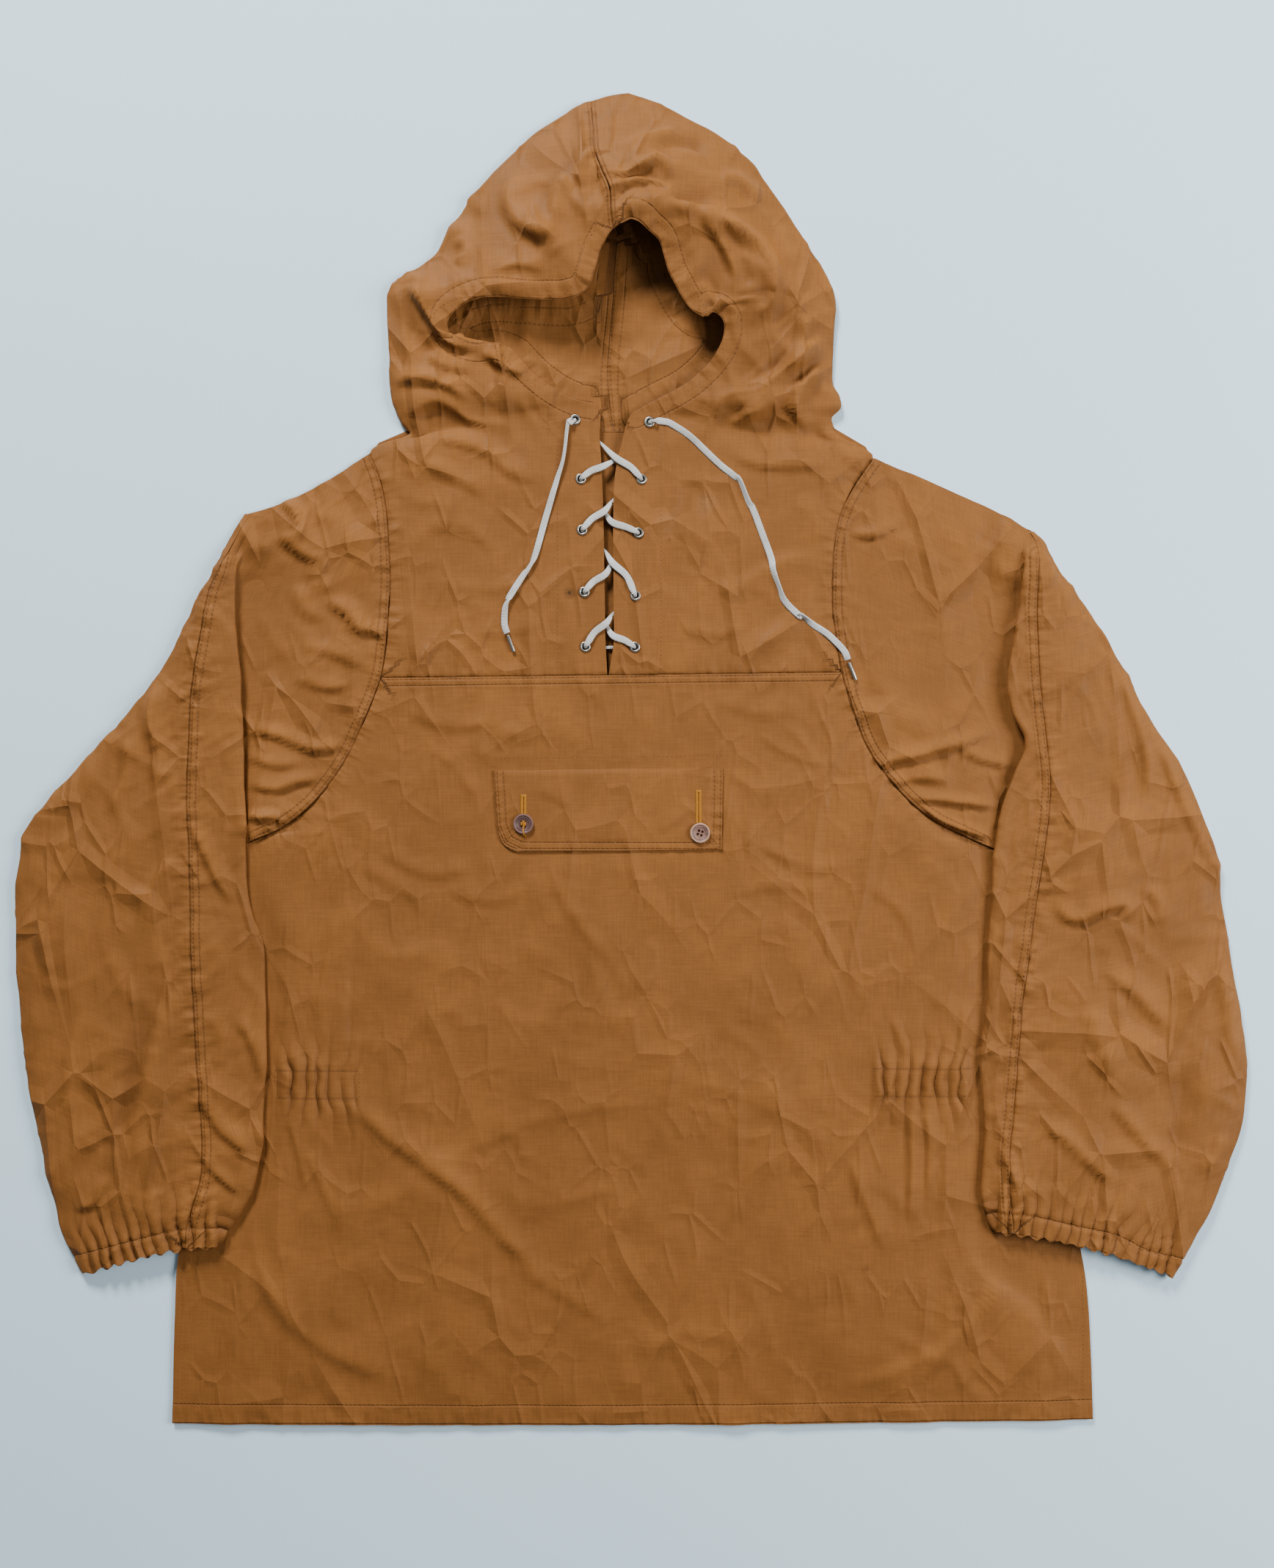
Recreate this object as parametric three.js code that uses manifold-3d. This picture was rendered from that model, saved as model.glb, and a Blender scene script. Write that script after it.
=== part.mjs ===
// Anorak pullover in plain cotton, laid flat on its back with the sleeves brought down at its sides.
// Millimetres, +Z up, +Y towards the hood. Left and right are as seen from above.
// The origin is on the surface it lies on, under the middle of the garment.
// Every cloth piece is a wall of one thickness about a middle surface, which is made of rows of points.
import * as THREE from "three";
import { mergeVertices } from "three/addons/utils/BufferGeometryUtils.js";
import Module from "manifold-3d";

const wasm = await Module();
wasm.setup();

// Driving dimensions.
const CLOTH = 1.0; // thickness of a cloth wall
const SEAM_GAP = 0.4; // between two pieces at a seam
const FLOOR_MID = CLOTH / 2; // middle of a layer that lies on the surface
const EDGE_MID = 1.9; // middle of a front layer where it lies on the edge of the layer under it
const COVERED_MID = 3.0; // middle of the front where a sleeve lies on it
const BODY_MID = 5.0; // middle of the front where it is free
const PLEAT_RADIUS = 0.8; // middle radius of the turn inside a flat pleat
const SLEEVE_TURN = 1.5; // middle radius of a sleeve's inner edge
const OUTER_TURN = 2.6; // middle radius of a sleeve's outer edge
const HOOD_TURN = 2.4; // middle radius of the hood's side
const SLEEVE_LOFT = 3.5; // how far the top of a sleeve stands above its edges

const CLOTH_COLOUR = "#a8672c";
const BUTTON_COLOUR = "#7a4a34";
const METAL_COLOUR = "#a3a4a6";
const LACE_COLOUR = "#d9d4c8";

// A table is rows of numbers under named columns.
const table = (columns, rows) =>
  rows.map((row) => Object.fromEntries(columns.map((name, i) => [name, row[i]])));

// The armhole seams, from the armpit (row 0) over the end of the chest seam (row 8) to the shoulder.
// Both fronts, the back and the sleeves are cut to them.
const ARMHOLE = table(
  ["leftX", "leftY", "rightX", "rightY", "z"],
  [
    [-313, -69, 298, -76, 1.9],
    [-283, -61, 270, -67, 3.0],
    [-257, -50, 245, -56, 3.6],
    [-238, -36, 221, -44, 4.2],
    [-222, -18, 203, -29, 4.4],
    [-208, 3, 188, -12, 4.4],
    [-197, 27, 174, 8, 4.4],
    [-189, 46, 163, 36, 4.4],
    [-184, 60, 155, 64, 4.4],
    [-180, 85, 151, 86, 4.4],
    [-178, 110, 148, 110, 4.4],
    [-177, 135, 148, 135, 4.4],
    [-178, 160, 149, 158, 4.4],
    [-180, 185, 154, 181, 4.0],
    [-185, 207, 165, 202, 3.2],
    [-192, 225, 178, 221, 1.9],
  ],
);
const CHEST_ROW = 8;

// The side seams, from the hem to the row under the armpit. From the cover columns inwards the front is free.
const SIDE = table(
  ["leftX", "leftY", "rightX", "rightY", "coverLeft", "coverRight"],
  [
    [-337, -487, 339, -484, -323, 325],
    [-336.5, -464, 338.5, -462, -322, 324],
    [-336, -435, 337.5, -434, -318, 318],
    [-335, -404, 336, -404, -306, 300],
    [-333.5, -371, 332, -369, -292, 260],
    [-328, -340, 324, -338, -285, 254],
    [-315, -309, 306, -308, -272, 252],
    [-299, -282, 284, -281, -266, 252],
    [-287, -259, 270, -257, -264, 252],
    [-284, -237, 266, -235, -262, 250],
    [-286, -215, 269, -213, -262, 250],
    [-293, -190, 277, -190, -262, 252],
    [-300, -160, 286, -162, -262, 254],
    [-306, -130, 292, -132, -264, 256],
    [-310, -99, 296, -103, -274, 258],
  ],
);

// Largest folds of the top layers: a soft ridge (or a trough, if its height is negative) from one point to another.
const FOLDS = table(
  ["x0", "y0", "x1", "y1", "width", "height"],
  [
    // body, from the waist casings outwards
    [-205, -255, -95, -345, 22, 1.8],
    [-150, -330, -95, -430, 26, 1.2],
    [-235, -90, -248, -205, 16, -1.2],
    [206, -255, 200, -350, 14, 1.6],
    [232, -80, 238, -205, 16, 1.5],
    [140, -250, 185, -320, 22, 1.3],
    // body, across the chest and lap
    [-60, -95, 10, -160, 26, 0.9],
    [-170, -160, -60, -240, 30, 0.9],
    [30, -230, 130, -280, 30, 0.9],
    [-60, -300, 60, -400, 34, 1.1],
    [60, -330, -40, -440, 30, -0.9],
    [-260, -400, -180, -450, 28, 1.2],
    [200, -420, 290, -380, 30, 1.1],
    // upper fronts
    [-150, 232, -70, 205, 14, 1.6],
    [-125, 190, -105, 130, 20, 1.0],
    [-165, 180, -160, 80, 12, 1.0],
    [70, 215, 160, 214, 13, 1.8],
    [60, 150, 120, 135, 22, 0.9],
    [60, 100, 110, 90, 20, 0.8],
  ],
);

const HOOD_FOLDS = table(
  ["x0", "y0", "x1", "y1", "width", "height"],
  [
    [-15, 397, 24, 398, 9, 4.0],
    [-20, 413, 22, 414, 8, -5.0],
    [-5, 424, 24, 422, 8, 4.0],
    [30, 400, 62, 388, 10, 4.5],
    [62, 388, 97, 350, 10, 4.5],
    [97, 350, 88, 330, 9, 4.0],
    [60, 345, 58, 332, 7, -4.0],
    [120, 340, 128, 300, 12, 3.0],
    [95, 300, 140, 292, 12, 2.5],
    [90, 255, 125, 278, 12, 2.5],
    [110, 236, 160, 228, 10, 2.5],
    [-60, 380, -40, 350, 14, 4.0],
    [-88, 425, -62, 378, 12, 3.0],
    [-160, 348, -128, 318, 10, 3.5],
    [-170, 280, -120, 285, 14, 2.5],
    [-165, 262, -125, 268, 12, 2.0],
    [-150, 300, -100, 285, 12, -2.0],
    [-60, 450, -35, 440, 14, 2.5],
    [40, 445, 85, 425, 12, -2.5],
  ],
);

const SLEEVE_FOLDS = table(
  ["x0", "y0", "x1", "y1", "width", "height"],
  [
    // left shoulder and sleeve
    [-245, 165, -195, 95, 10, 2.0],
    [-262, 182, -215, 148, 10, 1.6],
    [-350, 40, -372, -60, 12, 2.5],
    [-345, 10, -350, -60, 12, -2.0],
    [-375, -150, -372, -260, 16, -2.6],
    [-345, -170, -365, -250, 16, 2.0],
    [-395, -240, -415, -310, 16, -2.0],
    [-300, -60, -290, -110, 10, 1.6],
    [-400, -130, -440, -150, 20, 1.5],
    [-350, -285, -330, -330, 12, 1.5],
    // right shoulder and sleeve
    [200, 185, 165, 165, 12, 1.6],
    [262, 175, 250, 110, 12, -1.5],
    [375, 10, 370, -60, 12, -2.5],
    [345, -55, 340, -100, 12, 2.0],
    [310, -105, 345, -115, 10, -2.0],
    [345, -150, 385, -200, 14, -2.2],
    [330, -160, 350, -250, 18, 1.8],
    [405, -200, 395, -290, 16, -2.0],
    [310, -270, 360, -300, 12, 1.8],
    [380, -330, 425, -285, 12, 1.6],
  ],
);

// Each upper front and the hood side above it are cut in one. Rows run up the laced edge (rows 0 to 7),
// past the neck (row 8) and round the face opening to the seam over the crown (row 31).
// in is the laced edge and the edge of the face opening, out the outline, back the seam down the back of the hood.
const NECK_ROW = 8;
const HOOD_LEFT = table(
  ["inX", "inY", "inZ", "outX", "outY", "backX", "backY"],
  [
    [-17.5, 62, 5.0, -184, 60, 0, 0],
    [-18.8, 86, 5.5, -180, 85, 0, 0],
    [-19.2, 110, 5.5, -178, 110, 0, 0],
    [-19.6, 135, 5.5, -177, 135, 0, 0],
    [-20, 160, 5.5, -178, 160, 0, 0],
    [-20.5, 185, 5.5, -180, 185, 0, 0],
    [-21.5, 210, 5.5, -185, 207, 0, 0],
    [-23, 234, 5.5, -192, 225, 0, 0],
    [-26, 261, 5.8, -162, 242, -12, 241],
    [-40, 264, 6.4, -168, 251, -14, 249],
    [-53, 270, 7.2, -174, 263, -15.5, 260],
    [-65, 278, 8.0, -176, 275, -16.5, 270],
    [-76, 288, 8.8, -175.5, 288, -17, 281],
    [-87, 299, 9.6, -177, 300, -17, 292],
    [-100, 303.5, 10, -178, 312, -16, 303],
    [-117, 302.5, 10.5, -178.5, 322, -15.5, 314],
    [-129, 308.5, 12, -178.5, 333, -14.5, 326],
    [-133, 317, 14.5, -178, 341, -13.5, 338],
    [-127, 326, 17.5, -174, 348, -12.5, 349],
    [-115, 332.5, 20, -164, 356, -12, 359],
    [-98, 335, 21.5, -152, 363, -11, 368],
    [-79, 333, 23, -142, 371, -10.5, 377],
    [-61, 332, 24, -134, 383, -10.5, 386],
    [-46, 332, 25, -126, 397, -11, 396],
    [-36, 335, 26, -116, 412, -12, 407],
    [-29.5, 342, 27, -103, 428, -14, 419],
    [-26.5, 350, 28, -88, 443, -16, 431],
    [-24, 359, 29, -72, 458, -18, 442],
    [-21.5, 367, 30, -58, 467, -20, 452],
    [-18.5, 372, 31, -48, 473, -22, 459],
    [-16, 376.5, 31.5, -38, 479.5, -24, 466],
    [-13, 380, 32, -29, 483, -26, 473],
  ],
);
const HOOD_RIGHT = table(
  ["inX", "inY", "inZ", "outX", "outY", "backX", "backY"],
  [
    [-16.5, 62, 5.0, 155, 64, 0, 0],
    [-12.8, 86, 5.5, 151, 86, 0, 0],
    [-12.8, 110, 5.5, 148, 110, 0, 0],
    [-13, 135, 5.5, 148, 135, 0, 0],
    [-13.2, 158, 5.5, 149, 158, 0, 0],
    [-13, 182, 5.5, 154, 181, 0, 0],
    [-12, 207, 5.5, 165, 202, 0, 0],
    [-7, 232, 5.5, 178, 221, 0, 0],
    [2, 255, 5.8, 148, 244, -12, 241],
    [11, 260, 6.4, 146.5, 251, -14, 249],
    [21, 265, 7.2, 153, 258, -15.5, 260],
    [32, 270.5, 8, 153, 266, -16.5, 270],
    [42, 276.5, 8.8, 148, 275, -17, 281],
    [51, 284, 10, 147.5, 287, -17, 292],
    [58, 291, 11.5, 148, 300, -16, 303],
    [64, 300, 13, 148.5, 312, -15.5, 314],
    [67.5, 310, 15, 149, 325, -14.5, 326],
    [67, 319, 16.5, 148.5, 336, -13.5, 338],
    [59, 325.5, 18, 144, 349, -12.5, 349],
    [51, 322, 19, 138, 362, -12, 359],
    [44, 325, 20.5, 130, 375, -11, 368],
    [37.5, 333, 22, 122, 387, -10.5, 377],
    [32, 342.5, 23.5, 113, 401, -10.5, 386],
    [27, 352, 25, 104, 414, -11, 396],
    [23.5, 363, 27, 95, 427, -12, 407],
    [20, 373, 29, 85, 440, -14, 419],
    [12.5, 379.5, 31, 73, 451.5, -16, 431],
    [5, 386, 32.5, 58, 461, -18, 442],
    [-0.5, 387.5, 33, 42, 470, -20, 452],
    [-5, 385.5, 32.8, 22, 480.5, -22, 459],
    [-9, 383, 32.4, -2, 488, -24, 466],
    [-13, 380, 32, -29, 483, -26, 473],
  ],
);

// The sleeves. Rows run from the shoulder (armhole row 15) to the armpit (armhole row 1) and on to the cuff.
// fold is the sleeve's inner edge, turn how far the pleat there is turned in degrees and depth how deep it is,
// over the seam along the arm, out the outer edge, under the seam under the arm, sag how the row bends.
const SLEEVE_COLUMNS = [
  "armhole", "foldX", "foldY", "turn", "depth", "overX", "overY", "outX", "outY", "underX", "underY", "sag",
];
const ARMPIT_SLEEVE_ROW = 14; // the row whose lower layer runs along the last of the armhole seam
const SLEEVE_LEFT = table(SLEEVE_COLUMNS, [
  [15, -270, 186, 0, 2, -283, 180, -283, 180, -192, 225, -5],
  [14, -278, 170, 0, 2, -292, 165, -292, 165, -185, 207, -3],
  [13, -286, 154, 0, 2, -300, 150, -300, 150, -180, 185, 0],
  [12, -289, 142, 70, 2, -302, 139, -306, 138, -178, 160, 0],
  [11, -290, 125, 180, 6, -308, 123, -316, 121, -177, 135, 0],
  [10, -290, 108, 180, 10, -311, 107, -323, 105, -178, 110, 0],
  [9, -289, 84, 180, 13, -315, 84, -335, 80, -180, 85, 0],
  [8, -286, 60, 180, 16, -319, 60, -348, 59, -184, 60, 0],
  [7, -286, 45, 180, 19, -321, 44, -361, 43, -189, 46, 0],
  [6, -285, 25, 180, 22, -322, 24, -377, 23, -197, 27, 0],
  [5, -284, 2, 180, 25, -323, 2, -397, 1, -208, 3, 0],
  [4, -284, -19, 180, 27, -324, -20, -417, -20, -222, -18, 0],
  [3, -283, -37, 180, 28, -324, -38, -434, -39, -238, -36, 0],
  [2, -283, -54, 180, 29, -323, -55, -444.5, -53, -257, -50, 0],
  [1, -282.5, -73, 180, 30.5, -322.5, -75, -448, -75, -313, -69, 0],
  [0, -281.5, -95, 180, 0, -322, -97, -450.5, -98, -318, -95, 0],
  [0, -277, -115, 180, 0, -321.5, -120, -451, -122, -319, -118, 0],
  [0, -270, -134, 180, 0, -321, -143, -451, -148, -317, -140, 0],
  [0, -268.5, -160, 180, 0, -320, -168, -449, -172, -312, -165, 0],
  [0, -268, -188, 180, 0, -318.5, -192, -446.5, -198, -304, -190, 0],
  [0, -268, -213, 180, 0, -317.5, -216, -443, -223, -297, -215, 0],
  [0, -268.5, -237, 180, 0, -315.5, -240, -439.5, -248, -295, -240, 0],
  [0, -270, -262, 180, 0, -314, -265, -435, -272, -301, -265, 0],
  [0, -272, -286, 180, 0, -313, -289, -430, -295, -315, -290, 0],
  [0, -277, -309, 180, 0, -315, -310, -424.5, -317, -330, -312, 0],
  [0, -285, -328, 180, 0, -320, -327, -420, -335, -341, -332, 0],
  [0, -294, -343, 180, 0, -324, -342, -414, -354, -347, -347, 1],
  [0, -303, -357, 180, 0, -325, -359, -401, -377, -350, -362, 3],
]);
const SLEEVE_RIGHT = table(SLEEVE_COLUMNS, [
  [15, 288, 170, 0, 2, 295, 166, 295, 166, 178, 221, 2],
  [14, 291, 161, 0, 2, 299, 160, 301, 160, 165, 202, 1],
  [13, 290.5, 150, 60, 2, 297.5, 149, 306, 150, 154, 181, 0],
  [12, 289, 136, 120, 3, 297, 136, 314, 136, 149, 158, 0],
  [11, 286.5, 121, 180, 6, 296.5, 121, 326, 121, 148, 135, 0],
  [10, 283.5, 104, 180, 10, 296, 104, 338, 103, 148, 110, 0],
  [9, 279.5, 83, 180, 13, 297, 83, 352, 82, 151, 86, 0],
  [8, 276, 61, 180, 16, 298, 62, 363, 61, 155, 64, 0],
  [7, 279, 38, 180, 19, 300.5, 38, 375, 36, 163, 36, 0],
  [6, 289, 12, 180, 20, 303.5, 10, 392, 11, 174, 8, 0],
  [5, 281, -10, 180, 23, 305.5, -10, 405, -8, 188, -12, 0],
  [4, 274, -28, 180, 25, 305.5, -30, 414, -28, 203, -29, 0],
  [3, 270, -44, 180, 27, 304, -47, 421, -46, 221, -44, 0],
  [2, 267.5, -60, 180, 29, 302, -62, 427, -62, 245, -56, 0],
  [1, 265.5, -80, 180, 32.5, 299.5, -81, 431, -83, 298, -76, 0],
  [0, 265, -99, 180, 0, 296.5, -101, 433, -104, 304, -100, 0],
  [0, 263, -120, 180, 0, 293.5, -122, 437, -126, 304, -122, 0],
  [0, 261.5, -143, 180, 0, 290.5, -145, 440.5, -150, 302, -145, 0],
  [0, 261.5, -170, 180, 0, 287, -168, 444.5, -175, 297, -170, 0],
  [0, 258.5, -196, 180, 0, 285, -192, 448, -200, 288, -195, 0],
  [0, 255.5, -218, 180, 0, 283, -216, 451, -226, 281, -218, 0],
  [0, 257, -242, 180, 0, 281, -240, 450, -250, 278, -240, 0],
  [0, 259, -266, 180, 0, 279, -264, 446.5, -273, 287, -265, 0],
  [0, 258.5, -288, 180, 0, 276.5, -287, 439, -293, 303, -288, 0],
  [0, 257.5, -308, 180, 0, 276.5, -306, 431, -314, 320, -310, 0],
  [0, 258, -325, 180, 0, 277.5, -324, 421, -334, 334, -330, 1],
  [0, 261, -336, 180, 0, 278.5, -336, 410, -353, 340, -343, 3],
  [0, 267, -346, 180, 0, 279, -349, 395, -378, 342, -356, 6],
]);

// The seam over the crown, from the brim to the top of the outline. Both hood sides end on it.
const CROWN = table(
  ["x", "y", "z"],
  [
    [-13, 380, 32],
    [-14, 394, 33.5],
    [-15, 408, 33],
    [-21, 424, 30],
    [-26, 440, 25.5],
    [-27, 454, 19.5],
    [-28, 466, 13.5],
    [-28.8, 475, 8.5],
  ],
);

// The lace through the eyelets, one row for each strand, from an eyelet over the laced edges to where it dives.
// leaveY is where it leaves its own edge, diveY where it goes under the other edge, lift how much higher it lies.
const STRANDS = table(
  ["side", "pair", "midX", "midY", "leaveY", "diveY", "lift"],
  [
    [-1, 0, -27, 93, 100, 107, 0.4],
    [1, 0, -4, 87, 91, 99, 0],
    [-1, 1, -28, 130, 136, 145, 0],
    [1, 1, -3, 134, 144.5, 153, 0.4],
    [-1, 2, -29, 176, 182, 190, 0.4],
    [1, 2, -3, 170, 174, 182.5, 0],
    [-1, 3, -30, 211, 214.5, 221.5, 0],
    [1, 3, 1, 213, 220.5, 232, 0.4],
  ],
);
const EYELETS = table(
  ["leftX", "leftY", "rightX", "rightY"],
  [
    [-33.6, 82.7, 2.7, 82.5],
    [-34.4, 122.8, 3.1, 120.2],
    [-36, 168.2, 5.3, 166.1],
    [-37, 205.6, 7.6, 205.4],
    [-41, 249, 13.4, 247.2],
  ],
);
const LACE_LEFT = [
  [-47, 241], [-49, 224], [-54, 206], [-58.5, 191], [-64, 172], [-69, 154], [-74, 142],
  [-80, 133.5], [-86, 124], [-90, 117], [-92.5, 108], [-92.7, 99], [-90.8, 92.5],
];
const AGLET_LEFT = [[-90.2, 91], [-86, 79]];
const LACE_RIGHT = [
  [20, 248], [26, 247.3], [34, 243], [45, 235], [53.5, 227], [64, 217], [75, 208], [81, 201],
  [84.5, 192], [91, 179], [96, 165.5], [101.5, 150.5], [104, 138], [108, 127], [112.5, 116],
  [118.5, 109.5], [127, 104], [134.5, 98], [145, 91], [154, 82], [158.6, 73],
];
const AGLET_RIGHT = [[159.4, 71], [164.4, 58.5]];
const LACE_WIDTH = 4.8;
const LACE_NARROW = 2.3; // where it goes through an eyelet or between the laced edges
const LACE_THICK = 1.1;
const LACE_TWISTED = 1.4; // thickness where it is narrow
const LACE_CLEAR = 0.35;
const AGLET_WIDTH = 3.4;
const EYELET_OUTER = 3.85;
const EYELET_HOLE = 2.35;
const EYELET_BARREL = 2.85;
const EYELET_FLANGE = 0.45;
const CLOTH_HOLE = 3.2;
const EYELET_SIDES = 8;

// Pocket flap: its corners, the radius of the rounded one, and its two buttons.
const FLAP = { left: -100.6, right: 67.4, top: -8, bottom: -67.5, round: 17 };
const BUTTON_PLACES = { left: [-78.8, -46.9], right: [50.4, -53.5] };
const BUTTON_RADIUS = 7.3;
const BUTTON_HEIGHT = 2.2;
const BUTTON_HOLE = 1.0;
const BUTTON_SIDES = 16;

const lerp = (a, b, t) => a + (b - a) * t;
const clamp = (t) => Math.min(1, Math.max(0, t));
const smooth = (t) => clamp(t) * clamp(t) * (3 - 2 * clamp(t));
const point = (x, y, z) => new THREE.Vector3(x, y, z);

// The height that a table of folds adds at a place.
function folds(rows, x, y) {
  let height = 0;
  for (const fold of rows) {
    const alongX = fold.x1 - fold.x0;
    const alongY = fold.y1 - fold.y0;
    const length = Math.hypot(alongX, alongY);
    const t = ((x - fold.x0) * alongX + (y - fold.y0) * alongY) / length ** 2;
    const beyond = Math.max(0, -t, t - 1) * length;
    const aside = Math.hypot(x - fold.x0 - alongX * clamp(t), y - fold.y0 - alongY * clamp(t));
    const spread = fold.width + beyond * 0.5;
    height += fold.height * Math.exp(-2 * (aside / spread) ** 2);
  }
  return height;
}

// A line of seam points moved sideways in plan, to its left if the distance is positive.
function shifted(line, distance) {
  return line.map((p, i) => {
    const before = line[Math.max(0, i - 1)];
    const after = line[Math.min(line.length - 1, i + 1)];
    const first = new THREE.Vector2(p.x - before.x, p.y - before.y).normalize();
    const second = new THREE.Vector2(after.x - p.x, after.y - p.y).normalize();
    if (i === 0) first.copy(second);
    if (i === line.length - 1) second.copy(first);
    const reach = distance / (1 + first.dot(second));
    return point(p.x - (first.y + second.y) * reach, p.y + (first.x + second.x) * reach, p.z);
  });
}

// A cloth wall about a grid of middle points. present says which cells there are,
// upright which points are thickened straight up, so that a seam's two edges stay parallel.
function wall(name, grid, present, upright) {
  const rows = grid.length;
  const columns = grid[0].length;
  const has = (i, j) => i >= 0 && j >= 0 && i < rows - 1 && j < columns - 1 && present(i, j);
  const cellNormal = (i, j) => {
    const across = grid[i + 1][j + 1].clone().sub(grid[i][j]);
    const other = grid[i + 1][j].clone().sub(grid[i][j + 1]);
    return across.cross(other).normalize();
  };
  const outer = [];
  const inner = [];
  for (let i = 0; i < rows; i++) {
    outer.push([]);
    inner.push([]);
    for (let j = 0; j < columns; j++) {
      const around = [[i - 1, j - 1], [i - 1, j], [i, j - 1], [i, j]].filter(([a, b]) => has(a, b));
      const normals = around.map(([a, b]) => cellNormal(a, b));
      const normal = normals.reduce((sum, n) => sum.add(n), point(0, 0, 0)).normalize();
      let reach = CLOTH / 2;
      if (normals.length > 0 && upright(i, j)) normal.set(0, 0, Math.sign(normal.z) || 1);
      else if (normals.length > 0) {
        const square = normals.reduce((sum, n) => sum + n.dot(normal), 0) / normals.length;
        reach /= Math.max(0.8, square);
      }
      outer[i].push(grid[i][j].clone().addScaledVector(normal, reach));
      inner[i].push(grid[i][j].clone().addScaledVector(normal, -reach));
    }
  }
  const corners = [];
  const face = (a, b, c) => corners.push(...a.toArray(), ...b.toArray(), ...c.toArray());
  const rim = (side) => {
    const [a, b] = side;
    face(outer[a[0]][a[1]], inner[a[0]][a[1]], inner[b[0]][b[1]]);
    face(outer[a[0]][a[1]], inner[b[0]][b[1]], outer[b[0]][b[1]]);
  };
  for (let i = 0; i < rows - 1; i++) {
    for (let j = 0; j < columns - 1; j++) {
      if (!has(i, j)) continue;
      const ring = [[i, j], [i, j + 1], [i + 1, j + 1], [i + 1, j]];
      const falling = grid[i][j].distanceTo(grid[i + 1][j + 1]) <= grid[i][j + 1].distanceTo(grid[i + 1][j]);
      const order = falling ? [[0, 1, 2], [0, 2, 3]] : [[0, 1, 3], [1, 2, 3]];
      for (const [a, b, c] of order) {
        const [p, q, r] = [ring[a], ring[b], ring[c]];
        face(outer[p[0]][p[1]], outer[q[0]][q[1]], outer[r[0]][r[1]]);
        face(inner[p[0]][p[1]], inner[r[0]][r[1]], inner[q[0]][q[1]]);
      }
      if (!has(i - 1, j)) rim([ring[0], ring[1]]);
      if (!has(i, j + 1)) rim([ring[1], ring[2]]);
      if (!has(i + 1, j)) rim([ring[2], ring[3]]);
      if (!has(i, j - 1)) rim([ring[3], ring[0]]);
    }
  }
  const raw = new THREE.BufferGeometry();
  raw.setAttribute("position", new THREE.Float32BufferAttribute(corners, 3));
  return solid(name, mergeVertices(raw, 1e-3), CLOTH_COLOUR);
}

function solid(name, geometry, colour) {
  geometry.computeVertexNormals();
  const metal = colour === METAL_COLOUR;
  const material = new THREE.MeshStandardMaterial({
    color: colour,
    roughness: metal ? 0.4 : 0.85,
    metalness: metal ? 1 : 0,
    flatShading: true,
  });
  const mesh = new THREE.Mesh(geometry, material);
  mesh.name = name;
  return mesh;
}

const always = () => true;

// Seams in plan. The armhole on the body's side and on the sleeve's side, without row 1 for the hidden layers.
const armhole = { left: ARMHOLE.map((r) => point(r.leftX, r.leftY, r.z)) };
armhole.right = ARMHOLE.map((r) => point(r.rightX, r.rightY, r.z));
const withoutRowOne = (line) => line.filter((_, i) => i !== 1);
const bodySide = { left: shifted(armhole.left, -SEAM_GAP / 2), right: shifted(armhole.right, SEAM_GAP / 2) };
const sleeveSide = { left: shifted(armhole.left, SEAM_GAP / 2), right: shifted(armhole.right, -SEAM_GAP / 2) };
const backSide = {
  left: shifted(withoutRowOne(armhole.left), -SEAM_GAP / 2),
  right: shifted(withoutRowOne(armhole.right), SEAM_GAP / 2),
};
const sleeveBackSide = {
  left: shifted(withoutRowOne(armhole.left), SEAM_GAP / 2),
  right: shifted(withoutRowOne(armhole.right), -SEAM_GAP / 2),
};

// The middle of the free front: a level with the folds on it, calm round the pocket flap and the laced edges.
const CALM_BOXES = [
  [FLAP.left - 6, FLAP.right + 6, FLAP.bottom - 6, FLAP.top + 10],
  [-52, 28, 55, 262],
];
function frontFolds(x, y) {
  let calm = 1;
  for (const [x0, x1, y0, y1] of CALM_BOXES) {
    const away = Math.max(x0 - x, x - x1, y0 - y, y - y1);
    calm *= smooth(away / 22);
  }
  return folds(FOLDS, x, y) * calm;
}

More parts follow.
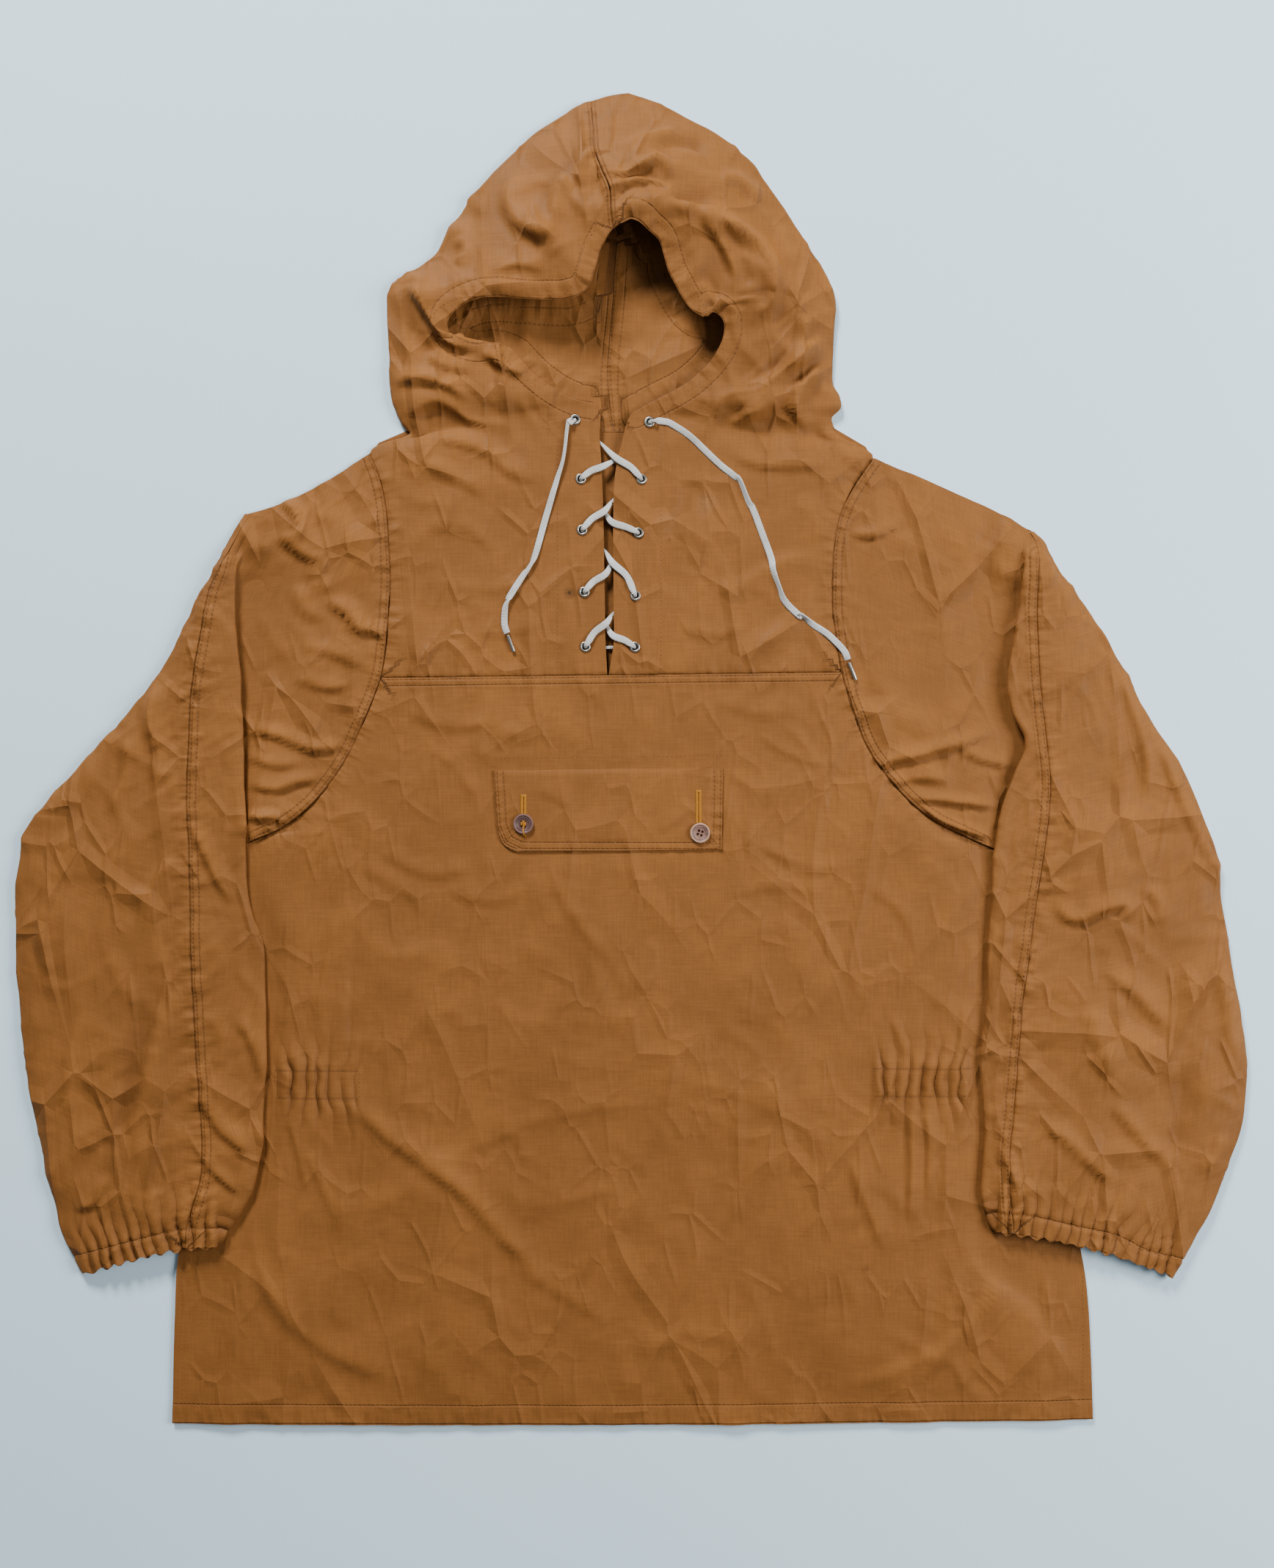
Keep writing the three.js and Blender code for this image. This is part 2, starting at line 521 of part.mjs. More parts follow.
// Lower front: rows from the hem to the chest seam.
const FRONT_INSIDE = 17;
const HEM_SAG = 2.5;
function frontLower() {
  const rows = SIDE.map((r, i) => ({
    left: point(r.leftX, r.leftY, EDGE_MID),
    right: point(r.rightX, r.rightY, EDGE_MID),
    coverLeft: r.coverLeft,
    coverRight: r.coverRight,
    cover: COVERED_MID,
    level: lerp(2.6, BODY_MID, smooth(i / 2)),
    sag: i === 0 ? HEM_SAG : 0,
  }));
  const covers = [[-275, 257], [-274, 257], [-245, 232], [-225, 208]];
  for (let k = 0; k <= CHEST_ROW; k++) {
    const [coverLeft, coverRight] = covers[k] || [bodySide.left[k].x + 13, bodySide.right[k].x - 13];
    const seam = k === CHEST_ROW ? SEAM_GAP / 2 : 0;
    rows.push({
      left: bodySide.left[k].clone().setY(bodySide.left[k].y - seam),
      right: bodySide.right[k].clone().setY(bodySide.right[k].y - seam),
      coverLeft,
      coverRight,
      cover: k < 2 ? COVERED_MID : lerp(bodySide.left[k].z, BODY_MID, 0.6),
      level: BODY_MID,
      sag: 0,
    });
  }
  const grid = rows.map((row, i) => {
    const xs = [row.left.x, lerp(row.left.x, row.coverLeft, 0.5), row.coverLeft, row.coverLeft + 9];
    for (let k = 1; k < FRONT_INSIDE; k++) {
      xs.push(lerp(row.coverLeft + 9, row.coverRight - 9, k / FRONT_INSIDE));
    }
    xs.push(row.coverRight - 9, row.coverRight, lerp(row.right.x, row.coverRight, 0.5), row.right.x);
    const last = xs.length - 1;
    return xs.map((x, j) => {
      const u = (x - row.left.x) / (row.right.x - row.left.x);
      const y = lerp(row.left.y, row.right.y, u) - row.sag * 4 * u * (1 - u);
      const edge = Math.min(j, last - j);
      if (edge === 0) return point(x, y, j === 0 ? row.left.z : row.right.z);
      if (edge === 1) return point(x, y, lerp(row.left.z, row.cover, 0.5));
      if (edge === 2) return point(x, y, Math.min(row.cover, row.level));
      const fade = smooth(Math.min(x - row.coverLeft, row.coverRight - x) / 26);
      const ends = smooth(Math.min(i / 2, (rows.length - 1 - i) / 1.5));
      const rise = edge === 3 ? lerp(row.cover, row.level, 0.75) : row.level;
      return point(x, y, rise + frontFolds(x, y) * fade * ends);
    });
  });
  const last = grid[0].length - 1;
  return wall("front_lower", grid, always, (i, j) => i > SIDE.length - 1 || j === 0 || j === last);
}

// The back, flat on the surface: rows from the hem to the neck.
const NECK_SHORT = 0.4; // the back ends this far below the seam at the neck
function bodyBack() {
  const rows = SIDE.map((r) => [r.leftX, r.leftY, r.rightX, r.rightY]);
  backSide.left.forEach((p, k) => rows.push([p.x, p.y, backSide.right[k].x, backSide.right[k].y]));
  const neck = HOOD_LEFT[NECK_ROW];
  const half = SEAM_GAP / 2;
  const top = rows.length;
  const other = HOOD_RIGHT[NECK_ROW];
  rows.push([neck.outX + 1, neck.outY - half - NECK_SHORT, other.outX - 1, other.outY - half - NECK_SHORT]);
  const steps = [0, 0.25, 0.5, 0.75, 1];
  const middleX = neck.backX;
  const grid = rows.map(([x0, y0, x1, y1], i) =>
    steps.map((t) => {
      if (i === top) {
        const x = t <= 0.5 ? lerp(x0, middleX, t * 2) : lerp(middleX, x1, t * 2 - 1);
        const y = t <= 0.5 ? lerp(y0, neck.backY - half, t * 2) : lerp(neck.backY - half, y1, t * 2 - 1);
        return point(x, y, FLOOR_MID);
      }
      const sag = i === 0 ? HEM_SAG * 4 * t * (1 - t) : 0;
      return point(lerp(x0, x1, t), lerp(y0, y1, t) - sag, FLOOR_MID);
    }),
  );
  return wall("body_back", grid, always, always);
}

// One side of the hood with the upper front below it.
const FRONT_STEPS = [0, 0.1, 0.22, 0.34, 0.46, 0.58, 0.7, 0.85, 1];
const TURN_CELLS = 4;
const BACK_CELLS = 4;
function hoodSide(side, sections) {
  const s = side === "left" ? -1 : 1;
  const front = FRONT_STEPS.length - 1;
  const last = sections.length - 1;
  const grid = sections.map((row, i) => {
    const half = SEAM_GAP / 2;
    const up = i === 0 ? half : 0;
    const edge = point(row.inX, row.inY + up, row.inZ);
    const points = [];
    if (i < NECK_ROW) {
      const seam = bodySide[side][CHEST_ROW + i];
      const end = point(seam.x, seam.y + up, seam.z);
      FRONT_STEPS.forEach((t, j) => {
        const x = lerp(edge.x, end.x, t);
        const y = lerp(edge.y, end.y, t);
        if (j === front) return points.push(end);
        const level = i === 0 ? BODY_MID : lerp(edge.z, BODY_MID, smooth(t * 3 - 0.6));
        const lower = lerp(level, end.z, smooth((t - 0.75) * 4));
        const fade = smooth(Math.min(1, (1 - t) * 4, i / 1.5));
        return points.push(point(x, y, lower + frontFolds(x, y) * fade));
      });
      for (let j = 0; j < TURN_CELLS + BACK_CELLS; j++) points.push(end);
      return points;
    }
    const radius = lerp(0.7, HOOD_TURN, smooth((i - NECK_ROW) / 2));
    const seamShift = s * half;
    const crown = i === last;
    const out = point(crown ? row.outX + seamShift : row.outX, row.outY, 0);
    const back = point(row.backX + seamShift, row.backY + (i === NECK_ROW ? half : 0), FLOOR_MID);
    if (i === NECK_ROW) out.y += half;
    // the fold is square to the outline: it leans from the edge towards the outline's point
    const lean = crown ? point(0, 1, 0) : point(out.x - row.inX, (out.y - row.inY) * 0.6, 0).normalize();
    const centre = out.clone().addScaledVector(lean, -radius);
    const top = FLOOR_MID + 2 * radius;
    const ends = smooth(Math.min((i - NECK_ROW) / 2, 1)) * smooth((last - i) / 2);
    FRONT_STEPS.forEach((t, j) => {
      if (j === front) return points.push(centre.clone().setZ(top));
      if (crown) return points.push(point(CROWN[j].x + seamShift, CROWN[j].y, CROWN[j].z));
      const x = lerp(edge.x, centre.x, t);
      const y = lerp(edge.y, centre.y, t);
      const high = (edge.z - top) * (1 - t * t);
      const bulge = 3.5 * Math.sin(Math.PI * t) * ends;
      const fade = smooth((1 - t) * 4) * ends;
      return points.push(point(x, y, top + high + bulge + folds(HOOD_FOLDS, x, y) * fade));
    });
    for (let k = 1; k <= TURN_CELLS; k++) {
      const angle = (Math.PI * k) / TURN_CELLS;
      const turned = centre.clone().addScaledVector(lean, radius * Math.sin(angle));
      points.push(turned.setZ(FLOOR_MID + radius * (1 + Math.cos(angle))));
    }
    for (let k = 1; k <= BACK_CELLS; k++) {
      points.push(centre.clone().setZ(FLOOR_MID).lerp(back, k / BACK_CELLS));
    }
    return points;
  });
  const present = (i, j) => i >= NECK_ROW || j < front;
  const upright = (i, j) => i === 0 || (i < NECK_ROW && j === front) || j > front + TURN_CELLS;
  return wall(`front_hood_${side}`, grid, present, upright);
}

// One sleeve. Columns: the layer from the armhole seam to inside the pleat, the turn in the pleat, the layer back
// to the fold, the fold, the top to the seam along the arm, on to the outer edge, its turn, and the layer under.
const LAYER_A = 2;
const TURN_A = 3;
const LAYER_B = 3;
const TURN_B = 4;
const TOP_C = 5;
const TOP_D = 3;
const TURN_E = 4;
const UNDER_F = 3;
const START_B = LAYER_A + TURN_A;
const OVER = START_B + LAYER_B + TURN_B + TOP_C;
const PLEAT_LEVEL = [1.9, 3.2, 4.0, 4.4, 4.4, 4.4, 4.4, 4.4, 4.4, 4.4, 4.4, 4.4, 3.9, 3.0, 1.9];
const UNDER_FOLD = 4.5; // middle of the lower layer at the sleeve's inner edge, where it lies on the front
const SEAM_INSET = 4; // the seam along the arm stays at least this far inside the outline
const OVER_BODY = 3.5; // middle of the sleeve's lower layer just outside the front's edge

function sideAt(side, y) {
  const rows = SIDE.map((r) => (side === "left" ? [r.leftX, r.leftY] : [r.rightX, r.rightY]));
  const next = rows.findIndex((r) => r[1] >= y);
  if (next < 1) return next === 0 ? rows[0][0] : rows[rows.length - 1][0];
  const t = (y - rows[next - 1][1]) / (rows[next][1] - rows[next - 1][1]);
  return lerp(rows[next - 1][0], rows[next][0], t);
}

const ARMPIT_FOLD_LEVEL = 4.7; // height of the sleeve's inner edge at the armpit
const FOLD_RAISED = { 12: 0.3, 13: 0.9 }; // how much higher it is in the rows before
function sleeve(side, sections) {
  const s = side === "left" ? -1 : 1;
  const grid = sections.map((row, i) => {
    const inArmhole = i <= ARMPIT_SLEEVE_ROW;
    const seam = inArmhole ? sleeveSide[side][row.armhole] : null;
    const fold = point(row.foldX, row.foldY, 0);
    const edge = point(row.outX, row.outY, 0);
    const radius = lerp(0.7, OUTER_TURN, smooth(i / 3));
    const top = FLOOR_MID + 2 * radius;
    const centre = edge.clone().addScaledVector(edge.clone().sub(fold).setZ(0).normalize(), -radius);
    const over = point(row.overX, row.overY, 0);
    const inset = SEAM_INSET + radius;
    if (over.distanceTo(edge) < inset) over.copy(edge).addScaledVector(edge.clone().sub(fold).normalize(), -inset);
    const outward = over.clone().sub(fold).normalize();
    const turn = (row.turn * Math.PI) / 180;
    const profile = [];
    let base = 0;
    // the pleat's profile: distance along the row from the fold, and height
    const level = inArmhole ? PLEAT_LEVEL[i] : 0;
    const rA = PLEAT_RADIUS;
    const rB = inArmhole ? lerp(0.8, SLEEVE_TURN, smooth((i - 3) / 2)) : SLEEVE_TURN;
    const raised = FOLD_RAISED[i] ?? 0;
    const foldLevel = i === ARMPIT_SLEEVE_ROW ? ARMPIT_FOLD_LEVEL : level + 2 * rA + raised;
    if (inArmhole) {
      for (let k = 0; k <= TURN_A; k++) {
        const phi = (turn * k) / TURN_A;
        profile.push([rA * Math.sin(phi) + (turn < 0.1 ? k : 0), level + rA * (1 - Math.cos(phi))]);
      }
      const [s1, z1] = profile[profile.length - 1];
      const rise = turn > 3 ? foldLevel - z1 : row.depth * Math.sin(turn);
      const steps = [turn > 3 ? 2 / row.depth : 1 / LAYER_B, turn > 3 ? 0.5 : 2 / LAYER_B, 1];
      for (const t of steps) {
        profile.push([s1 + row.depth * Math.cos(turn) * t, z1 + rise * t]);
      }
    } else {
      profile.push([0, UNDER_FOLD]);
    }
    const [s2, z2] = profile[profile.length - 1];
    const bend = inArmhole ? turn : Math.PI;
    const cs = s2 + rB * Math.sin(bend);
    const cz = z2 - rB * Math.cos(bend);
    for (let k = 1; k <= TURN_B; k++) {
      const phi = bend - (bend * k) / TURN_B;
      const spread = bend < 0.1 ? k * 1.2 : 0;
      profile.push([cs - rB * Math.sin(phi) + spread, cz + rB * Math.cos(phi)]);
    }
    // the fold's outermost point lies on the fold's place
    const middle = profile[profile.length - 1 - TURN_B / 2];
    base = -middle[0];
    const place = ([along, z]) => fold.clone().addScaledVector(outward, along + base).setZ(z);
    const points = [];
    if (inArmhole) {
      let pleat = place(profile[0]);
      if (i === ARMPIT_SLEEVE_ROW) pleat = sleeveSide[side][0].clone();
      for (let k = 0; k < LAYER_A; k++) points.push(seam.clone().lerp(pleat, k / LAYER_A));
      profile.forEach((p, k) => {
        const placed = place(p);
        if (i === ARMPIT_SLEEVE_ROW && k <= TURN_A) {
          placed.x = pleat.x + (p[0] - profile[0][0]) * outward.x;
          placed.y = lerp(pleat.y, place(profile[TURN_A]).y, k / TURN_A) * 0.5 + pleat.y * 0.5;
          if (k === 0) placed.y = pleat.y;
        }
        points.push(placed);
      });
    } else {
      const under = point(row.underX - s * (SEAM_GAP / 2), row.underY, FLOOR_MID);
      const body = sideAt(side, row.underY);
      const bottom = place(profile[0]);
      for (let k = 0; k < START_B; k++) points.push(under);
      points.push(under);
      const beside = point(body + s * 1.6, lerp(under.y, bottom.y, 0.2), OVER_BODY);
      points.push(beside, beside.clone().lerp(bottom, 0.5));
      profile.forEach((p) => points.push(place(p)));
    }
    const start = points[points.length - 1];
    const width = start.distanceTo(over) + over.distanceTo(centre);
    const raise = (p) => {
      const w = Math.hypot(p.x - start.x, p.y - start.y) / width;
      const loft = SLEEVE_LOFT * smooth(i / 3) * Math.sin(Math.PI * clamp(w));
      const fade = smooth(Math.min(w, 1 - w) * 5) * smooth(Math.min(i / 2, (sections.length - 1 - i) / 2));
      return p.setZ(lerp(start.z, top, w) + loft + folds(SLEEVE_FOLDS, p.x, p.y) * fade);
    };
    for (let k = 1; k <= TOP_C; k++) points.push(raise(start.clone().lerp(over, k / TOP_C)));
    for (let k = 1; k < TOP_D; k++) points.push(raise(over.clone().lerp(centre, k / TOP_D)));
    const lean = edge.clone().sub(centre).normalize();
    for (let k = 0; k <= TURN_E; k++) {
      const angle = (Math.PI * k) / TURN_E;
      const turned = centre.clone().addScaledVector(lean, radius * Math.sin(angle));
      points.push(turned.setZ(FLOOR_MID + radius * (1 + Math.cos(angle))));
    }
    const hidden = inArmhole
      ? sleeveBackSide[side][row.armhole > 1 ? row.armhole - 1 : 0].clone().setZ(FLOOR_MID)
      : point(row.underX + s * (SEAM_GAP / 2), row.underY, FLOOR_MID);
    const bottom = centre.clone().setZ(FLOOR_MID);
    for (let k = 1; k <= UNDER_F; k++) points.push(bottom.clone().lerp(hidden, k / UNDER_F));
    // the row's sag, from its inner end to the outer edge
    const from = inArmhole && i < 3 ? seam.x : row.foldX;
    return points.map((p) => {
      const t = clamp((p.x - from) / (row.outX - from));
      return p.clone().setY(p.y + row.sag * 4 * t * (1 - t));
    });
  });
  // cut along the seam over the arm, with half of the gap on each side
  const split = (direction) =>
    grid.map((row) => {
      const copy = row.map((p) => p.clone());
      const away = row[OVER + direction].clone().sub(row[OVER]).normalize();
      copy[OVER].addScaledVector(away, SEAM_GAP / 2);
      return copy;
    });
  const frontGrid = split(-1).map((row) => row.slice(0, OVER + 1));
  const backGrid = split(1).map((row) => row.slice(OVER));
  const present = (i, j) => j >= START_B || i < ARMPIT_SLEEVE_ROW;
  const flat = backGrid[0].length - 1 - UNDER_F;
  return [
    wall(`sleeve_${side}_front`, frontGrid, present, (i, j) => j === OVER || (j === 0 && i <= ARMPIT_SLEEVE_ROW)),
    wall(`sleeve_${side}_back`, backGrid, always, (i, j) => j === 0 || j >= flat),
  ];
}

// The height of the highest cloth at a place, found from above.
const ray = new THREE.Raycaster();
function topAt(meshes, x, y) {
  ray.set(point(x, y, 200), point(0, 0, -1));
  const hits = ray.intersectObjects(meshes);
  return hits.length > 0 ? hits[0].point.z : 0;
}
function highestRound(meshes, x, y, radius) {
  let height = topAt(meshes, x, y);
  for (let k = 0; k < 8; k++) {
    const angle = (k * Math.PI) / 4;
    height = Math.max(height, topAt(meshes, x + radius * Math.cos(angle), y + radius * Math.sin(angle)));
  }
  return height;
}

function toManifold(geometry) {
  return new wasm.Manifold(
    new wasm.Mesh({
      numProp: 3,
      vertProperties: new Float32Array(geometry.attributes.position.array),
      triVerts: new Uint32Array(geometry.index.array),
    }),
  );
}
function fromManifold(manifold) {
  const mesh = manifold.getMesh();
  const geometry = new THREE.BufferGeometry();
  geometry.setAttribute("position", new THREE.BufferAttribute(new Float32Array(mesh.vertProperties), 3));
  geometry.setIndex(new THREE.BufferAttribute(new Uint32Array(mesh.triVerts), 1));
  return geometry;
}
function drilled(mesh, holes) {
  let body = toManifold(mesh.geometry);
  for (const [x, y, radius, low, high, sides] of holes) {
    body = body.subtract(wasm.Manifold.cylinder(high - low, radius, radius, sides).translate([x, y, low]));
  }
  const cut = solid(mesh.name, mergeVertices(fromManifold(body), 1e-3), CLOTH_COLOUR);
  cut.material = mesh.material;
  return cut;
}

// A closed solid of revolution about +Z at a place, from a ring of radius and height pairs.
function turned(name, ring, sides, x, y, z, colour) {
  const corners = [];
  const at = (k, [radius, height]) => {
    const angle = (2 * Math.PI * (k % sides)) / sides;
    return [x + radius * Math.cos(angle), y + radius * Math.sin(angle), z + height];
  };
  for (let k = 0; k < sides; k++) {
    ring.forEach((p, n) => {
      const q = ring[(n + 1) % ring.length];
      if (p[0] === 0 && q[0] === 0) return;
      if (q[0] > 0) corners.push(...at(k, p), ...at(k + 1, q), ...at(k, q));
      if (p[0] > 0) corners.push(...at(k, p), ...at(k + 1, p), ...at(k + 1, q));
    });
  }
  const raw = new THREE.BufferGeometry();
  raw.setAttribute("position", new THREE.Float32BufferAttribute(corners, 3));
  return solid(name, mergeVertices(raw, 1e-3), colour);
}

// A flat cord along a path of points, each with its own width and thickness.
const CORD_SIDES = 8;
function ribbon(name, path, colour) {
  const count = path.length;
  const plan = path.map((p, i) => {
    const a = path[Math.max(0, i - 1)].at;
    const b = path[Math.min(count - 1, i + 1)].at;
    return new THREE.Vector2(b.x - a.x, b.y - a.y);
  });
  const rings = path.map((p, i) => {
    const a = path[Math.max(0, i - 1)].at;
    const b = path[Math.min(count - 1, i + 1)].at;
    const along = b.clone().sub(a).normalize();
    const flow = plan[i].clone();
    if (i > 0) flow.add(plan[i - 1].clone().multiplyScalar(0.5));
    if (i < count - 1) flow.add(plan[i + 1].clone().multiplyScalar(0.5));
    flow.normalize();
    const side = point(-flow.y, flow.x, 0);
    side.addScaledVector(along, -side.dot(along)).normalize();
    const up = along.clone().cross(side);
    const corners = [];
    for (let k = 0; k < CORD_SIDES; k++) {
      const angle = (2 * Math.PI * (k + 0.5)) / CORD_SIDES;
      const c = Math.cos(angle);
      const d = Math.sin(angle);
      const across = (Math.sign(c) * Math.abs(c) ** 0.5 * p.wide) / 2;
      const over = (Math.sign(d) * Math.abs(d) ** 0.5 * p.thick) / 2;
      corners.push(p.at.clone().addScaledVector(side, across).addScaledVector(up, over));
    }
    return corners;
  });
  const corners = [];
  const face = (a, b, c) => corners.push(...a.toArray(), ...b.toArray(), ...c.toArray());
  for (let i = 0; i < count - 1; i++) {
    for (let k = 0; k < CORD_SIDES; k++) {
      const n = (k + 1) % CORD_SIDES;
      face(rings[i][k], rings[i][n], rings[i + 1][n]);
      face(rings[i][k], rings[i + 1][n], rings[i + 1][k]);
    }
  }
  for (let k = 1; k < CORD_SIDES - 1; k++) {
    face(rings[0][0], rings[0][k + 1], rings[0][k]);
    face(rings[count - 1][0], rings[count - 1][k], rings[count - 1][k + 1]);
  }
  const raw = new THREE.BufferGeometry();
  raw.setAttribute("position", new THREE.Float32BufferAttribute(corners, 3));
  return solid(name, mergeVertices(raw, 1e-3), colour);
}

const cloth = [bodyBack(), frontLower(), hoodSide("left", HOOD_LEFT), hoodSide("right", HOOD_RIGHT)];
cloth.push(...sleeve("left", SLEEVE_LEFT), ...sleeve("right", SLEEVE_RIGHT));
const byName = (name) => cloth.find((mesh) => mesh.name === name);

// Eyelets: a flange on the cloth and a barrel through it.
const trims = [];
const eyelets = { left: [], right: [] };
for (const side of ["left", "right"]) {
  const upper = byName(`front_hood_${side}`);
  const holes = [];
  EYELETS.forEach((row, k) => {
    const x = row[`${side}X`];
    const y = row[`${side}Y`];
    const seat = highestRound([upper], x, y, EYELET_OUTER) + 0.3;
    const through = topAt([upper], x, y) - CLOTH - 0.5;
    holes.push([x, y, CLOTH_HOLE, through - 1, seat + 1, EYELET_SIDES]);
    const foot = through - seat;
    const ring = [
      [EYELET_HOLE, EYELET_FLANGE],
      [EYELET_HOLE, foot],
      [EYELET_BARREL, foot],
      [EYELET_BARREL, 0],
      [EYELET_OUTER, 0],
      [EYELET_OUTER, EYELET_FLANGE],
    ];
    trims.push(turned(`eyelet_${side}_${k + 1}`, ring, EYELET_SIDES, x, y, seat, METAL_COLOUR));
    eyelets[side].push({ x, y, top: seat + EYELET_FLANGE, foot: seat + foot });
  });
  cloth[cloth.indexOf(upper)] = drilled(upper, holes);
}

// The middle of a lace lying on the cloth at a place.
const onCloth = (x, y, wide) =>
  highestRound(cloth, x, y, wide / 2) + LACE_CLEAR + LACE_THICK / 2;

// The lace's path through one eyelet, from below, and over its flange in a direction.
const full = { wide: LACE_WIDTH, thick: LACE_THICK };
const slim = { wide: LACE_NARROW, thick: LACE_TWISTED };
function upThrough(eye, comeX, comeY, goX, goY) {
  const come = new THREE.Vector2(eye.x - comeX, eye.y - comeY).normalize();
  const go = new THREE.Vector2(goX - eye.x, goY - eye.y).normalize();
  const low = eye.foot - LACE_CLEAR - LACE_TWISTED / 2;
  const high = eye.top + LACE_CLEAR + LACE_TWISTED / 2;
  return [
    { at: point(eye.x - come.x * 1.5, eye.y - come.y * 1.5, low), ...slim },
    { at: point(eye.x, eye.y, eye.foot + 0.5), ...slim },
    { at: point(eye.x, eye.y, eye.top - 0.3), ...slim },
    { at: point(eye.x + go.x * 1.4, eye.y + go.y * 1.4, high), ...slim },
    { at: point(eye.x + go.x * 4, eye.y + go.y * 4, high + 0.2), ...slim },
  ];
}

// Where the laced edge of a side is at a height of the garment.
function lacedEdge(side, y) {
  const rows = side === "left" ? HOOD_LEFT : HOOD_RIGHT;
  const next = rows.findIndex((r) => r.inY >= y);
  const t = (y - rows[next - 1].inY) / (rows[next].inY - rows[next - 1].inY);
  return lerp(rows[next - 1].inX, rows[next].inX, t);
}

// A strand crosses between the laced edges, where it is slim, and dives under the other one.
const EDGE_MARGIN = 0.9;
function strand(row) {
  const own = row.side < 0 ? "left" : "right";
  const opposite = row.side < 0 ? "right" : "left";
  const ownMeshes = [byName(`front_hood_${own}`)];
  const clear = LACE_CLEAR + LACE_TWISTED / 2;
  const next = eyelets[opposite][row.pair + 1];
  const leaveX = lacedEdge(own, row.leaveY) - row.side * EDGE_MARGIN;
  const diveX = lacedEdge(opposite, row.diveY) + row.side * EDGE_MARGIN * 0.7;
  const leaveZ = highestRound(ownMeshes, leaveX, row.leaveY, 2.5) + clear + row.lift;
  const diveZ = next.foot - LACE_CLEAR - 0.6;
  return [
    { at: point(row.midX, row.midY, highestRound(ownMeshes, row.midX, row.midY, 3) + clear), ...full },
    { at: point(leaveX, row.leaveY, leaveZ), ...slim },
    { at: point(diveX, row.diveY, diveZ), ...slim },
    {
      at: point(lerp(diveX, next.x, 0.4), lerp(row.diveY, next.y, 0.4), diveZ - 0.3),
      ...slim,
    },
  ];
}

function lacingPath() {
  const strandsOf = (side, pair) => STRANDS.find((r) => r.side === side && r.pair === pair);
  // one way from the bottom bar up to a top eyelet, starting on a side
  const climb = (first) => {
    let side = first;
    let path = [];
    let from = [-15.5, 82.5];
    for (let pair = 0; pair < 4; pair++) {
      const row = strandsOf(side, pair);
      const eye = eyelets[side < 0 ? "left" : "right"][pair];
      path = path.concat(upThrough(eye, ...from, row.midX, row.midY), strand(row));
      from = [lacedEdge(side < 0 ? "right" : "left", row.diveY), row.diveY];
      side = -side;
    }
    const free = side < 0 ? LACE_LEFT[0] : LACE_RIGHT[0];
    const last = upThrough(eyelets[side < 0 ? "left" : "right"][4], ...from, ...free);
    return path.concat(last.slice(0, 4));
  };
  const leftStart = climb(-1);
  const rightStart = climb(1);
  const bar = { at: point(-15.5, 82.5, eyelets.left[0].foot - 1.6), ...slim };
  // the way that starts on the left ends at the top left eyelet, the other at the top right one
  return [...rightStart.reverse(), bar, ...leftStart];
}
const lacing = lacingPath();

// A free end: over the flange, then down the front on the cloth.
function freeEnd(name, from, before, places) {
  const start = from.at.clone().sub(before.at).normalize();
  const path = [{ at: from.at.clone().addScaledVector(start, 0.45), ...slim }];
  const aim = point(places[0][0] - from.at.x, places[0][1] - from.at.y, 0).normalize();
  path.push({ at: path[0].at.clone().addScaledVector(start, 1.6).addScaledVector(aim, 1.2), ...slim });
  const curve = new THREE.CatmullRomCurve3(places.map(([x, y]) => point(x, y, 0)), false, "centripetal");
  const steps = Math.round(curve.getLength() / 7);
  curve.getSpacedPoints(steps).forEach((p) => {
    path.push({ at: point(p.x, p.y, onCloth(p.x, p.y, LACE_WIDTH)), ...full });
  });
  return ribbon(name, path, LACE_COLOUR);
}
function aglet(name, [start, end]) {
  const path = [0, 0.5, 1].map((t) => {
    const x = lerp(start[0], end[0], t);
    const y = lerp(start[1], end[1], t);
    return { at: point(x, y, onCloth(x, y, AGLET_WIDTH) + 0.3), wide: AGLET_WIDTH, thick: 1.6 };
  });
  return ribbon(name, path, METAL_COLOUR);
}
const cords = [ribbon("lacing", lacing, LACE_COLOUR)];
const count = lacing.length;
cords.push(freeEnd("lace_end_left", lacing[count - 1], lacing[count - 2], LACE_LEFT));
cords.push(freeEnd("lace_end_right", lacing[0], lacing[1], LACE_RIGHT));
cords.push(aglet("aglet_left", AGLET_LEFT), aglet("aglet_right", AGLET_RIGHT));

// The pocket flap lies on the lower front, made from the front's own heights.
const FLAP_COLUMNS = 12;
const FLAP_ROWS = 4;
const FLAP_CLEAR = 0.45;
function pocketFlap() {
  const lower = [byName("front_lower")];
  const grid = [];
  for (let i = 0; i <= FLAP_ROWS; i++) {
    const down = i / FLAP_ROWS;
    const row = [];
    for (let j = 0; j <= FLAP_COLUMNS; j++) {
      const t = j / FLAP_COLUMNS;
      // the lower left corner is rounded, the left edge runs in a little towards it
      const depth = FLAP.top - FLAP.bottom;
      const fromCorner = Math.max(0, FLAP.round - t * (FLAP.right - FLAP.left));
      const lift = FLAP.round - Math.sqrt(Math.max(0, FLAP.round ** 2 - fromCorner ** 2));
      const left = FLAP.left + 3 * down;
      const x = lerp(left, FLAP.right - down, t);
      const y = FLAP.top + 2 * t - (depth - lift) * down;
      row.push(point(x, y, highestRound(lower, x, y, 3) + FLAP_CLEAR + CLOTH / 2));
    }
    grid.push(row);
  }
  return wall("pocket_flap", grid, always, always);
}
const flap = pocketFlap();
cloth.push(flap);

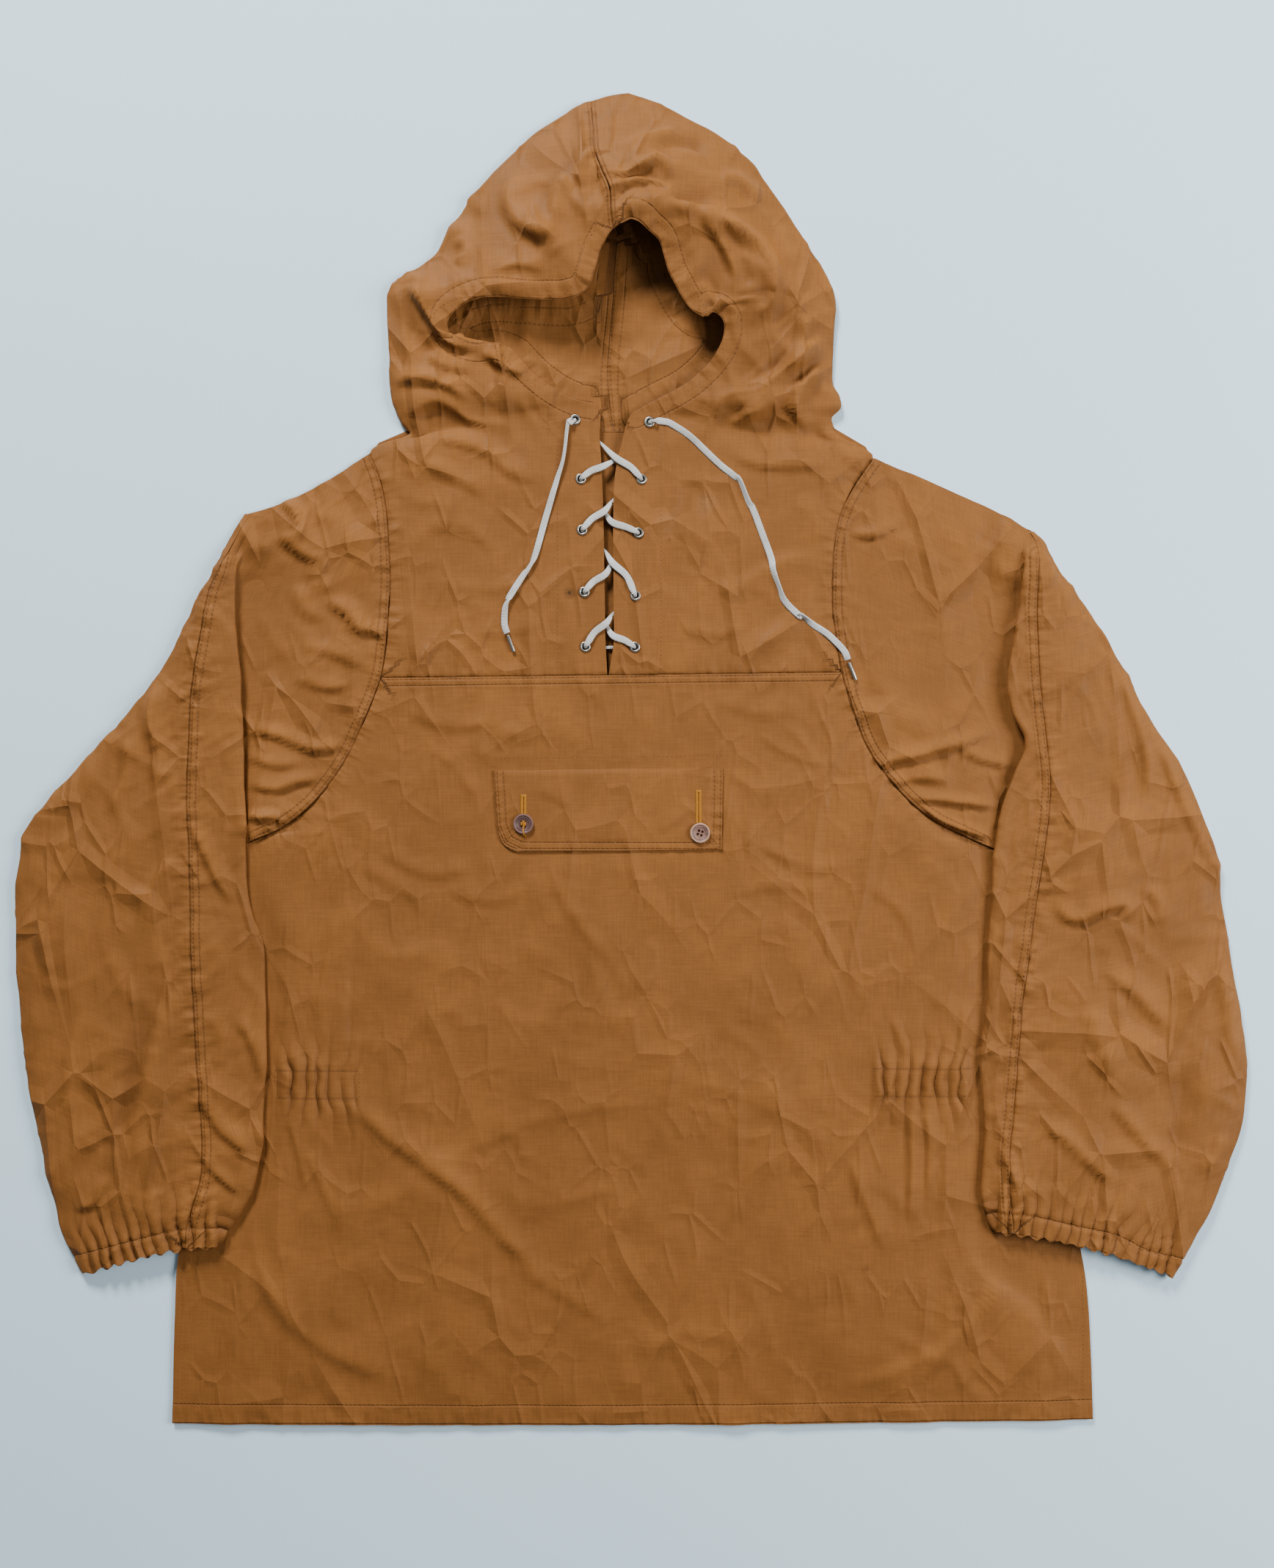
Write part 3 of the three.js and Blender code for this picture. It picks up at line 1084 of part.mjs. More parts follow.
// Buttons: a raised rim round a dished face with four holes.
for (const side of ["left", "right"]) {
  const [x, y] = BUTTON_PLACES[side];
  const seat = highestRound([flap], x, y, BUTTON_RADIUS) + 0.35;
  const ring = [
    [0, 0],
    [BUTTON_RADIUS - 0.6, 0],
    [BUTTON_RADIUS, 0.8],
    [BUTTON_RADIUS, BUTTON_HEIGHT - 0.6],
    [BUTTON_RADIUS - 0.7, BUTTON_HEIGHT],
    [BUTTON_RADIUS - 2.2, BUTTON_HEIGHT - 0.3],
    [BUTTON_RADIUS - 2.9, BUTTON_HEIGHT - 0.9],
    [0, BUTTON_HEIGHT - 0.9],
  ];
  const button = turned(`button_${side}`, ring, BUTTON_SIDES, x, y, seat, BUTTON_COLOUR);
  const holes = [[-1, -1], [1, -1], [1, 1], [-1, 1]].map(([a, b]) => [
    x + a * 1.4, y + b * 1.4, BUTTON_HOLE, seat - 1, seat + BUTTON_HEIGHT + 1, 8,
  ]);
  trims.push(drilled(button, holes));
}

// All of it, moved so that the middle of its box is over the origin.
const group = new THREE.Group();
group.name = "anorak_pullover";
group.add(...cloth, ...trims, ...cords);
const box = new THREE.Box3().setFromObject(group);
const middle = box.getCenter(point(0, 0, 0));
for (const mesh of group.children) {
  mesh.geometry.translate(-middle.x, -middle.y, -box.min.z);
}

export default group;
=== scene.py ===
"""Anorak pullover in tightly woven cotton, laid flat on a pale floor and seen from above.

It is laid out as a Blender add-on and is run as a script. The tables and the functions that shape the pieces work
in mm, in the photo's plane (x to the right, y up). What Blender and the frame get is in metres.
"""
import math

import bmesh
import bpy
import numpy as np
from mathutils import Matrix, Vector
from mathutils.bvhtree import BVHTree


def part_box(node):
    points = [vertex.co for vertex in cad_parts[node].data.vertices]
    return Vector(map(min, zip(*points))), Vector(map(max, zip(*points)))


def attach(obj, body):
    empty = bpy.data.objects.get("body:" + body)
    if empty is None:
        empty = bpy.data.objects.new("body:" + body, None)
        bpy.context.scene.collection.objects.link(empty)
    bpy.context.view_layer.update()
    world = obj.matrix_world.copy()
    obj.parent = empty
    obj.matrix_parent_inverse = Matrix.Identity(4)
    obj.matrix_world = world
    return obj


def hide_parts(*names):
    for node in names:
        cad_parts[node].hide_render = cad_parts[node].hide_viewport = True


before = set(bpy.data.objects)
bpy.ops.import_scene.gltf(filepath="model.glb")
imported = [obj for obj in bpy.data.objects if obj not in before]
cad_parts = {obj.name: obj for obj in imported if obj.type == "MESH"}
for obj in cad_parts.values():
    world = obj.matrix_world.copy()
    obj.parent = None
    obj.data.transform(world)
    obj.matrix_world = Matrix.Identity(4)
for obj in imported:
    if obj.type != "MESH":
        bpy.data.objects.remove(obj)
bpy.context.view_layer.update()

bl_info = {
    "name": "Anorak pullover",
    "version": (1, 0, 0),
    "blender": (4, 5, 0),
    "location": "View3D > Sidebar > Anorak",
    "description": "Makes the cloth, stitching, buttons and laces of an anorak pullover laid flat",
    "category": "Object",
}

# ---- the garment's measured lines, in mm, as in the part's source

SIDES = ("left", "right")

# The armhole seams, from the armpit over the end of the chest seam (row 8) to the shoulder.
# leftX, leftY, rightX, rightY, z
ARMHOLE = [
    (-313, -69, 298, -76, 1.9), (-283, -61, 270, -67, 3.0), (-257, -50, 245, -56, 3.6), (-238, -36, 221, -44, 4.2),
    (-222, -18, 203, -29, 4.4), (-208, 3, 188, -12, 4.4), (-197, 27, 174, 8, 4.4), (-189, 46, 163, 36, 4.4),
    (-184, 60, 155, 64, 4.4), (-180, 85, 151, 86, 4.4), (-178, 110, 148, 110, 4.4), (-177, 135, 148, 135, 4.4),
    (-178, 160, 149, 158, 4.4), (-180, 185, 154, 181, 4.0), (-185, 207, 165, 202, 3.2), (-192, 225, 178, 221, 1.9),
]
CHEST_ROW = 8

# The side seams from the hem up, and where the front is free of the sleeves.
# leftX, leftY, rightX, rightY, coverLeft, coverRight
SIDE = [
    (-337, -487, 339, -484, -323, 325), (-336.5, -464, 338.5, -462, -322, 324),
    (-336, -435, 337.5, -434, -318, 318), (-335, -404, 336, -404, -306, 300), (-333.5, -371, 332, -369, -292, 260),
    (-328, -340, 324, -338, -285, 254), (-315, -309, 306, -308, -272, 252), (-299, -282, 284, -281, -266, 252),
    (-287, -259, 270, -257, -264, 252), (-284, -237, 266, -235, -262, 250), (-286, -215, 269, -213, -262, 250),
    (-293, -190, 277, -190, -262, 252), (-300, -160, 286, -162, -262, 254), (-306, -130, 292, -132, -264, 256),
    (-310, -99, 296, -103, -274, 258),
]

NECK_ROW = 8
# inX, inY, inZ, outX, outY, backX, backY
HOOD_LEFT = [
    (-17.5, 62, 5.0, -184, 60, 0, 0), (-18.8, 86, 5.5, -180, 85, 0, 0), (-19.2, 110, 5.5, -178, 110, 0, 0),
    (-19.6, 135, 5.5, -177, 135, 0, 0), (-20, 160, 5.5, -178, 160, 0, 0), (-20.5, 185, 5.5, -180, 185, 0, 0),
    (-21.5, 210, 5.5, -185, 207, 0, 0), (-23, 234, 5.5, -192, 225, 0, 0), (-26, 261, 5.8, -162, 242, -12, 241),
    (-40, 264, 6.4, -168, 251, -14, 249), (-53, 270, 7.2, -174, 263, -15.5, 260),
    (-65, 278, 8.0, -176, 275, -16.5, 270), (-76, 288, 8.8, -175.5, 288, -17, 281),
    (-87, 299, 9.6, -177, 300, -17, 292), (-100, 303.5, 10, -178, 312, -16, 303),
    (-117, 302.5, 10.5, -178.5, 322, -15.5, 314), (-129, 308.5, 12, -178.5, 333, -14.5, 326),
    (-133, 317, 14.5, -178, 341, -13.5, 338), (-127, 326, 17.5, -174, 348, -12.5, 349),
    (-115, 332.5, 20, -164, 356, -12, 359), (-98, 335, 21.5, -152, 363, -11, 368),
    (-79, 333, 23, -142, 371, -10.5, 377), (-61, 332, 24, -134, 383, -10.5, 386),
    (-46, 332, 25, -126, 397, -11, 396), (-36, 335, 26, -116, 412, -12, 407), (-29.5, 342, 27, -103, 428, -14, 419),
    (-26.5, 350, 28, -88, 443, -16, 431), (-24, 359, 29, -72, 458, -18, 442), (-21.5, 367, 30, -58, 467, -20, 452),
    (-18.5, 372, 31, -48, 473, -22, 459), (-16, 376.5, 31.5, -38, 479.5, -24, 466),
    (-13, 380, 32, -29, 483, -26, 473),
]
HOOD_RIGHT = [
    (-16.5, 62, 5.0, 155, 64, 0, 0), (-12.8, 86, 5.5, 151, 86, 0, 0), (-12.8, 110, 5.5, 148, 110, 0, 0),
    (-13, 135, 5.5, 148, 135, 0, 0), (-13.2, 158, 5.5, 149, 158, 0, 0), (-13, 182, 5.5, 154, 181, 0, 0),
    (-12, 207, 5.5, 165, 202, 0, 0), (-7, 232, 5.5, 178, 221, 0, 0), (2, 255, 5.8, 148, 244, -12, 241),
    (11, 260, 6.4, 146.5, 251, -14, 249), (21, 265, 7.2, 153, 258, -15.5, 260),
    (32, 270.5, 8, 153, 266, -16.5, 270), (42, 276.5, 8.8, 148, 275, -17, 281), (51, 284, 10, 147.5, 287, -17, 292),
    (58, 291, 11.5, 148, 300, -16, 303), (64, 300, 13, 148.5, 312, -15.5, 314),
    (67.5, 310, 15, 149, 325, -14.5, 326), (67, 319, 16.5, 148.5, 336, -13.5, 338),
    (59, 325.5, 18, 144, 349, -12.5, 349), (51, 322, 19, 138, 362, -12, 359), (44, 325, 20.5, 130, 375, -11, 368),
    (37.5, 333, 22, 122, 387, -10.5, 377), (32, 342.5, 23.5, 113, 401, -10.5, 386),
    (27, 352, 25, 104, 414, -11, 396), (23.5, 363, 27, 95, 427, -12, 407), (20, 373, 29, 85, 440, -14, 419),
    (12.5, 379.5, 31, 73, 451.5, -16, 431), (5, 386, 32.5, 58, 461, -18, 442), (-0.5, 387.5, 33, 42, 470, -20, 452),
    (-5, 385.5, 32.8, 22, 480.5, -22, 459), (-9, 383, 32.4, -2, 488, -24, 466), (-13, 380, 32, -29, 483, -26, 473),
]

# The sleeves from the shoulder to the cuff. armhole is a row of ARMHOLE, turn is in degrees.
# armhole, foldX, foldY, turn, depth, overX, overY, outX, outY, underX, underY, sag
SLEEVE_LEFT = [
    (15, -270, 186, 0, 2, -283, 180, -283, 180, -192, 225, -5),
    (14, -278, 170, 0, 2, -292, 165, -292, 165, -185, 207, -3),
    (13, -286, 154, 0, 2, -300, 150, -300, 150, -180, 185, 0),
    (12, -289, 142, 70, 2, -302, 139, -306, 138, -178, 160, 0),
    (11, -290, 125, 180, 6, -308, 123, -316, 121, -177, 135, 0),
    (10, -290, 108, 180, 10, -311, 107, -323, 105, -178, 110, 0),
    (9, -289, 84, 180, 13, -315, 84, -335, 80, -180, 85, 0),
    (8, -286, 60, 180, 16, -319, 60, -348, 59, -184, 60, 0),
    (7, -286, 45, 180, 19, -321, 44, -361, 43, -189, 46, 0),
    (6, -285, 25, 180, 22, -322, 24, -377, 23, -197, 27, 0), (5, -284, 2, 180, 25, -323, 2, -397, 1, -208, 3, 0),
    (4, -284, -19, 180, 27, -324, -20, -417, -20, -222, -18, 0),
    (3, -283, -37, 180, 28, -324, -38, -434, -39, -238, -36, 0),
    (2, -283, -54, 180, 29, -323, -55, -444.5, -53, -257, -50, 0),
    (1, -282.5, -73, 180, 30.5, -322.5, -75, -448, -75, -313, -69, 0),
    (0, -281.5, -95, 180, 0, -322, -97, -450.5, -98, -318, -95, 0),
    (0, -277, -115, 180, 0, -321.5, -120, -451, -122, -319, -118, 0),
    (0, -270, -134, 180, 0, -321, -143, -451, -148, -317, -140, 0),
    (0, -268.5, -160, 180, 0, -320, -168, -449, -172, -312, -165, 0),
    (0, -268, -188, 180, 0, -318.5, -192, -446.5, -198, -304, -190, 0),
    (0, -268, -213, 180, 0, -317.5, -216, -443, -223, -297, -215, 0),
    (0, -268.5, -237, 180, 0, -315.5, -240, -439.5, -248, -295, -240, 0),
    (0, -270, -262, 180, 0, -314, -265, -435, -272, -301, -265, 0),
    (0, -272, -286, 180, 0, -313, -289, -430, -295, -315, -290, 0),
    (0, -277, -309, 180, 0, -315, -310, -424.5, -317, -330, -312, 0),
    (0, -285, -328, 180, 0, -320, -327, -420, -335, -341, -332, 0),
    (0, -294, -343, 180, 0, -324, -342, -414, -354, -347, -347, 1),
    (0, -303, -357, 180, 0, -325, -359, -401, -377, -350, -362, 3),
]
SLEEVE_RIGHT = [
    (15, 288, 170, 0, 2, 295, 166, 295, 166, 178, 221, 2), (14, 291, 161, 0, 2, 299, 160, 301, 160, 165, 202, 1),
    (13, 290.5, 150, 60, 2, 297.5, 149, 306, 150, 154, 181, 0),
    (12, 289, 136, 120, 3, 297, 136, 314, 136, 149, 158, 0),
    (11, 286.5, 121, 180, 6, 296.5, 121, 326, 121, 148, 135, 0),
    (10, 283.5, 104, 180, 10, 296, 104, 338, 103, 148, 110, 0),
    (9, 279.5, 83, 180, 13, 297, 83, 352, 82, 151, 86, 0), (8, 276, 61, 180, 16, 298, 62, 363, 61, 155, 64, 0),
    (7, 279, 38, 180, 19, 300.5, 38, 375, 36, 163, 36, 0), (6, 289, 12, 180, 20, 303.5, 10, 392, 11, 174, 8, 0),
    (5, 281, -10, 180, 23, 305.5, -10, 405, -8, 188, -12, 0),
    (4, 274, -28, 180, 25, 305.5, -30, 414, -28, 203, -29, 0),
    (3, 270, -44, 180, 27, 304, -47, 421, -46, 221, -44, 0),
    (2, 267.5, -60, 180, 29, 302, -62, 427, -62, 245, -56, 0),
    (1, 265.5, -80, 180, 32.5, 299.5, -81, 431, -83, 298, -76, 0),
    (0, 265, -99, 180, 0, 296.5, -101, 433, -104, 304, -100, 0),
    (0, 263, -120, 180, 0, 293.5, -122, 437, -126, 304, -122, 0),
    (0, 261.5, -143, 180, 0, 290.5, -145, 440.5, -150, 302, -145, 0),
    (0, 261.5, -170, 180, 0, 287, -168, 444.5, -175, 297, -170, 0),
    (0, 258.5, -196, 180, 0, 285, -192, 448, -200, 288, -195, 0),
    (0, 255.5, -218, 180, 0, 283, -216, 451, -226, 281, -218, 0),
    (0, 257, -242, 180, 0, 281, -240, 450, -250, 278, -240, 0),
    (0, 259, -266, 180, 0, 279, -264, 446.5, -273, 287, -265, 0),
    (0, 258.5, -288, 180, 0, 276.5, -287, 439, -293, 303, -288, 0),
    (0, 257.5, -308, 180, 0, 276.5, -306, 431, -314, 320, -310, 0),
    (0, 258, -325, 180, 0, 277.5, -324, 421, -334, 334, -330, 1),
    (0, 261, -336, 180, 0, 278.5, -336, 410, -353, 340, -343, 3),
    (0, 267, -346, 180, 0, 279, -349, 395, -378, 342, -356, 6),
]

HOODS = {"left": HOOD_LEFT, "right": HOOD_RIGHT}
SLEEVES = {"left": SLEEVE_LEFT, "right": SLEEVE_RIGHT}

# The seam over the crown, from the brim to the top of the outline. x, y, z
CROWN = [
    (-13, 380, 32), (-14, 394, 33.5), (-15, 408, 33), (-21, 424, 30), (-26, 440, 25.5), (-27, 454, 19.5),
    (-28, 466, 13.5), (-28.8, 475, 8.5),
]

# Eyelets, from the chest seam up. leftX, leftY, rightX, rightY
EYELETS = [
    (-33.6, 82.7, 2.7, 82.5), (-34.4, 122.8, 3.1, 120.2), (-36, 168.2, 5.3, 166.1), (-37, 205.6, 7.6, 205.4),
    (-41, 249, 13.4, 247.2),
]

# The largest folds, as in the solids. x0, y0, x1, y1, width, height
FOLDS = [
    (-205, -255, -95, -345, 22, 1.8), (-150, -330, -95, -430, 26, 1.2), (-235, -90, -248, -205, 16, -1.2),
    (206, -255, 200, -350, 14, 1.6), (232, -80, 238, -205, 16, 1.5), (140, -250, 185, -320, 22, 1.3),
    (-60, -95, 10, -160, 26, 0.9), (-170, -160, -60, -240, 30, 0.9), (30, -230, 130, -280, 30, 0.9),
    (-60, -300, 60, -400, 34, 1.1), (60, -330, -40, -440, 30, -0.9), (-260, -400, -180, -450, 28, 1.2),
    (200, -420, 290, -380, 30, 1.1), (-150, 232, -70, 205, 14, 1.6), (-125, 190, -105, 130, 20, 1.0),
    (-165, 180, -160, 80, 12, 1.0), (70, 215, 160, 214, 13, 1.8), (60, 150, 120, 135, 22, 0.9),
    (60, 100, 110, 90, 20, 0.8),
]
HOOD_FOLDS = [
    (-15, 397, 24, 398, 9, 4.0), (-20, 413, 22, 414, 8, -5.0), (-5, 424, 24, 422, 8, 4.0),
    (30, 400, 62, 388, 10, 4.5), (62, 388, 97, 350, 10, 4.5), (97, 350, 88, 330, 9, 4.0),
    (60, 345, 58, 332, 7, -4.0), (120, 340, 128, 300, 12, 3.0), (95, 300, 140, 292, 12, 2.5),
    (90, 255, 125, 278, 12, 2.5), (110, 236, 160, 228, 10, 2.5), (-60, 380, -40, 350, 14, 4.0),
    (-88, 425, -62, 378, 12, 3.0), (-160, 348, -128, 318, 10, 3.5), (-170, 280, -120, 285, 14, 2.5),
    (-165, 262, -125, 268, 12, 2.0), (-150, 300, -100, 285, 12, -2.0), (-60, 450, -35, 440, 14, 2.5),
    (40, 445, 85, 425, 12, -2.5),
]
SLEEVE_FOLDS = [
    (-245, 165, -195, 95, 10, 2.0), (-262, 182, -215, 148, 10, 1.6), (-350, 40, -372, -60, 12, 2.5),
    (-345, 10, -350, -60, 12, -2.0), (-375, -150, -372, -260, 16, -2.6), (-345, -170, -365, -250, 16, 2.0),
    (-395, -240, -415, -310, 16, -2.0), (-300, -60, -290, -110, 10, 1.6), (-400, -130, -440, -150, 20, 1.5),
    (-350, -285, -330, -330, 12, 1.5), (200, 185, 165, 165, 12, 1.6), (262, 175, 250, 110, 12, -1.5),
    (375, 10, 370, -60, 12, -2.5), (345, -55, 340, -100, 12, 2.0), (310, -105, 345, -115, 10, -2.0),
    (345, -150, 385, -200, 14, -2.2), (330, -160, 350, -250, 18, 1.8), (405, -200, 395, -290, 16, -2.0),
    (310, -270, 360, -300, 12, 1.8), (380, -330, 425, -285, 12, 1.6),
]

# ---- sizes of the cloth, in mm

MM = 0.001
CENTRE_SHIFT = -0.15  # the solids were moved by this much along Y to centre their box
CLOTH_MID = 0.5  # middle of a layer that lies on the floor
EDGE_MID = 1.9
COVERED_MID = 3.0
BODY_MID = 5.0
PLEAT_RADIUS = 0.8
SLEEVE_TURN = 1.5
OUTER_TURN = 2.6
HOOD_TURN = 2.4
SLEEVE_LOFT = 3.5
HEM_SAG = 2.5
SEAM_GAP = 0.12  # the two cloth edges nearly touch at a seam
OUTER_SKIN = 0.45  # the cloth's face lies this far out of the middle surface
CLOTH_THICK = 0.7
FLOOR_CLEAR = 0.03  # nothing of the cloth goes lower than this over the floor
FULL_RELIEF = 2.6  # relief of this size gets the whole painted highlight of a ridge or painted shade of a hollow in the material
SEAM_ROWS = (2.0, 6.2)  # how far a seam's two stitch rows run from it
SEAM_BAND = 7
HEM_ROW = 14
FACING = {"left": -54, "right": 22}  # x of the stitch rows of the slit's facing
FLAP = {"left": -100.6, "right": 67.4, "top": -8.0, "bottom": -67.5, "round": 17.0}


def lerp(a, b, t):
    return a + (b - a) * t


def smooth(t):
    t = np.clip(t, 0.0, 1.0)
    return t * t * (3 - 2 * t)


def dip(away, at, width):
    """1 where a distance has one value, falling off to both sides within a width."""
    return np.exp(-(((away - at) / width) ** 2))


def run_lengths(points):
    """The distance along a line at each of its points."""
    return np.concatenate([[0], np.cumsum(np.linalg.norm(np.diff(points, axis=0), axis=1))])


def fold_height(rows, x, y):
    """The height in mm that soft folds add at places."""
    height = np.zeros(x.shape)
    for x0, y0, x1, y1, width, rise in rows:
        ax, ay = x1 - x0, y1 - y0
        length = math.hypot(ax, ay)
        t = ((x - x0) * ax + (y - y0) * ay) / length**2
        beyond = np.maximum(0, np.maximum(-t, t - 1)) * length
        t = np.clip(t, 0, 1)
        aside = np.hypot(x - x0 - ax * t, y - y0 - ay * t)
        height += rise * np.exp(-2 * (aside / (width + beyond * 0.5)) ** 2)
    return height


def fold_at(rows, x, y):
    """The height of soft folds at one place."""
    return float(fold_height(rows, np.array([x]), np.array([y]))[0])


def along_line(x, y, line):
    """Distance to a line of points in plan, distance along it, and the side (+1 is its left)."""
    best = np.full(x.shape, 1e9)
    along = np.zeros(x.shape)
    side = np.ones(x.shape)
    start = 0.0
    for (x0, y0), (x1, y1) in zip(line[:-1], line[1:]):
        ax, ay = x1 - x0, y1 - y0
        length = max(1e-6, math.hypot(ax, ay))
        t = np.clip(((x - x0) * ax + (y - y0) * ay) / length**2, 0, 1)
        away = np.hypot(x - x0 - ax * t, y - y0 - ay * t)
        nearer = away < best
        best = np.where(nearer, away, best)
        along = np.where(nearer, start + t * length, along)
        side = np.where(nearer, np.sign(ax * (y - y0) - ay * (x - x0)), side)
        start += length
    return best, along, side


def shifted(line, distance):
    """A seam line moved to its left in plan."""
    line = np.asarray(line, dtype=float)
    step = line[1:, :2] - line[:-1, :2]
    step /= np.linalg.norm(step, axis=1)[:, None]
    first = np.vstack([step[:1], step])
    second = np.vstack([step, step[-1:]])
    reach = distance / (1 + (first * second).sum(axis=1))
    both = first + second
    moved = line.copy()
    moved[:, 0] -= both[:, 1] * reach
    moved[:, 1] += both[:, 0] * reach
    return moved


LEFT_HOLE = [(a, b, z) for a, b, _, _, z in ARMHOLE]
RIGHT_HOLE = [(a, b, z) for _, _, a, b, z in ARMHOLE]
BODY_SIDE = {"left": shifted(LEFT_HOLE, -SEAM_GAP / 2), "right": shifted(RIGHT_HOLE, SEAM_GAP / 2)}
SLEEVE_SIDE = {"left": shifted(LEFT_HOLE, SEAM_GAP / 2), "right": shifted(RIGHT_HOLE, -SEAM_GAP / 2)}

CALM_BOXES = [
    (FLAP["left"] - 6, FLAP["right"] + 6, FLAP["bottom"] - 6, FLAP["top"] + 10), (-52, 28, 55, 262),
]


def front_folds(x, y):
    """The height of the front's soft folds at one place. Round the flap and the slit the cloth stays calm."""
    x, y = np.array([x]), np.array([y])
    calm = np.ones(x.shape)
    for x0, x1, y0, y1 in CALM_BOXES:
        away = np.maximum(np.maximum(x0 - x, x - x1), np.maximum(y0 - y, y - y1))
        calm *= smooth(away / 22)
    return float((fold_height(FOLDS, x, y) * calm)[0])


# ---- from rows of middle points to fine cloth


def refine(points, counts, axis):
    """Points put between the points of a grid along one axis, on smooth curves through them.

    counts gives for each cell its number of steps, or a list of places from 0 to 1."""
    p = np.moveaxis(points, axis, 0)
    h = np.linalg.norm(np.diff(p, axis=0), axis=-1, keepdims=True) + 1e-9
    slope = np.diff(p, axis=0) / h
    m = np.empty_like(p)
    m[1:-1] = (slope[:-1] * h[1:] + slope[1:] * h[:-1]) / (h[1:] + h[:-1])
    m[0], m[-1] = slope[0], slope[-1]
    out = []
    for k, count in enumerate(counts):
        places = np.arange(count) / count if isinstance(count, int) else np.asarray(count[:-1])
        for t in places:
            a = 2 * t**3 - 3 * t**2 + 1
            b = t**3 - 2 * t**2 + t
            c = -2 * t**3 + 3 * t**2
            d = t**3 - t**2
            out.append(a * p[k] + b * h[k] * m[k] + c * p[k + 1] + d * h[k] * m[k + 1])
    out.append(p[-1])
    return np.moveaxis(np.array(out), 0, axis)


def towards(count, end):
    """Places from 0 to 1 that are close together near an end (0 or 1) or both ends (2)."""
    t = np.linspace(0, 1, count + 1)
    if end == 0:
        return list(t**1.9)
    if end == 1:
        return list(1 - (1 - t) ** 1.9)
    return list((1 - np.cos(math.pi * t)) / 2)


class Cloth:
    """A sheet of cloth: grids of points that share edges, with their faces and the run along the thread."""

    def __init__(self):
        self.points = np.zeros((0, 3))
        self.thread = np.zeros((0, 2))
        self.faces = []
        self.relief = None
        self.drawn = None

    def add(self, grid, thread, share=None):
        """Adds a grid. share gives the point numbers that its first column already has."""
        rows, columns = grid.shape[:2]
        start = len(self.points)
        number = np.arange(rows * columns).reshape(rows, columns) + start
        if share is not None:
            number = np.empty((rows, columns), dtype=int)
            number[:, 0] = share
            number[:, 1:] = np.arange(rows * (columns - 1)).reshape(rows, columns - 1) + start
            grid, thread = grid[:, 1:], thread[:, 1:]
        self.points = np.vstack([self.points, grid.reshape(-1, 3)])
        self.thread = np.vstack([self.thread, thread.reshape(-1, 2)])
        a, b = number[:-1, :-1].ravel(), number[:-1, 1:].ravel()
        c, d = number[1:, 1:].ravel(), number[1:, :-1].ravel()
        self.faces.append(np.stack([a, b, c, d], axis=1))
        return number

    def quads(self):
        return np.vstack(self.faces)

    def normals(self):
        quads = self.quads()
        p = self.points
        across = np.cross(p[quads[:, 2]] - p[quads[:, 0]], p[quads[:, 3]] - p[quads[:, 1]])
        normal = np.zeros_like(p)
        for k in range(4):
            np.add.at(normal, quads[:, k], across)
        return normal / (np.linalg.norm(normal, axis=1)[:, None] + 1e-12)

    def raise_by(self, height, sign=1):
        """Moves the points outwards by a height, which also tells the material where to paint highlight on ridges
        and shade in hollows.
        """
        self.points = self.points + self.normals() * height[:, None] * sign
        self.relief = height


def mesh_object(name, points_mm, faces, thread=None):
    """A mesh object at the origin from points in mm, with the thread's run as its UV map."""
    mesh = bpy.data.meshes.new(name)
    points = np.asarray(points_mm, dtype=float).copy()
    points[:, 1] += CENTRE_SHIFT
    mesh.from_pydata((points * MM).tolist(), [], [list(map(int, f)) for f in faces])
    if thread is not None:
        layer = mesh.uv_layers.new(name="Thread")
        corner = np.empty(len(mesh.loops), dtype=np.int32)
        mesh.loops.foreach_get("vertex_index", corner)
        layer.data.foreach_set("uv", (np.asarray(thread)[corner] * MM).ravel())
    mesh.polygons.foreach_set("use_smooth", [True] * len(mesh.polygons))
    mesh.update()
    piece = bpy.data.objects.new(name, mesh)
    bpy.context.scene.collection.objects.link(piece)
    return piece


def seam_places(x, y, seams):
    """For each place: how far the nearest seam or edge is, how far along it, and where its outer stitch row runs."""
    found = np.zeros((len(x), 3))
    found[:, 0] = 1000.0
    for line, row in seams:
        away, along, _ = along_line(x, y, line)
        near = away < found[:, 0]
        found[near] = np.stack([away, along, np.full(len(x), row)], axis=1)[near]
    return found * MM


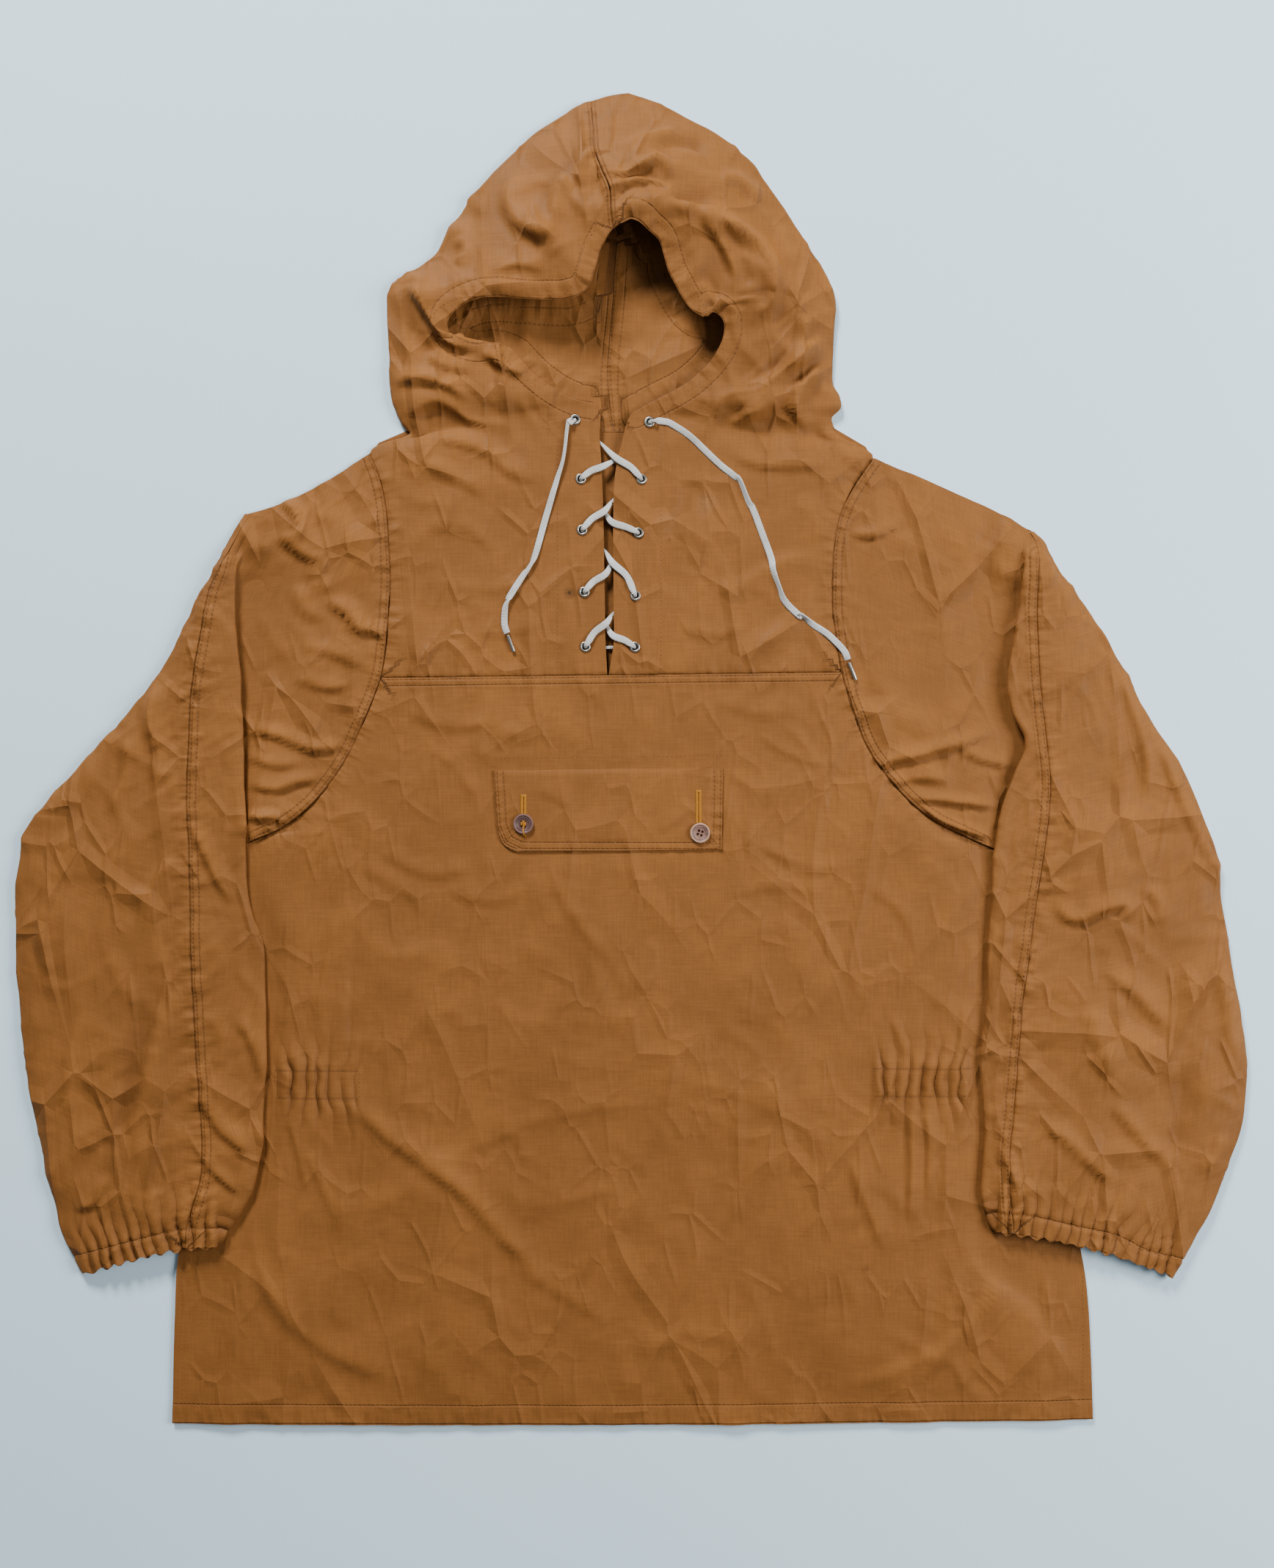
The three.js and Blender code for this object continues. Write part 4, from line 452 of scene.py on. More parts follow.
def cloth_object(name, cloth, flip=False, seams=()):
    """The sheet with its real thickness: face, back and edges. seams: lines in plan and their outer stitch rows.

    The material reads three attributes: Fold, Gather and Seam, and paints shade and highlight from them.
    """
    normal = cloth.normals()
    quads = cloth.quads()
    sign = -1 if flip else 1
    if flip:
        quads = quads[:, ::-1]
    outer = cloth.points + normal * OUTER_SKIN * sign
    inner = cloth.points + normal * (OUTER_SKIN - CLOTH_THICK) * sign
    inner[:, 2] = np.maximum(inner[:, 2], FLOOR_CLEAR)
    outer[:, 2] = np.maximum(outer[:, 2], FLOOR_CLEAR)
    count = len(outer)
    edges = np.vstack([quads[:, [0, 1]], quads[:, [1, 2]], quads[:, [2, 3]], quads[:, [3, 0]]])
    key = np.sort(edges, axis=1)
    _, where, times = np.unique(key, axis=0, return_index=True, return_counts=True)
    rim = edges[where[times == 1]]
    edge_faces = np.stack([rim[:, 1], rim[:, 0], rim[:, 0] + count, rim[:, 1] + count], axis=1)
    faces = np.vstack([quads, quads[:, ::-1] + count, edge_faces])
    piece = mesh_object(name, np.vstack([outer, inner]), faces, np.vstack([cloth.thread, cloth.thread]))
    # the cut edges are sharp, so that they don't darken the cloth beside them
    ends = np.empty(len(piece.data.edges) * 2, dtype=np.int32)
    piece.data.edges.foreach_get("vertices", ends)
    ends = np.sort(ends.reshape(-1, 2), axis=1).astype(np.int64)
    border = np.sort(rim, axis=1)
    border = np.vstack([border, border + count])
    wide = 2 * count
    sharp = np.isin(ends[:, 0] * wide + ends[:, 1], border[:, 0] * wide + border[:, 1])
    piece.data.attributes.new("sharp_edge", "BOOLEAN", "EDGE").data.foreach_set("value", sharp)
    # Fold carries the relief from which the material paints shade in hollows and highlight on ridges
    relief = np.zeros(count) if cloth.relief is None else np.tanh(cloth.relief / FULL_RELIEF) * 0.5
    drawn = np.tile([0.0, 0.0, 1.0], (count, 1)) if cloth.drawn is None else cloth.drawn
    place = seam_places(cloth.points[:, 0], cloth.points[:, 1], seams)
    for label, kind, slot, values in (
        ("Fold", "FLOAT", "value", 0.5 + relief),
        ("Gather", "FLOAT_VECTOR", "vector", drawn),
        ("Seam", "FLOAT_VECTOR", "vector", place),
    ):
        layer = piece.data.attributes.new(label, kind, "POINT")
        layer.data.foreach_set(slot, np.concatenate([values, values]).ravel())
    return piece


def run_of(grid):
    """Distances along the columns and the rows of a grid, in mm: where the threads run."""
    across = np.zeros(grid.shape[:2])
    across[:, 1:] = np.cumsum(np.linalg.norm(np.diff(grid, axis=1), axis=2), axis=1)
    down = np.zeros(grid.shape[:2])
    down[1:] = np.cumsum(np.linalg.norm(np.diff(grid, axis=0), axis=2), axis=0)
    return np.stack([across, down], axis=2)


FRONT_INSIDE = 17


def front_lower_rows():
    rows = []
    for i, (lx, ly, rx, ry, cl, cr) in enumerate(SIDE):
        level = lerp(2.6, BODY_MID, float(smooth(i / 2)))
        rows.append(((lx, ly, EDGE_MID), (rx, ry, EDGE_MID), cl, cr, COVERED_MID, level, HEM_SAG if i == 0 else 0))
    covers = [(-275, 257), (-274, 257), (-245, 232), (-225, 208)]
    for k in range(CHEST_ROW + 1):
        left, right = BODY_SIDE["left"][k], BODY_SIDE["right"][k]
        cl, cr = covers[k] if k < 4 else (left[0] + 13, right[0] - 13)
        drop = SEAM_GAP / 2 if k == CHEST_ROW else 0
        cover = COVERED_MID if k < 2 else lerp(left[2], BODY_MID, 0.6)
        lower_left, lower_right = (left[0], left[1] - drop, left[2]), (right[0], right[1] - drop, right[2])
        rows.append((lower_left, lower_right, cl, cr, cover, BODY_MID, 0))
    return rows


def front_lower_grid():
    rows = front_lower_rows()
    grid = []
    for i, (left, right, cl, cr, cover, level, sag) in enumerate(rows):
        xs = [left[0], lerp(left[0], cl, 0.5), cl, cl + 9]
        xs += [lerp(cl + 9, cr - 9, k / FRONT_INSIDE) for k in range(1, FRONT_INSIDE)]
        xs += [cr - 9, cr, lerp(right[0], cr, 0.5), right[0]]
        line = []
        for j, x in enumerate(xs):
            u = (x - left[0]) / (right[0] - left[0])
            y = lerp(left[1], right[1], u) - sag * 4 * u * (1 - u)
            edge = min(j, len(xs) - 1 - j)
            if edge == 0:
                z = left[2] if j == 0 else right[2]
            elif edge == 1:
                z = lerp(left[2], cover, 0.5)
            elif edge == 2:
                z = min(cover, level)
            else:
                fade = float(smooth(min(x - cl, cr - x) / 26))
                ends = float(smooth(min(i / 2, (len(rows) - 1 - i) / 1.5)))
                rise = lerp(cover, level, 0.75) if edge == 3 else level
                z = rise + front_folds(x, y) * fade * ends
            line.append((x, y, z))
        grid.append(line)
    return np.array(grid, dtype=float)


FRONT_STEPS = [0, 0.1, 0.22, 0.34, 0.46, 0.58, 0.7, 0.85, 1]
TURN_CELLS = 4
BACK_CELLS = 4


def hood_rows(side):
    """The rows of one upper front with its side of the hood. Rows below the neck end at the armhole."""
    s = -1 if side == "left" else 1
    sections = HOODS[side]
    half = SEAM_GAP / 2
    last = len(sections) - 1
    out_rows = []
    for i, (ix, iy, iz, ox, oy, bx, by) in enumerate(sections):
        up = half if i == 0 else 0
        points = []
        if i < NECK_ROW:
            end = BODY_SIDE[side][CHEST_ROW + i].copy()
            end[1] += up
            for t in FRONT_STEPS[:-1]:
                x, y = lerp(ix, end[0], t), lerp(iy + up, end[1], t)
                level = BODY_MID if i == 0 else lerp(iz, BODY_MID, float(smooth(t * 3 - 0.6)))
                level = lerp(level, end[2], float(smooth((t - 0.75) * 4)))
                fade = float(smooth(min(1, (1 - t) * 4, i / 1.5)))
                points.append((x, y, level + front_folds(x, y) * fade))
            points.append(tuple(end))
            out_rows.append(points)
            continue
        radius = lerp(0.7, HOOD_TURN, float(smooth((i - NECK_ROW) / 2)))
        crown = i == last
        out = np.array([ox + (s * half if crown else 0), oy + (half if i == NECK_ROW else 0), 0.0])
        back = np.array([bx + s * half, by + (half if i == NECK_ROW else 0), CLOTH_MID])
        lean = np.array([0.0, 1.0, 0.0]) if crown else np.array([out[0] - ix, (out[1] - iy) * 0.6, 0.0])
        lean /= np.linalg.norm(lean)
        centre = out - lean * radius
        top = CLOTH_MID + 2 * radius
        ends = float(smooth(min((i - NECK_ROW) / 2, 1)) * smooth((last - i) / 2))
        for j, t in enumerate(FRONT_STEPS):
            if j == len(FRONT_STEPS) - 1:
                points.append((centre[0], centre[1], top))
            elif crown:
                points.append((CROWN[j][0] + s * half, CROWN[j][1], CROWN[j][2]))
            else:
                x, y = lerp(ix, centre[0], t), lerp(iy, centre[1], t)
                high = (iz - top) * (1 - t * t) + 3.5 * math.sin(math.pi * t) * ends
                fade = float(smooth((1 - t) * 4)) * ends
                points.append((x, y, top + high + fold_at(HOOD_FOLDS, x, y) * fade))
        for k in range(1, TURN_CELLS + 1):
            angle = math.pi * k / TURN_CELLS
            p = centre + lean * radius * math.sin(angle)
            points.append((p[0], p[1], CLOTH_MID + radius * (1 + math.cos(angle))))
        for k in range(1, BACK_CELLS + 1):
            t = k / BACK_CELLS
            points.append((lerp(centre[0], back[0], t), lerp(centre[1], back[1], t), CLOTH_MID))
        out_rows.append(points)
    return out_rows


LAYER_A = 2
TURN_A = 3
LAYER_B = 3
TURN_B = 4
TOP_C = 5
TOP_D = 3
TURN_E = 4
UNDER_F = 3
START_B = LAYER_A + TURN_A
OVER = START_B + LAYER_B + TURN_B + TOP_C
ARMPIT_ROW = 14
PLEAT_LEVEL = [1.9, 3.2, 4.0, 4.4, 4.4, 4.4, 4.4, 4.4, 4.4, 4.4, 4.4, 4.4, 3.9, 3.0, 1.9]
UNDER_FOLD = 4.5
SEAM_INSET = 4
OVER_BODY = 3.5


def side_at(side, y):
    xs = [row[0] if side == "left" else row[2] for row in SIDE]
    ys = [row[1] if side == "left" else row[3] for row in SIDE]
    return float(np.interp(y, ys, xs))


def sleeve_grid(side):
    """All columns of one sleeve: the pleat, the fold, the top, the outer edge and the layer below."""
    s = -1 if side == "left" else 1
    sections = SLEEVES[side]
    grid = []
    for i, (hole, fx, fy, degrees, depth, vx, vy, ex, ey, ux, uy, sag) in enumerate(sections):
        in_hole = i <= ARMPIT_ROW
        seam = SLEEVE_SIDE[side][int(hole)] if in_hole else None
        fold, edge, over = np.array([fx, fy, 0.0]), np.array([ex, ey, 0.0]), np.array([vx, vy, 0.0])
        radius = lerp(0.7, OUTER_TURN, float(smooth(i / 3)))
        top = CLOTH_MID + 2 * radius
        outwards = (edge - fold) / np.linalg.norm(edge - fold)
        centre = edge - outwards * radius
        inset = SEAM_INSET + radius
        if np.linalg.norm(over - edge) < inset:
            over = edge - outwards * inset
        outward = (over - fold) / np.linalg.norm(over - fold)
        turn = math.radians(degrees)
        level = PLEAT_LEVEL[i] if in_hole else 0
        tight = lerp(0.8, SLEEVE_TURN, float(smooth((i - 3) / 2))) if in_hole else SLEEVE_TURN
        fold_level = 4.7 if i == ARMPIT_ROW else level + 2 * PLEAT_RADIUS + {13: 0.9, 12: 0.3}.get(i, 0)
        profile = []
        if in_hole:
            for k in range(TURN_A + 1):
                phi = turn * k / TURN_A
                spread = k if turn < 0.1 else 0
                profile.append((PLEAT_RADIUS * math.sin(phi) + spread, level + PLEAT_RADIUS * (1 - math.cos(phi))))
            s1, z1 = profile[-1]
            rise = fold_level - z1 if turn > 3 else depth * math.sin(turn)
            for t in [2 / depth if turn > 3 else 1 / 3, 0.5 if turn > 3 else 2 / 3, 1]:
                profile.append((s1 + depth * math.cos(turn) * t, z1 + rise * t))
        else:
            profile.append((0, UNDER_FOLD))
        s2, z2 = profile[-1]
        bend = turn if in_hole else math.pi
        cs, cz = s2 + tight * math.sin(bend), z2 - tight * math.cos(bend)
        for k in range(1, TURN_B + 1):
            phi = bend - bend * k / TURN_B
            spread = k * 1.2 if bend < 0.1 else 0
            profile.append((cs - tight * math.sin(phi) + spread, cz + tight * math.cos(phi)))
        base = -profile[len(profile) - 1 - TURN_B // 2][0]

        def place(p):
            at = fold + outward * (p[0] + base)
            return np.array([at[0], at[1], p[1]])

        points = []
        if in_hole:
            pleat = place(profile[0])
            if i == ARMPIT_ROW:
                pleat = SLEEVE_SIDE[side][0].copy()
            for k in range(LAYER_A):
                points.append(lerp(seam, pleat, k / LAYER_A))
            for k, p in enumerate(profile):
                placed = place(p)
                if i == ARMPIT_ROW and k <= TURN_A:
                    placed[0] = pleat[0] + (p[0] - profile[0][0]) * outward[0]
                    placed[1] = lerp(pleat[1], place(profile[TURN_A])[1], k / TURN_A) * 0.5 + pleat[1] * 0.5
                    if k == 0:
                        placed[1] = pleat[1]
                points.append(placed)
        else:
            under = np.array([ux - s * SEAM_GAP / 2, uy, CLOTH_MID])
            bottom = place(profile[0])
            points += [under] * (START_B + 1)
            beside = np.array([side_at(side, uy) + s * 1.6, lerp(uy, bottom[1], 0.2), OVER_BODY])
            points += [beside, lerp(beside, bottom, 0.5)]
            points += [place(p) for p in profile]
        start = points[-1]
        width = np.linalg.norm(start - over) + np.linalg.norm(over - centre)

        def raised(p):
            w = math.hypot(p[0] - start[0], p[1] - start[1]) / width
            loft = SLEEVE_LOFT * float(smooth(i / 3)) * math.sin(math.pi * min(1, max(0, w)))
            fade = float(smooth(min(w, 1 - w) * 5) * smooth(min(i / 2, (len(sections) - 1 - i) / 2)))
            high = fold_at(SLEEVE_FOLDS, p[0], p[1])
            return np.array([p[0], p[1], lerp(start[2], top, w) + loft + high * fade])

        for k in range(1, TOP_C + 1):
            points.append(raised(lerp(start, over, k / TOP_C)))
        for k in range(1, TOP_D):
            points.append(raised(lerp(over, centre, k / TOP_D)))
        lean = (edge - centre) / np.linalg.norm(edge - centre)
        for k in range(TURN_E + 1):
            angle = math.pi * k / TURN_E
            p = centre + lean * radius * math.sin(angle)
            points.append(np.array([p[0], p[1], CLOTH_MID + radius * (1 + math.cos(angle))]))
        if in_hole:
            hidden = SLEEVE_SIDE[side][int(hole) if hole > 1 else 0].copy()
        else:
            hidden = np.array([ux + s * SEAM_GAP / 2, uy, 0.0])
        hidden[2] = CLOTH_MID
        bottom = np.array([centre[0], centre[1], CLOTH_MID])
        for k in range(1, UNDER_F + 1):
            points.append(lerp(bottom, hidden, k / UNDER_F))
        begin = seam[0] if in_hole and i < 3 else fx
        row = []
        for p in points:
            t = min(1, max(0, (p[0] - begin) / (ex - begin)))
            row.append((p[0], p[1] + sag * 4 * t * (1 - t), p[2]))
        grid.append(row)
    return np.array(grid, dtype=float)


# ---- relief of the cloth: creases, puckers and gathers, in mm

# Each crease: width, height (negative for a trough), then the places it runs through.
# Its left side as one walks along it is gentle, its right side steep.
BODY_CREASES = [
    (10, 2.2, (-205, -250), (-180, -275), (-150, -297), (-118, -324)),
    (9, 1.7, (-150, -290), (-104, -338), (-60, -387)),
    (7, 1.3, (-240, -285), (-226, -312), (-217, -338)),
    (6, 1.2, (-250, -262), (-243, -290), (-236, -320)),
    (6, 1.2, (-60, -84), (-44, -112), (-22, -140), (-10, -150)),
    (6, 0.7, (-22, -140), (-8, -162), (-2, -176)),
    (6, 1.4, (247, -128), (249, -150), (246, -176)),
    (6, 1.3, (244, -176), (241, -218)),
    (6, 1.9, (204, -252), (205, -300), (203, -344)),
    (5, 1.4, (216, -250), (218, -290), (216, -325)),
    (7, 1.0, (190, -188), (197, -205), (202, -220)),
    (9, 1.5, (159, -290), (172, -325), (187, -364)),
    (11, 1.4, (-276, -360), (-262, -395), (-236, -424), (-200, -444), (-160, -457)),
    (11, 1.2, (278, -352), (262, -392), (236, -424), (190, -448), (140, -462)),
    (9, 1.0, (-92, -368), (-50, -392), (-8, -420)),
    (8, -0.8, (-75, -425), (-48, -398), (-18, -366)),
    (13, 0.9, (-150, -300), (-60, -262), (30, -250)),
    (12, 0.8, (30, -232), (90, -250), (150, -286)),
    (11, 0.8, (120, -280), (70, -330), (26, -400)),
    (11, 0.8, (0, -440), (40, -420), (90, -430)),
    (8, 1.1, (-213, -110), (-226, -160), (-232, -205)),
    (8, -1.0, (-200, -120), (-206, -170), (-204, -225)),
    (7, 1.0, (-185, -66), (-150, -84), (-110, -78)),
    (7, 0.9, (-130, -96), (-100, -104), (-72, -92)),
    (9, 0.8, (-210, -76), (-170, -92), (-140, -128)),
    (8, 0.9, (88, -60), (128, -78), (166, -80)),
    (8, 0.8, (168, -90), (196, -110), (212, -150)),
    (8, 0.8, (70, -100), (112, -92), (150, -104)),
    (8, 0.8, (-170, 36), (-130, 24), (-96, 28)),
    (8, 0.7, (60, 44), (92, 34), (132, 36)),
    (7, 0.8, (-150, 10), (-126, -8), (-112, -30)),
    (8, 0.7, (90, 20), (120, 2), (150, -6)),
    (9, 0.8, (-330, -400), (-318, -440), (-322, -470)),
    (9, 0.8, (326, -392), (312, -428), (318, -465)),
]
UPPER_CREASES = [
    (7, 2.0, (-150, 240), (-128, 232), (-108, 226), (-88, 210), (-62, 202)),
    (7, 1.4, (-160, 222), (-130, 206), (-100, 190)),
    (7, 0.9, (-150, 172), (-120, 168), (-96, 150)),
    (7, 0.8, (-140, 128), (-104, 124), (-66, 128)),
    (7, 0.8, (-120, 96), (-96, 92), (-62, 100)),
    (7, 1.6, (70, 226), (92, 216), (118, 215), (150, 216)),
    (7, 2.0, (140, 244), (152, 228), (172, 212)),
    (9, 1.3, (140, 150), (110, 146), (78, 128), (52, 122)),
    (7, 1.0, (118, 192), (132, 176), (138, 158)),
    (7, 1.0, (34, 98), (58, 92), (88, 97)),
    (7, 0.8, (34, 210), (54, 200), (60, 186)),
    (8, 0.8, (122, 118), (108, 96), (92, 82)),
]
HOOD_CREASES = [
    (5, 3.4, (-20, 421), (-8, 418), (8, 425), (21, 428), (25, 421), (17, 415)),
    (6, 3.0, (-19, 405), (-2, 412), (19, 411), (34, 404)),
    (7, -3.0, (26, 402), (46, 401), (64, 398)),
    (8, 4.2, (50, 392), (77, 380), (91, 369), (101, 348), (97, 328), (80, 325)),
    (6, 2.6, (52, 390), (66, 370), (74, 350), (70, 336)),
    (10, 3.0, (36, 459), (20, 452), (8, 448), (-14, 437)),
    (9, -2.4, (18, 440), (36, 446), (58, 440)),
    (9, 2.4, (63, 421), (80, 418), (93, 401)),
    (7, 2.0, (104, 392), (110, 372), (116, 356)),
    (7, 3.4, (140, 309), (124, 296), (107, 281), (91, 268)),
    (7, 2.6, (124, 326), (122, 300), (106, 284)),
    (7, 3.0, (141, 290), (126, 276), (118, 262), (131, 238)),
    (6, 1.8, (60, 330), (56, 338), (50, 346)),
    (6, 2.0, (100, 260), (84, 254), (70, 244)),
    (9, 3.2, (-80, 428), (-90, 410), (-79, 386), (-60, 378), (-52, 386)),
    (8, 2.6, (-45, 425), (-54, 407), (-57, 383)),
    (8, 2.2, (-28, 440), (-38, 424), (-34, 410)),
    (7, 2.2, (-128, 380), (-120, 370), (-130, 358)),
    (7, 3.2, (-163, 348), (-147, 325), (-131, 304), (-108, 298)),
    (7, 2.6, (-173, 272), (-163, 277), (-136, 273), (-116, 262)),
    (7, 2.2, (-110, 298), (-90, 285), (-76, 280)),
    (8, 2.2, (-168, 250), (-140, 262), (-112, 246), (-84, 240)),
    (8, 1.8, (-150, 296), (-136, 286), (-112, 284)),
    (9, 1.6, (-100, 350), (-86, 356), (-60, 352)),
    (8, 1.4, (-140, 420), (-118, 410), (-104, 392)),
]
INSIDE_CREASES = [
    (4, 2.6, (-74, 332), (-78, 312), (-80, 293)),
    (6, 1.4, (-2, 350), (-6, 330), (-9, 306)),
    (5, 1.4, (18, 302), (17, 285), (20, 268)),
    (6, 1.2, (38, 328), (26, 306), (20, 296)),
    (5, 1.1, (-52, 306), (-56, 292), (-60, 280)),
    (6, 1.0, (-38, 326), (-46, 312), (-40, 296)),
    (5, 0.9, (-26, 290), (-34, 280), (-46, 276)),
]
SLEEVE_CREASES = [
    (7, 2.6, (-262, 168), (-245, 153), (-232, 145), (-234, 133), (-224, 119)),
    (7, 3.0, (-224, 119), (-210, 108), (-199, 96), (-186, 93), (-176, 84)),
    (6, 2.2, (-258, 192), (-248, 182), (-244, 170), (-254, 158)),
    (8, 1.6, (-246, 130), (-240, 110), (-222, 100)),
    (7, 1.2, (-246, 62), (-222, 52), (-202, 58)),
    (7, 1.3, (-240, 84), (-214, 76), (-190, 66)),
    (6, 2.2, (-284, 22), (-258, 17), (-236, 8), (-206, 10)),
    (6, 1.8, (-282, -17), (-262, -22), (-244, -16), (-222, -14)),
    (5, 2.2, (-283, -44), (-266, -42), (-250, -47)),
    (6, 1.4, (-284, 4), (-262, -4), (-240, -2)),
    (14, -1.8, (-348, -150), (-360, -190), (-370, -232), (-376, -262), (-395, -292), (-415, -316)),
    (9, 2.0, (-338, -168), (-350, -212), (-362, -262), (-378, -300)),
    (9, 1.8, (-345, 66), (-352, 30), (-344, 0), (-352, -34)),
    (8, 1.8, (-366, 20), (-372, -18), (-384, -42)),
    (8, 1.6, (-330, -70), (-352, -92), (-358, -130)),
    (8, -1.4, (-326, -96), (-342, -118), (-338, -152)),
    (7, 1.7, (-322, -44), (-306, -80), (-290, -109)),
    (6, 1.5, (-276, -100), (-266, -122), (-268, -150)),
    (7, 1.7, (-316, -244), (-300, -270), (-274, -291)),
    (6, 1.6, (-315, -289), (-300, -305), (-284, -319)),
    (7, 1.4, (-290, -186), (-276, -210), (-268, -240)),
    (9, 1.4, (-404, -40), (-424, -90), (-436, -150)),
    (9, 1.2, (-400, -180), (-412, -230), (-414, -270)),
    (7, 1.6, (-408, -330), (-392, -322), (-380, -300)),
    (7, 1.4, (-346, -310), (-352, -330), (-346, -350)),
    (6, 2.6, (160, -28), (180, -6), (214, 4), (246, 14), (272, 23)),
    (6, 1.8, (236, 16), (250, 3), (283, -5)),
    (5, 2.2, (203, -28), (228, -30), (271, -35)),
    (5, 2.0, (210, -30), (222, -42), (240, -50), (268, -58)),
    (6, 1.5, (186, -20), (206, -14), (236, -16)),
    (5, 1.8, (158, 165), (180, 165), (201, 179)),
    (9, -2.0, (264, 184), (256, 150), (254, 124), (260, 100)),
    (8, 1.8, (280, 196), (272, 160), (268, 110)),
    (7, 1.6, (380, 24), (393, -8), (407, -40), (422, -72), (436, -102)),
    (9, 1.8, (352, 70), (366, 36), (376, 0), (374, -40)),
    (7, 2.2, (308, -102), (321, -117), (345, -109), (359, -106), (358, -126)),
    (7, 1.8, (376, -92), (384, -106), (382, -122)),
    (9, 2.0, (342, -152), (360, -164), (376, -180), (394, -202)),
    (14, -1.6, (396, -226), (398, -262), (388, -294)),
    (8, 1.8, (330, -176), (340, -210), (352, -240)),
    (7, 2.0, (298, -262), (330, -290), (356, -316)),
    (8, 1.8, (348, -248), (370, -275), (396, -302)),
    (8, 1.6, (432, -272), (422, -290), (413, -304)),
    (7, 1.4, (300, -128), (286, -152), (292, -176)),
    (7, 1.6, (268, -280), (278, -304), (290, -326)),
    (9, 1.4, (424, -140), (436, -190), (440, -236)),
    (8, 1.4, (350, 120), (362, 96), (380, 76)),
]

FLAP_CREASES = [
    (7, 0.6, (20, -54), (46, -34)),
    (8, 0.5, (-70, -20), (-40, -36)),
    (8, 0.4, (-30, -60), (10, -56)),
]

# Waist casings with elastic inside: x0, x1, y at the middle
WAIST = [(-262, -199, -238), (177, 250, -236.5)]
CASING_HALF = 10
CREASE_RISE = 1.35
DEEPER = 1.3  # the creases of the hood and the sleeves are deeper than the body's


def soft_noise(x, y, size, seed):
    """Noise between about -1 and 1 without any grain along the axes."""
    gx, gy = x / size, y / size
    ix, iy = np.floor(gx), np.floor(gy)
    fx, fy = gx - ix, gy - iy

    def corner(a, b):
        wave = np.sin((ix + a) * 127.1 + (iy + b) * 311.7 + seed * 74.7) * 43758.5453
        angle = 2 * math.pi * (wave - np.floor(wave))
        return np.cos(angle) * (fx - a) + np.sin(angle) * (fy - b)

    sx = fx**3 * (fx * (fx * 6 - 15) + 10)
    sy = fy**3 * (fy * (fy * 6 - 15) + 10)
    return 1.5 * lerp(lerp(corner(0, 0), corner(1, 0), sx), lerp(corner(0, 1), corner(1, 1), sx), sy)


def crumple(x, y, seed):
    """Washed cotton that has been folded and smoothed by hand: a net of crisp low creases between flat places."""
    wx = x + 16 * soft_noise(x, y, 46, seed + 1)
    wy = y + 16 * soft_noise(x, y, 46, seed + 2)
    height = 0.8 * soft_noise(x, y, 90, seed + 3)
    nets = ((74, 1.3, 0.6, 0.62), (40, 1.0, 2.0, 0.6), (21, 0.5, 1.2, 0.7), (11, 0.16, 0.3, 0.8))
    for size, rise, angle, stretch in nets:
        c, s = math.cos(angle), math.sin(angle)
        n = soft_noise((wx * c + wy * s) * stretch, wy * c - wx * s, size, seed + size)
        present = smooth(soft_noise(x, y, size * 1.7, seed + 5 + size) * 1.4 + 0.45)
        height += rise * present * (1 - np.clip(np.abs(n) * 2.9, 0, 1)) ** 1.2
    return height


def creases(rows, x, y):
    """The height of creases along lines: gentle on one side, steep on the other, fading at their ends."""
    height = np.zeros(x.shape)
    for width, rise, *line in rows:
        line = fine_line(line, 5) if len(line) > 2 else line
        line = np.array(line)
        low, high = line.min(0) - width * 3, line.max(0) + width * 3
        near = (x > low[0]) & (x < high[0]) & (y > low[1]) & (y < high[1])
        if not near.any():
            continue
        away, along, side = along_line(x[near], y[near], line)
        total = np.linalg.norm(np.diff(line, axis=0), axis=1).sum()
        ends = smooth(along / (0.22 * total)) * smooth((total - along) / (0.3 * total))
        ends *= np.exp(-((away / (width * 2.2)) ** 4))
        gentle = np.clip(1 - away / (1.6 * width), 0, 1) ** 1.2
        steep = np.exp(-away / (width * 0.3)) - 0.2 * dip(away, width * 0.8, width * 0.45)
        height[near] += CREASE_RISE * rise * ends * np.where(side > 0, gentle, steep)
    return height


def gathers(x, y):
    """Upright puffs that the waist elastic draws up above, in and below its casing, with sharp valleys between.

    Also gives the material each place's turn through the waves, their strength, and the distance from the casing's
    middle, so that it can draw the valleys finer than the mesh does and paint shade in them.
    """
    height = np.zeros(x.shape)
    drawn = np.zeros((len(x), 3))
    drawn[:, 2] = 1.0
    for x0, x1, middle in WAIST:
        share = smooth((x - x0 + 4) / 12) * smooth((x1 - x + 4) / 10)
        away = np.abs(y - middle)
        near = (share > 0) & (away < CASING_HALF + 60)
        fan = 1 + 0.012 * np.maximum(away - CASING_HALF, 0)
        wander = 3.4 * soft_noise(x, y * 0.5, 23, 3) + 1.6 * soft_noise(x, y, 12, 4)
        turn = ((x - (x0 + x1) / 2) / fan + wander) * math.pi / 9.5
        share = share * np.where(away < CASING_HALF, 1.0, np.exp(-(away - CASING_HALF) / 15))
        share = share * (0.72 + 0.5 * soft_noise(x, y * 0.4, 17, 8))
        height += 3.3 * share * (np.abs(np.sin(turn)) ** 0.7 - 0.45)
        held = (share > 0) * smooth((x - x0) / 6) * smooth((x1 - x) / 6)
        height -= 0.6 * held * dip(away, CASING_HALF, 1.5)
        inside = (x > x0) & (x < x1)
        drawn[near, 0], drawn[near, 1] = turn[near], share[near]
        drawn[near & inside, 2] = away[near & inside] * MM
    return height, drawn


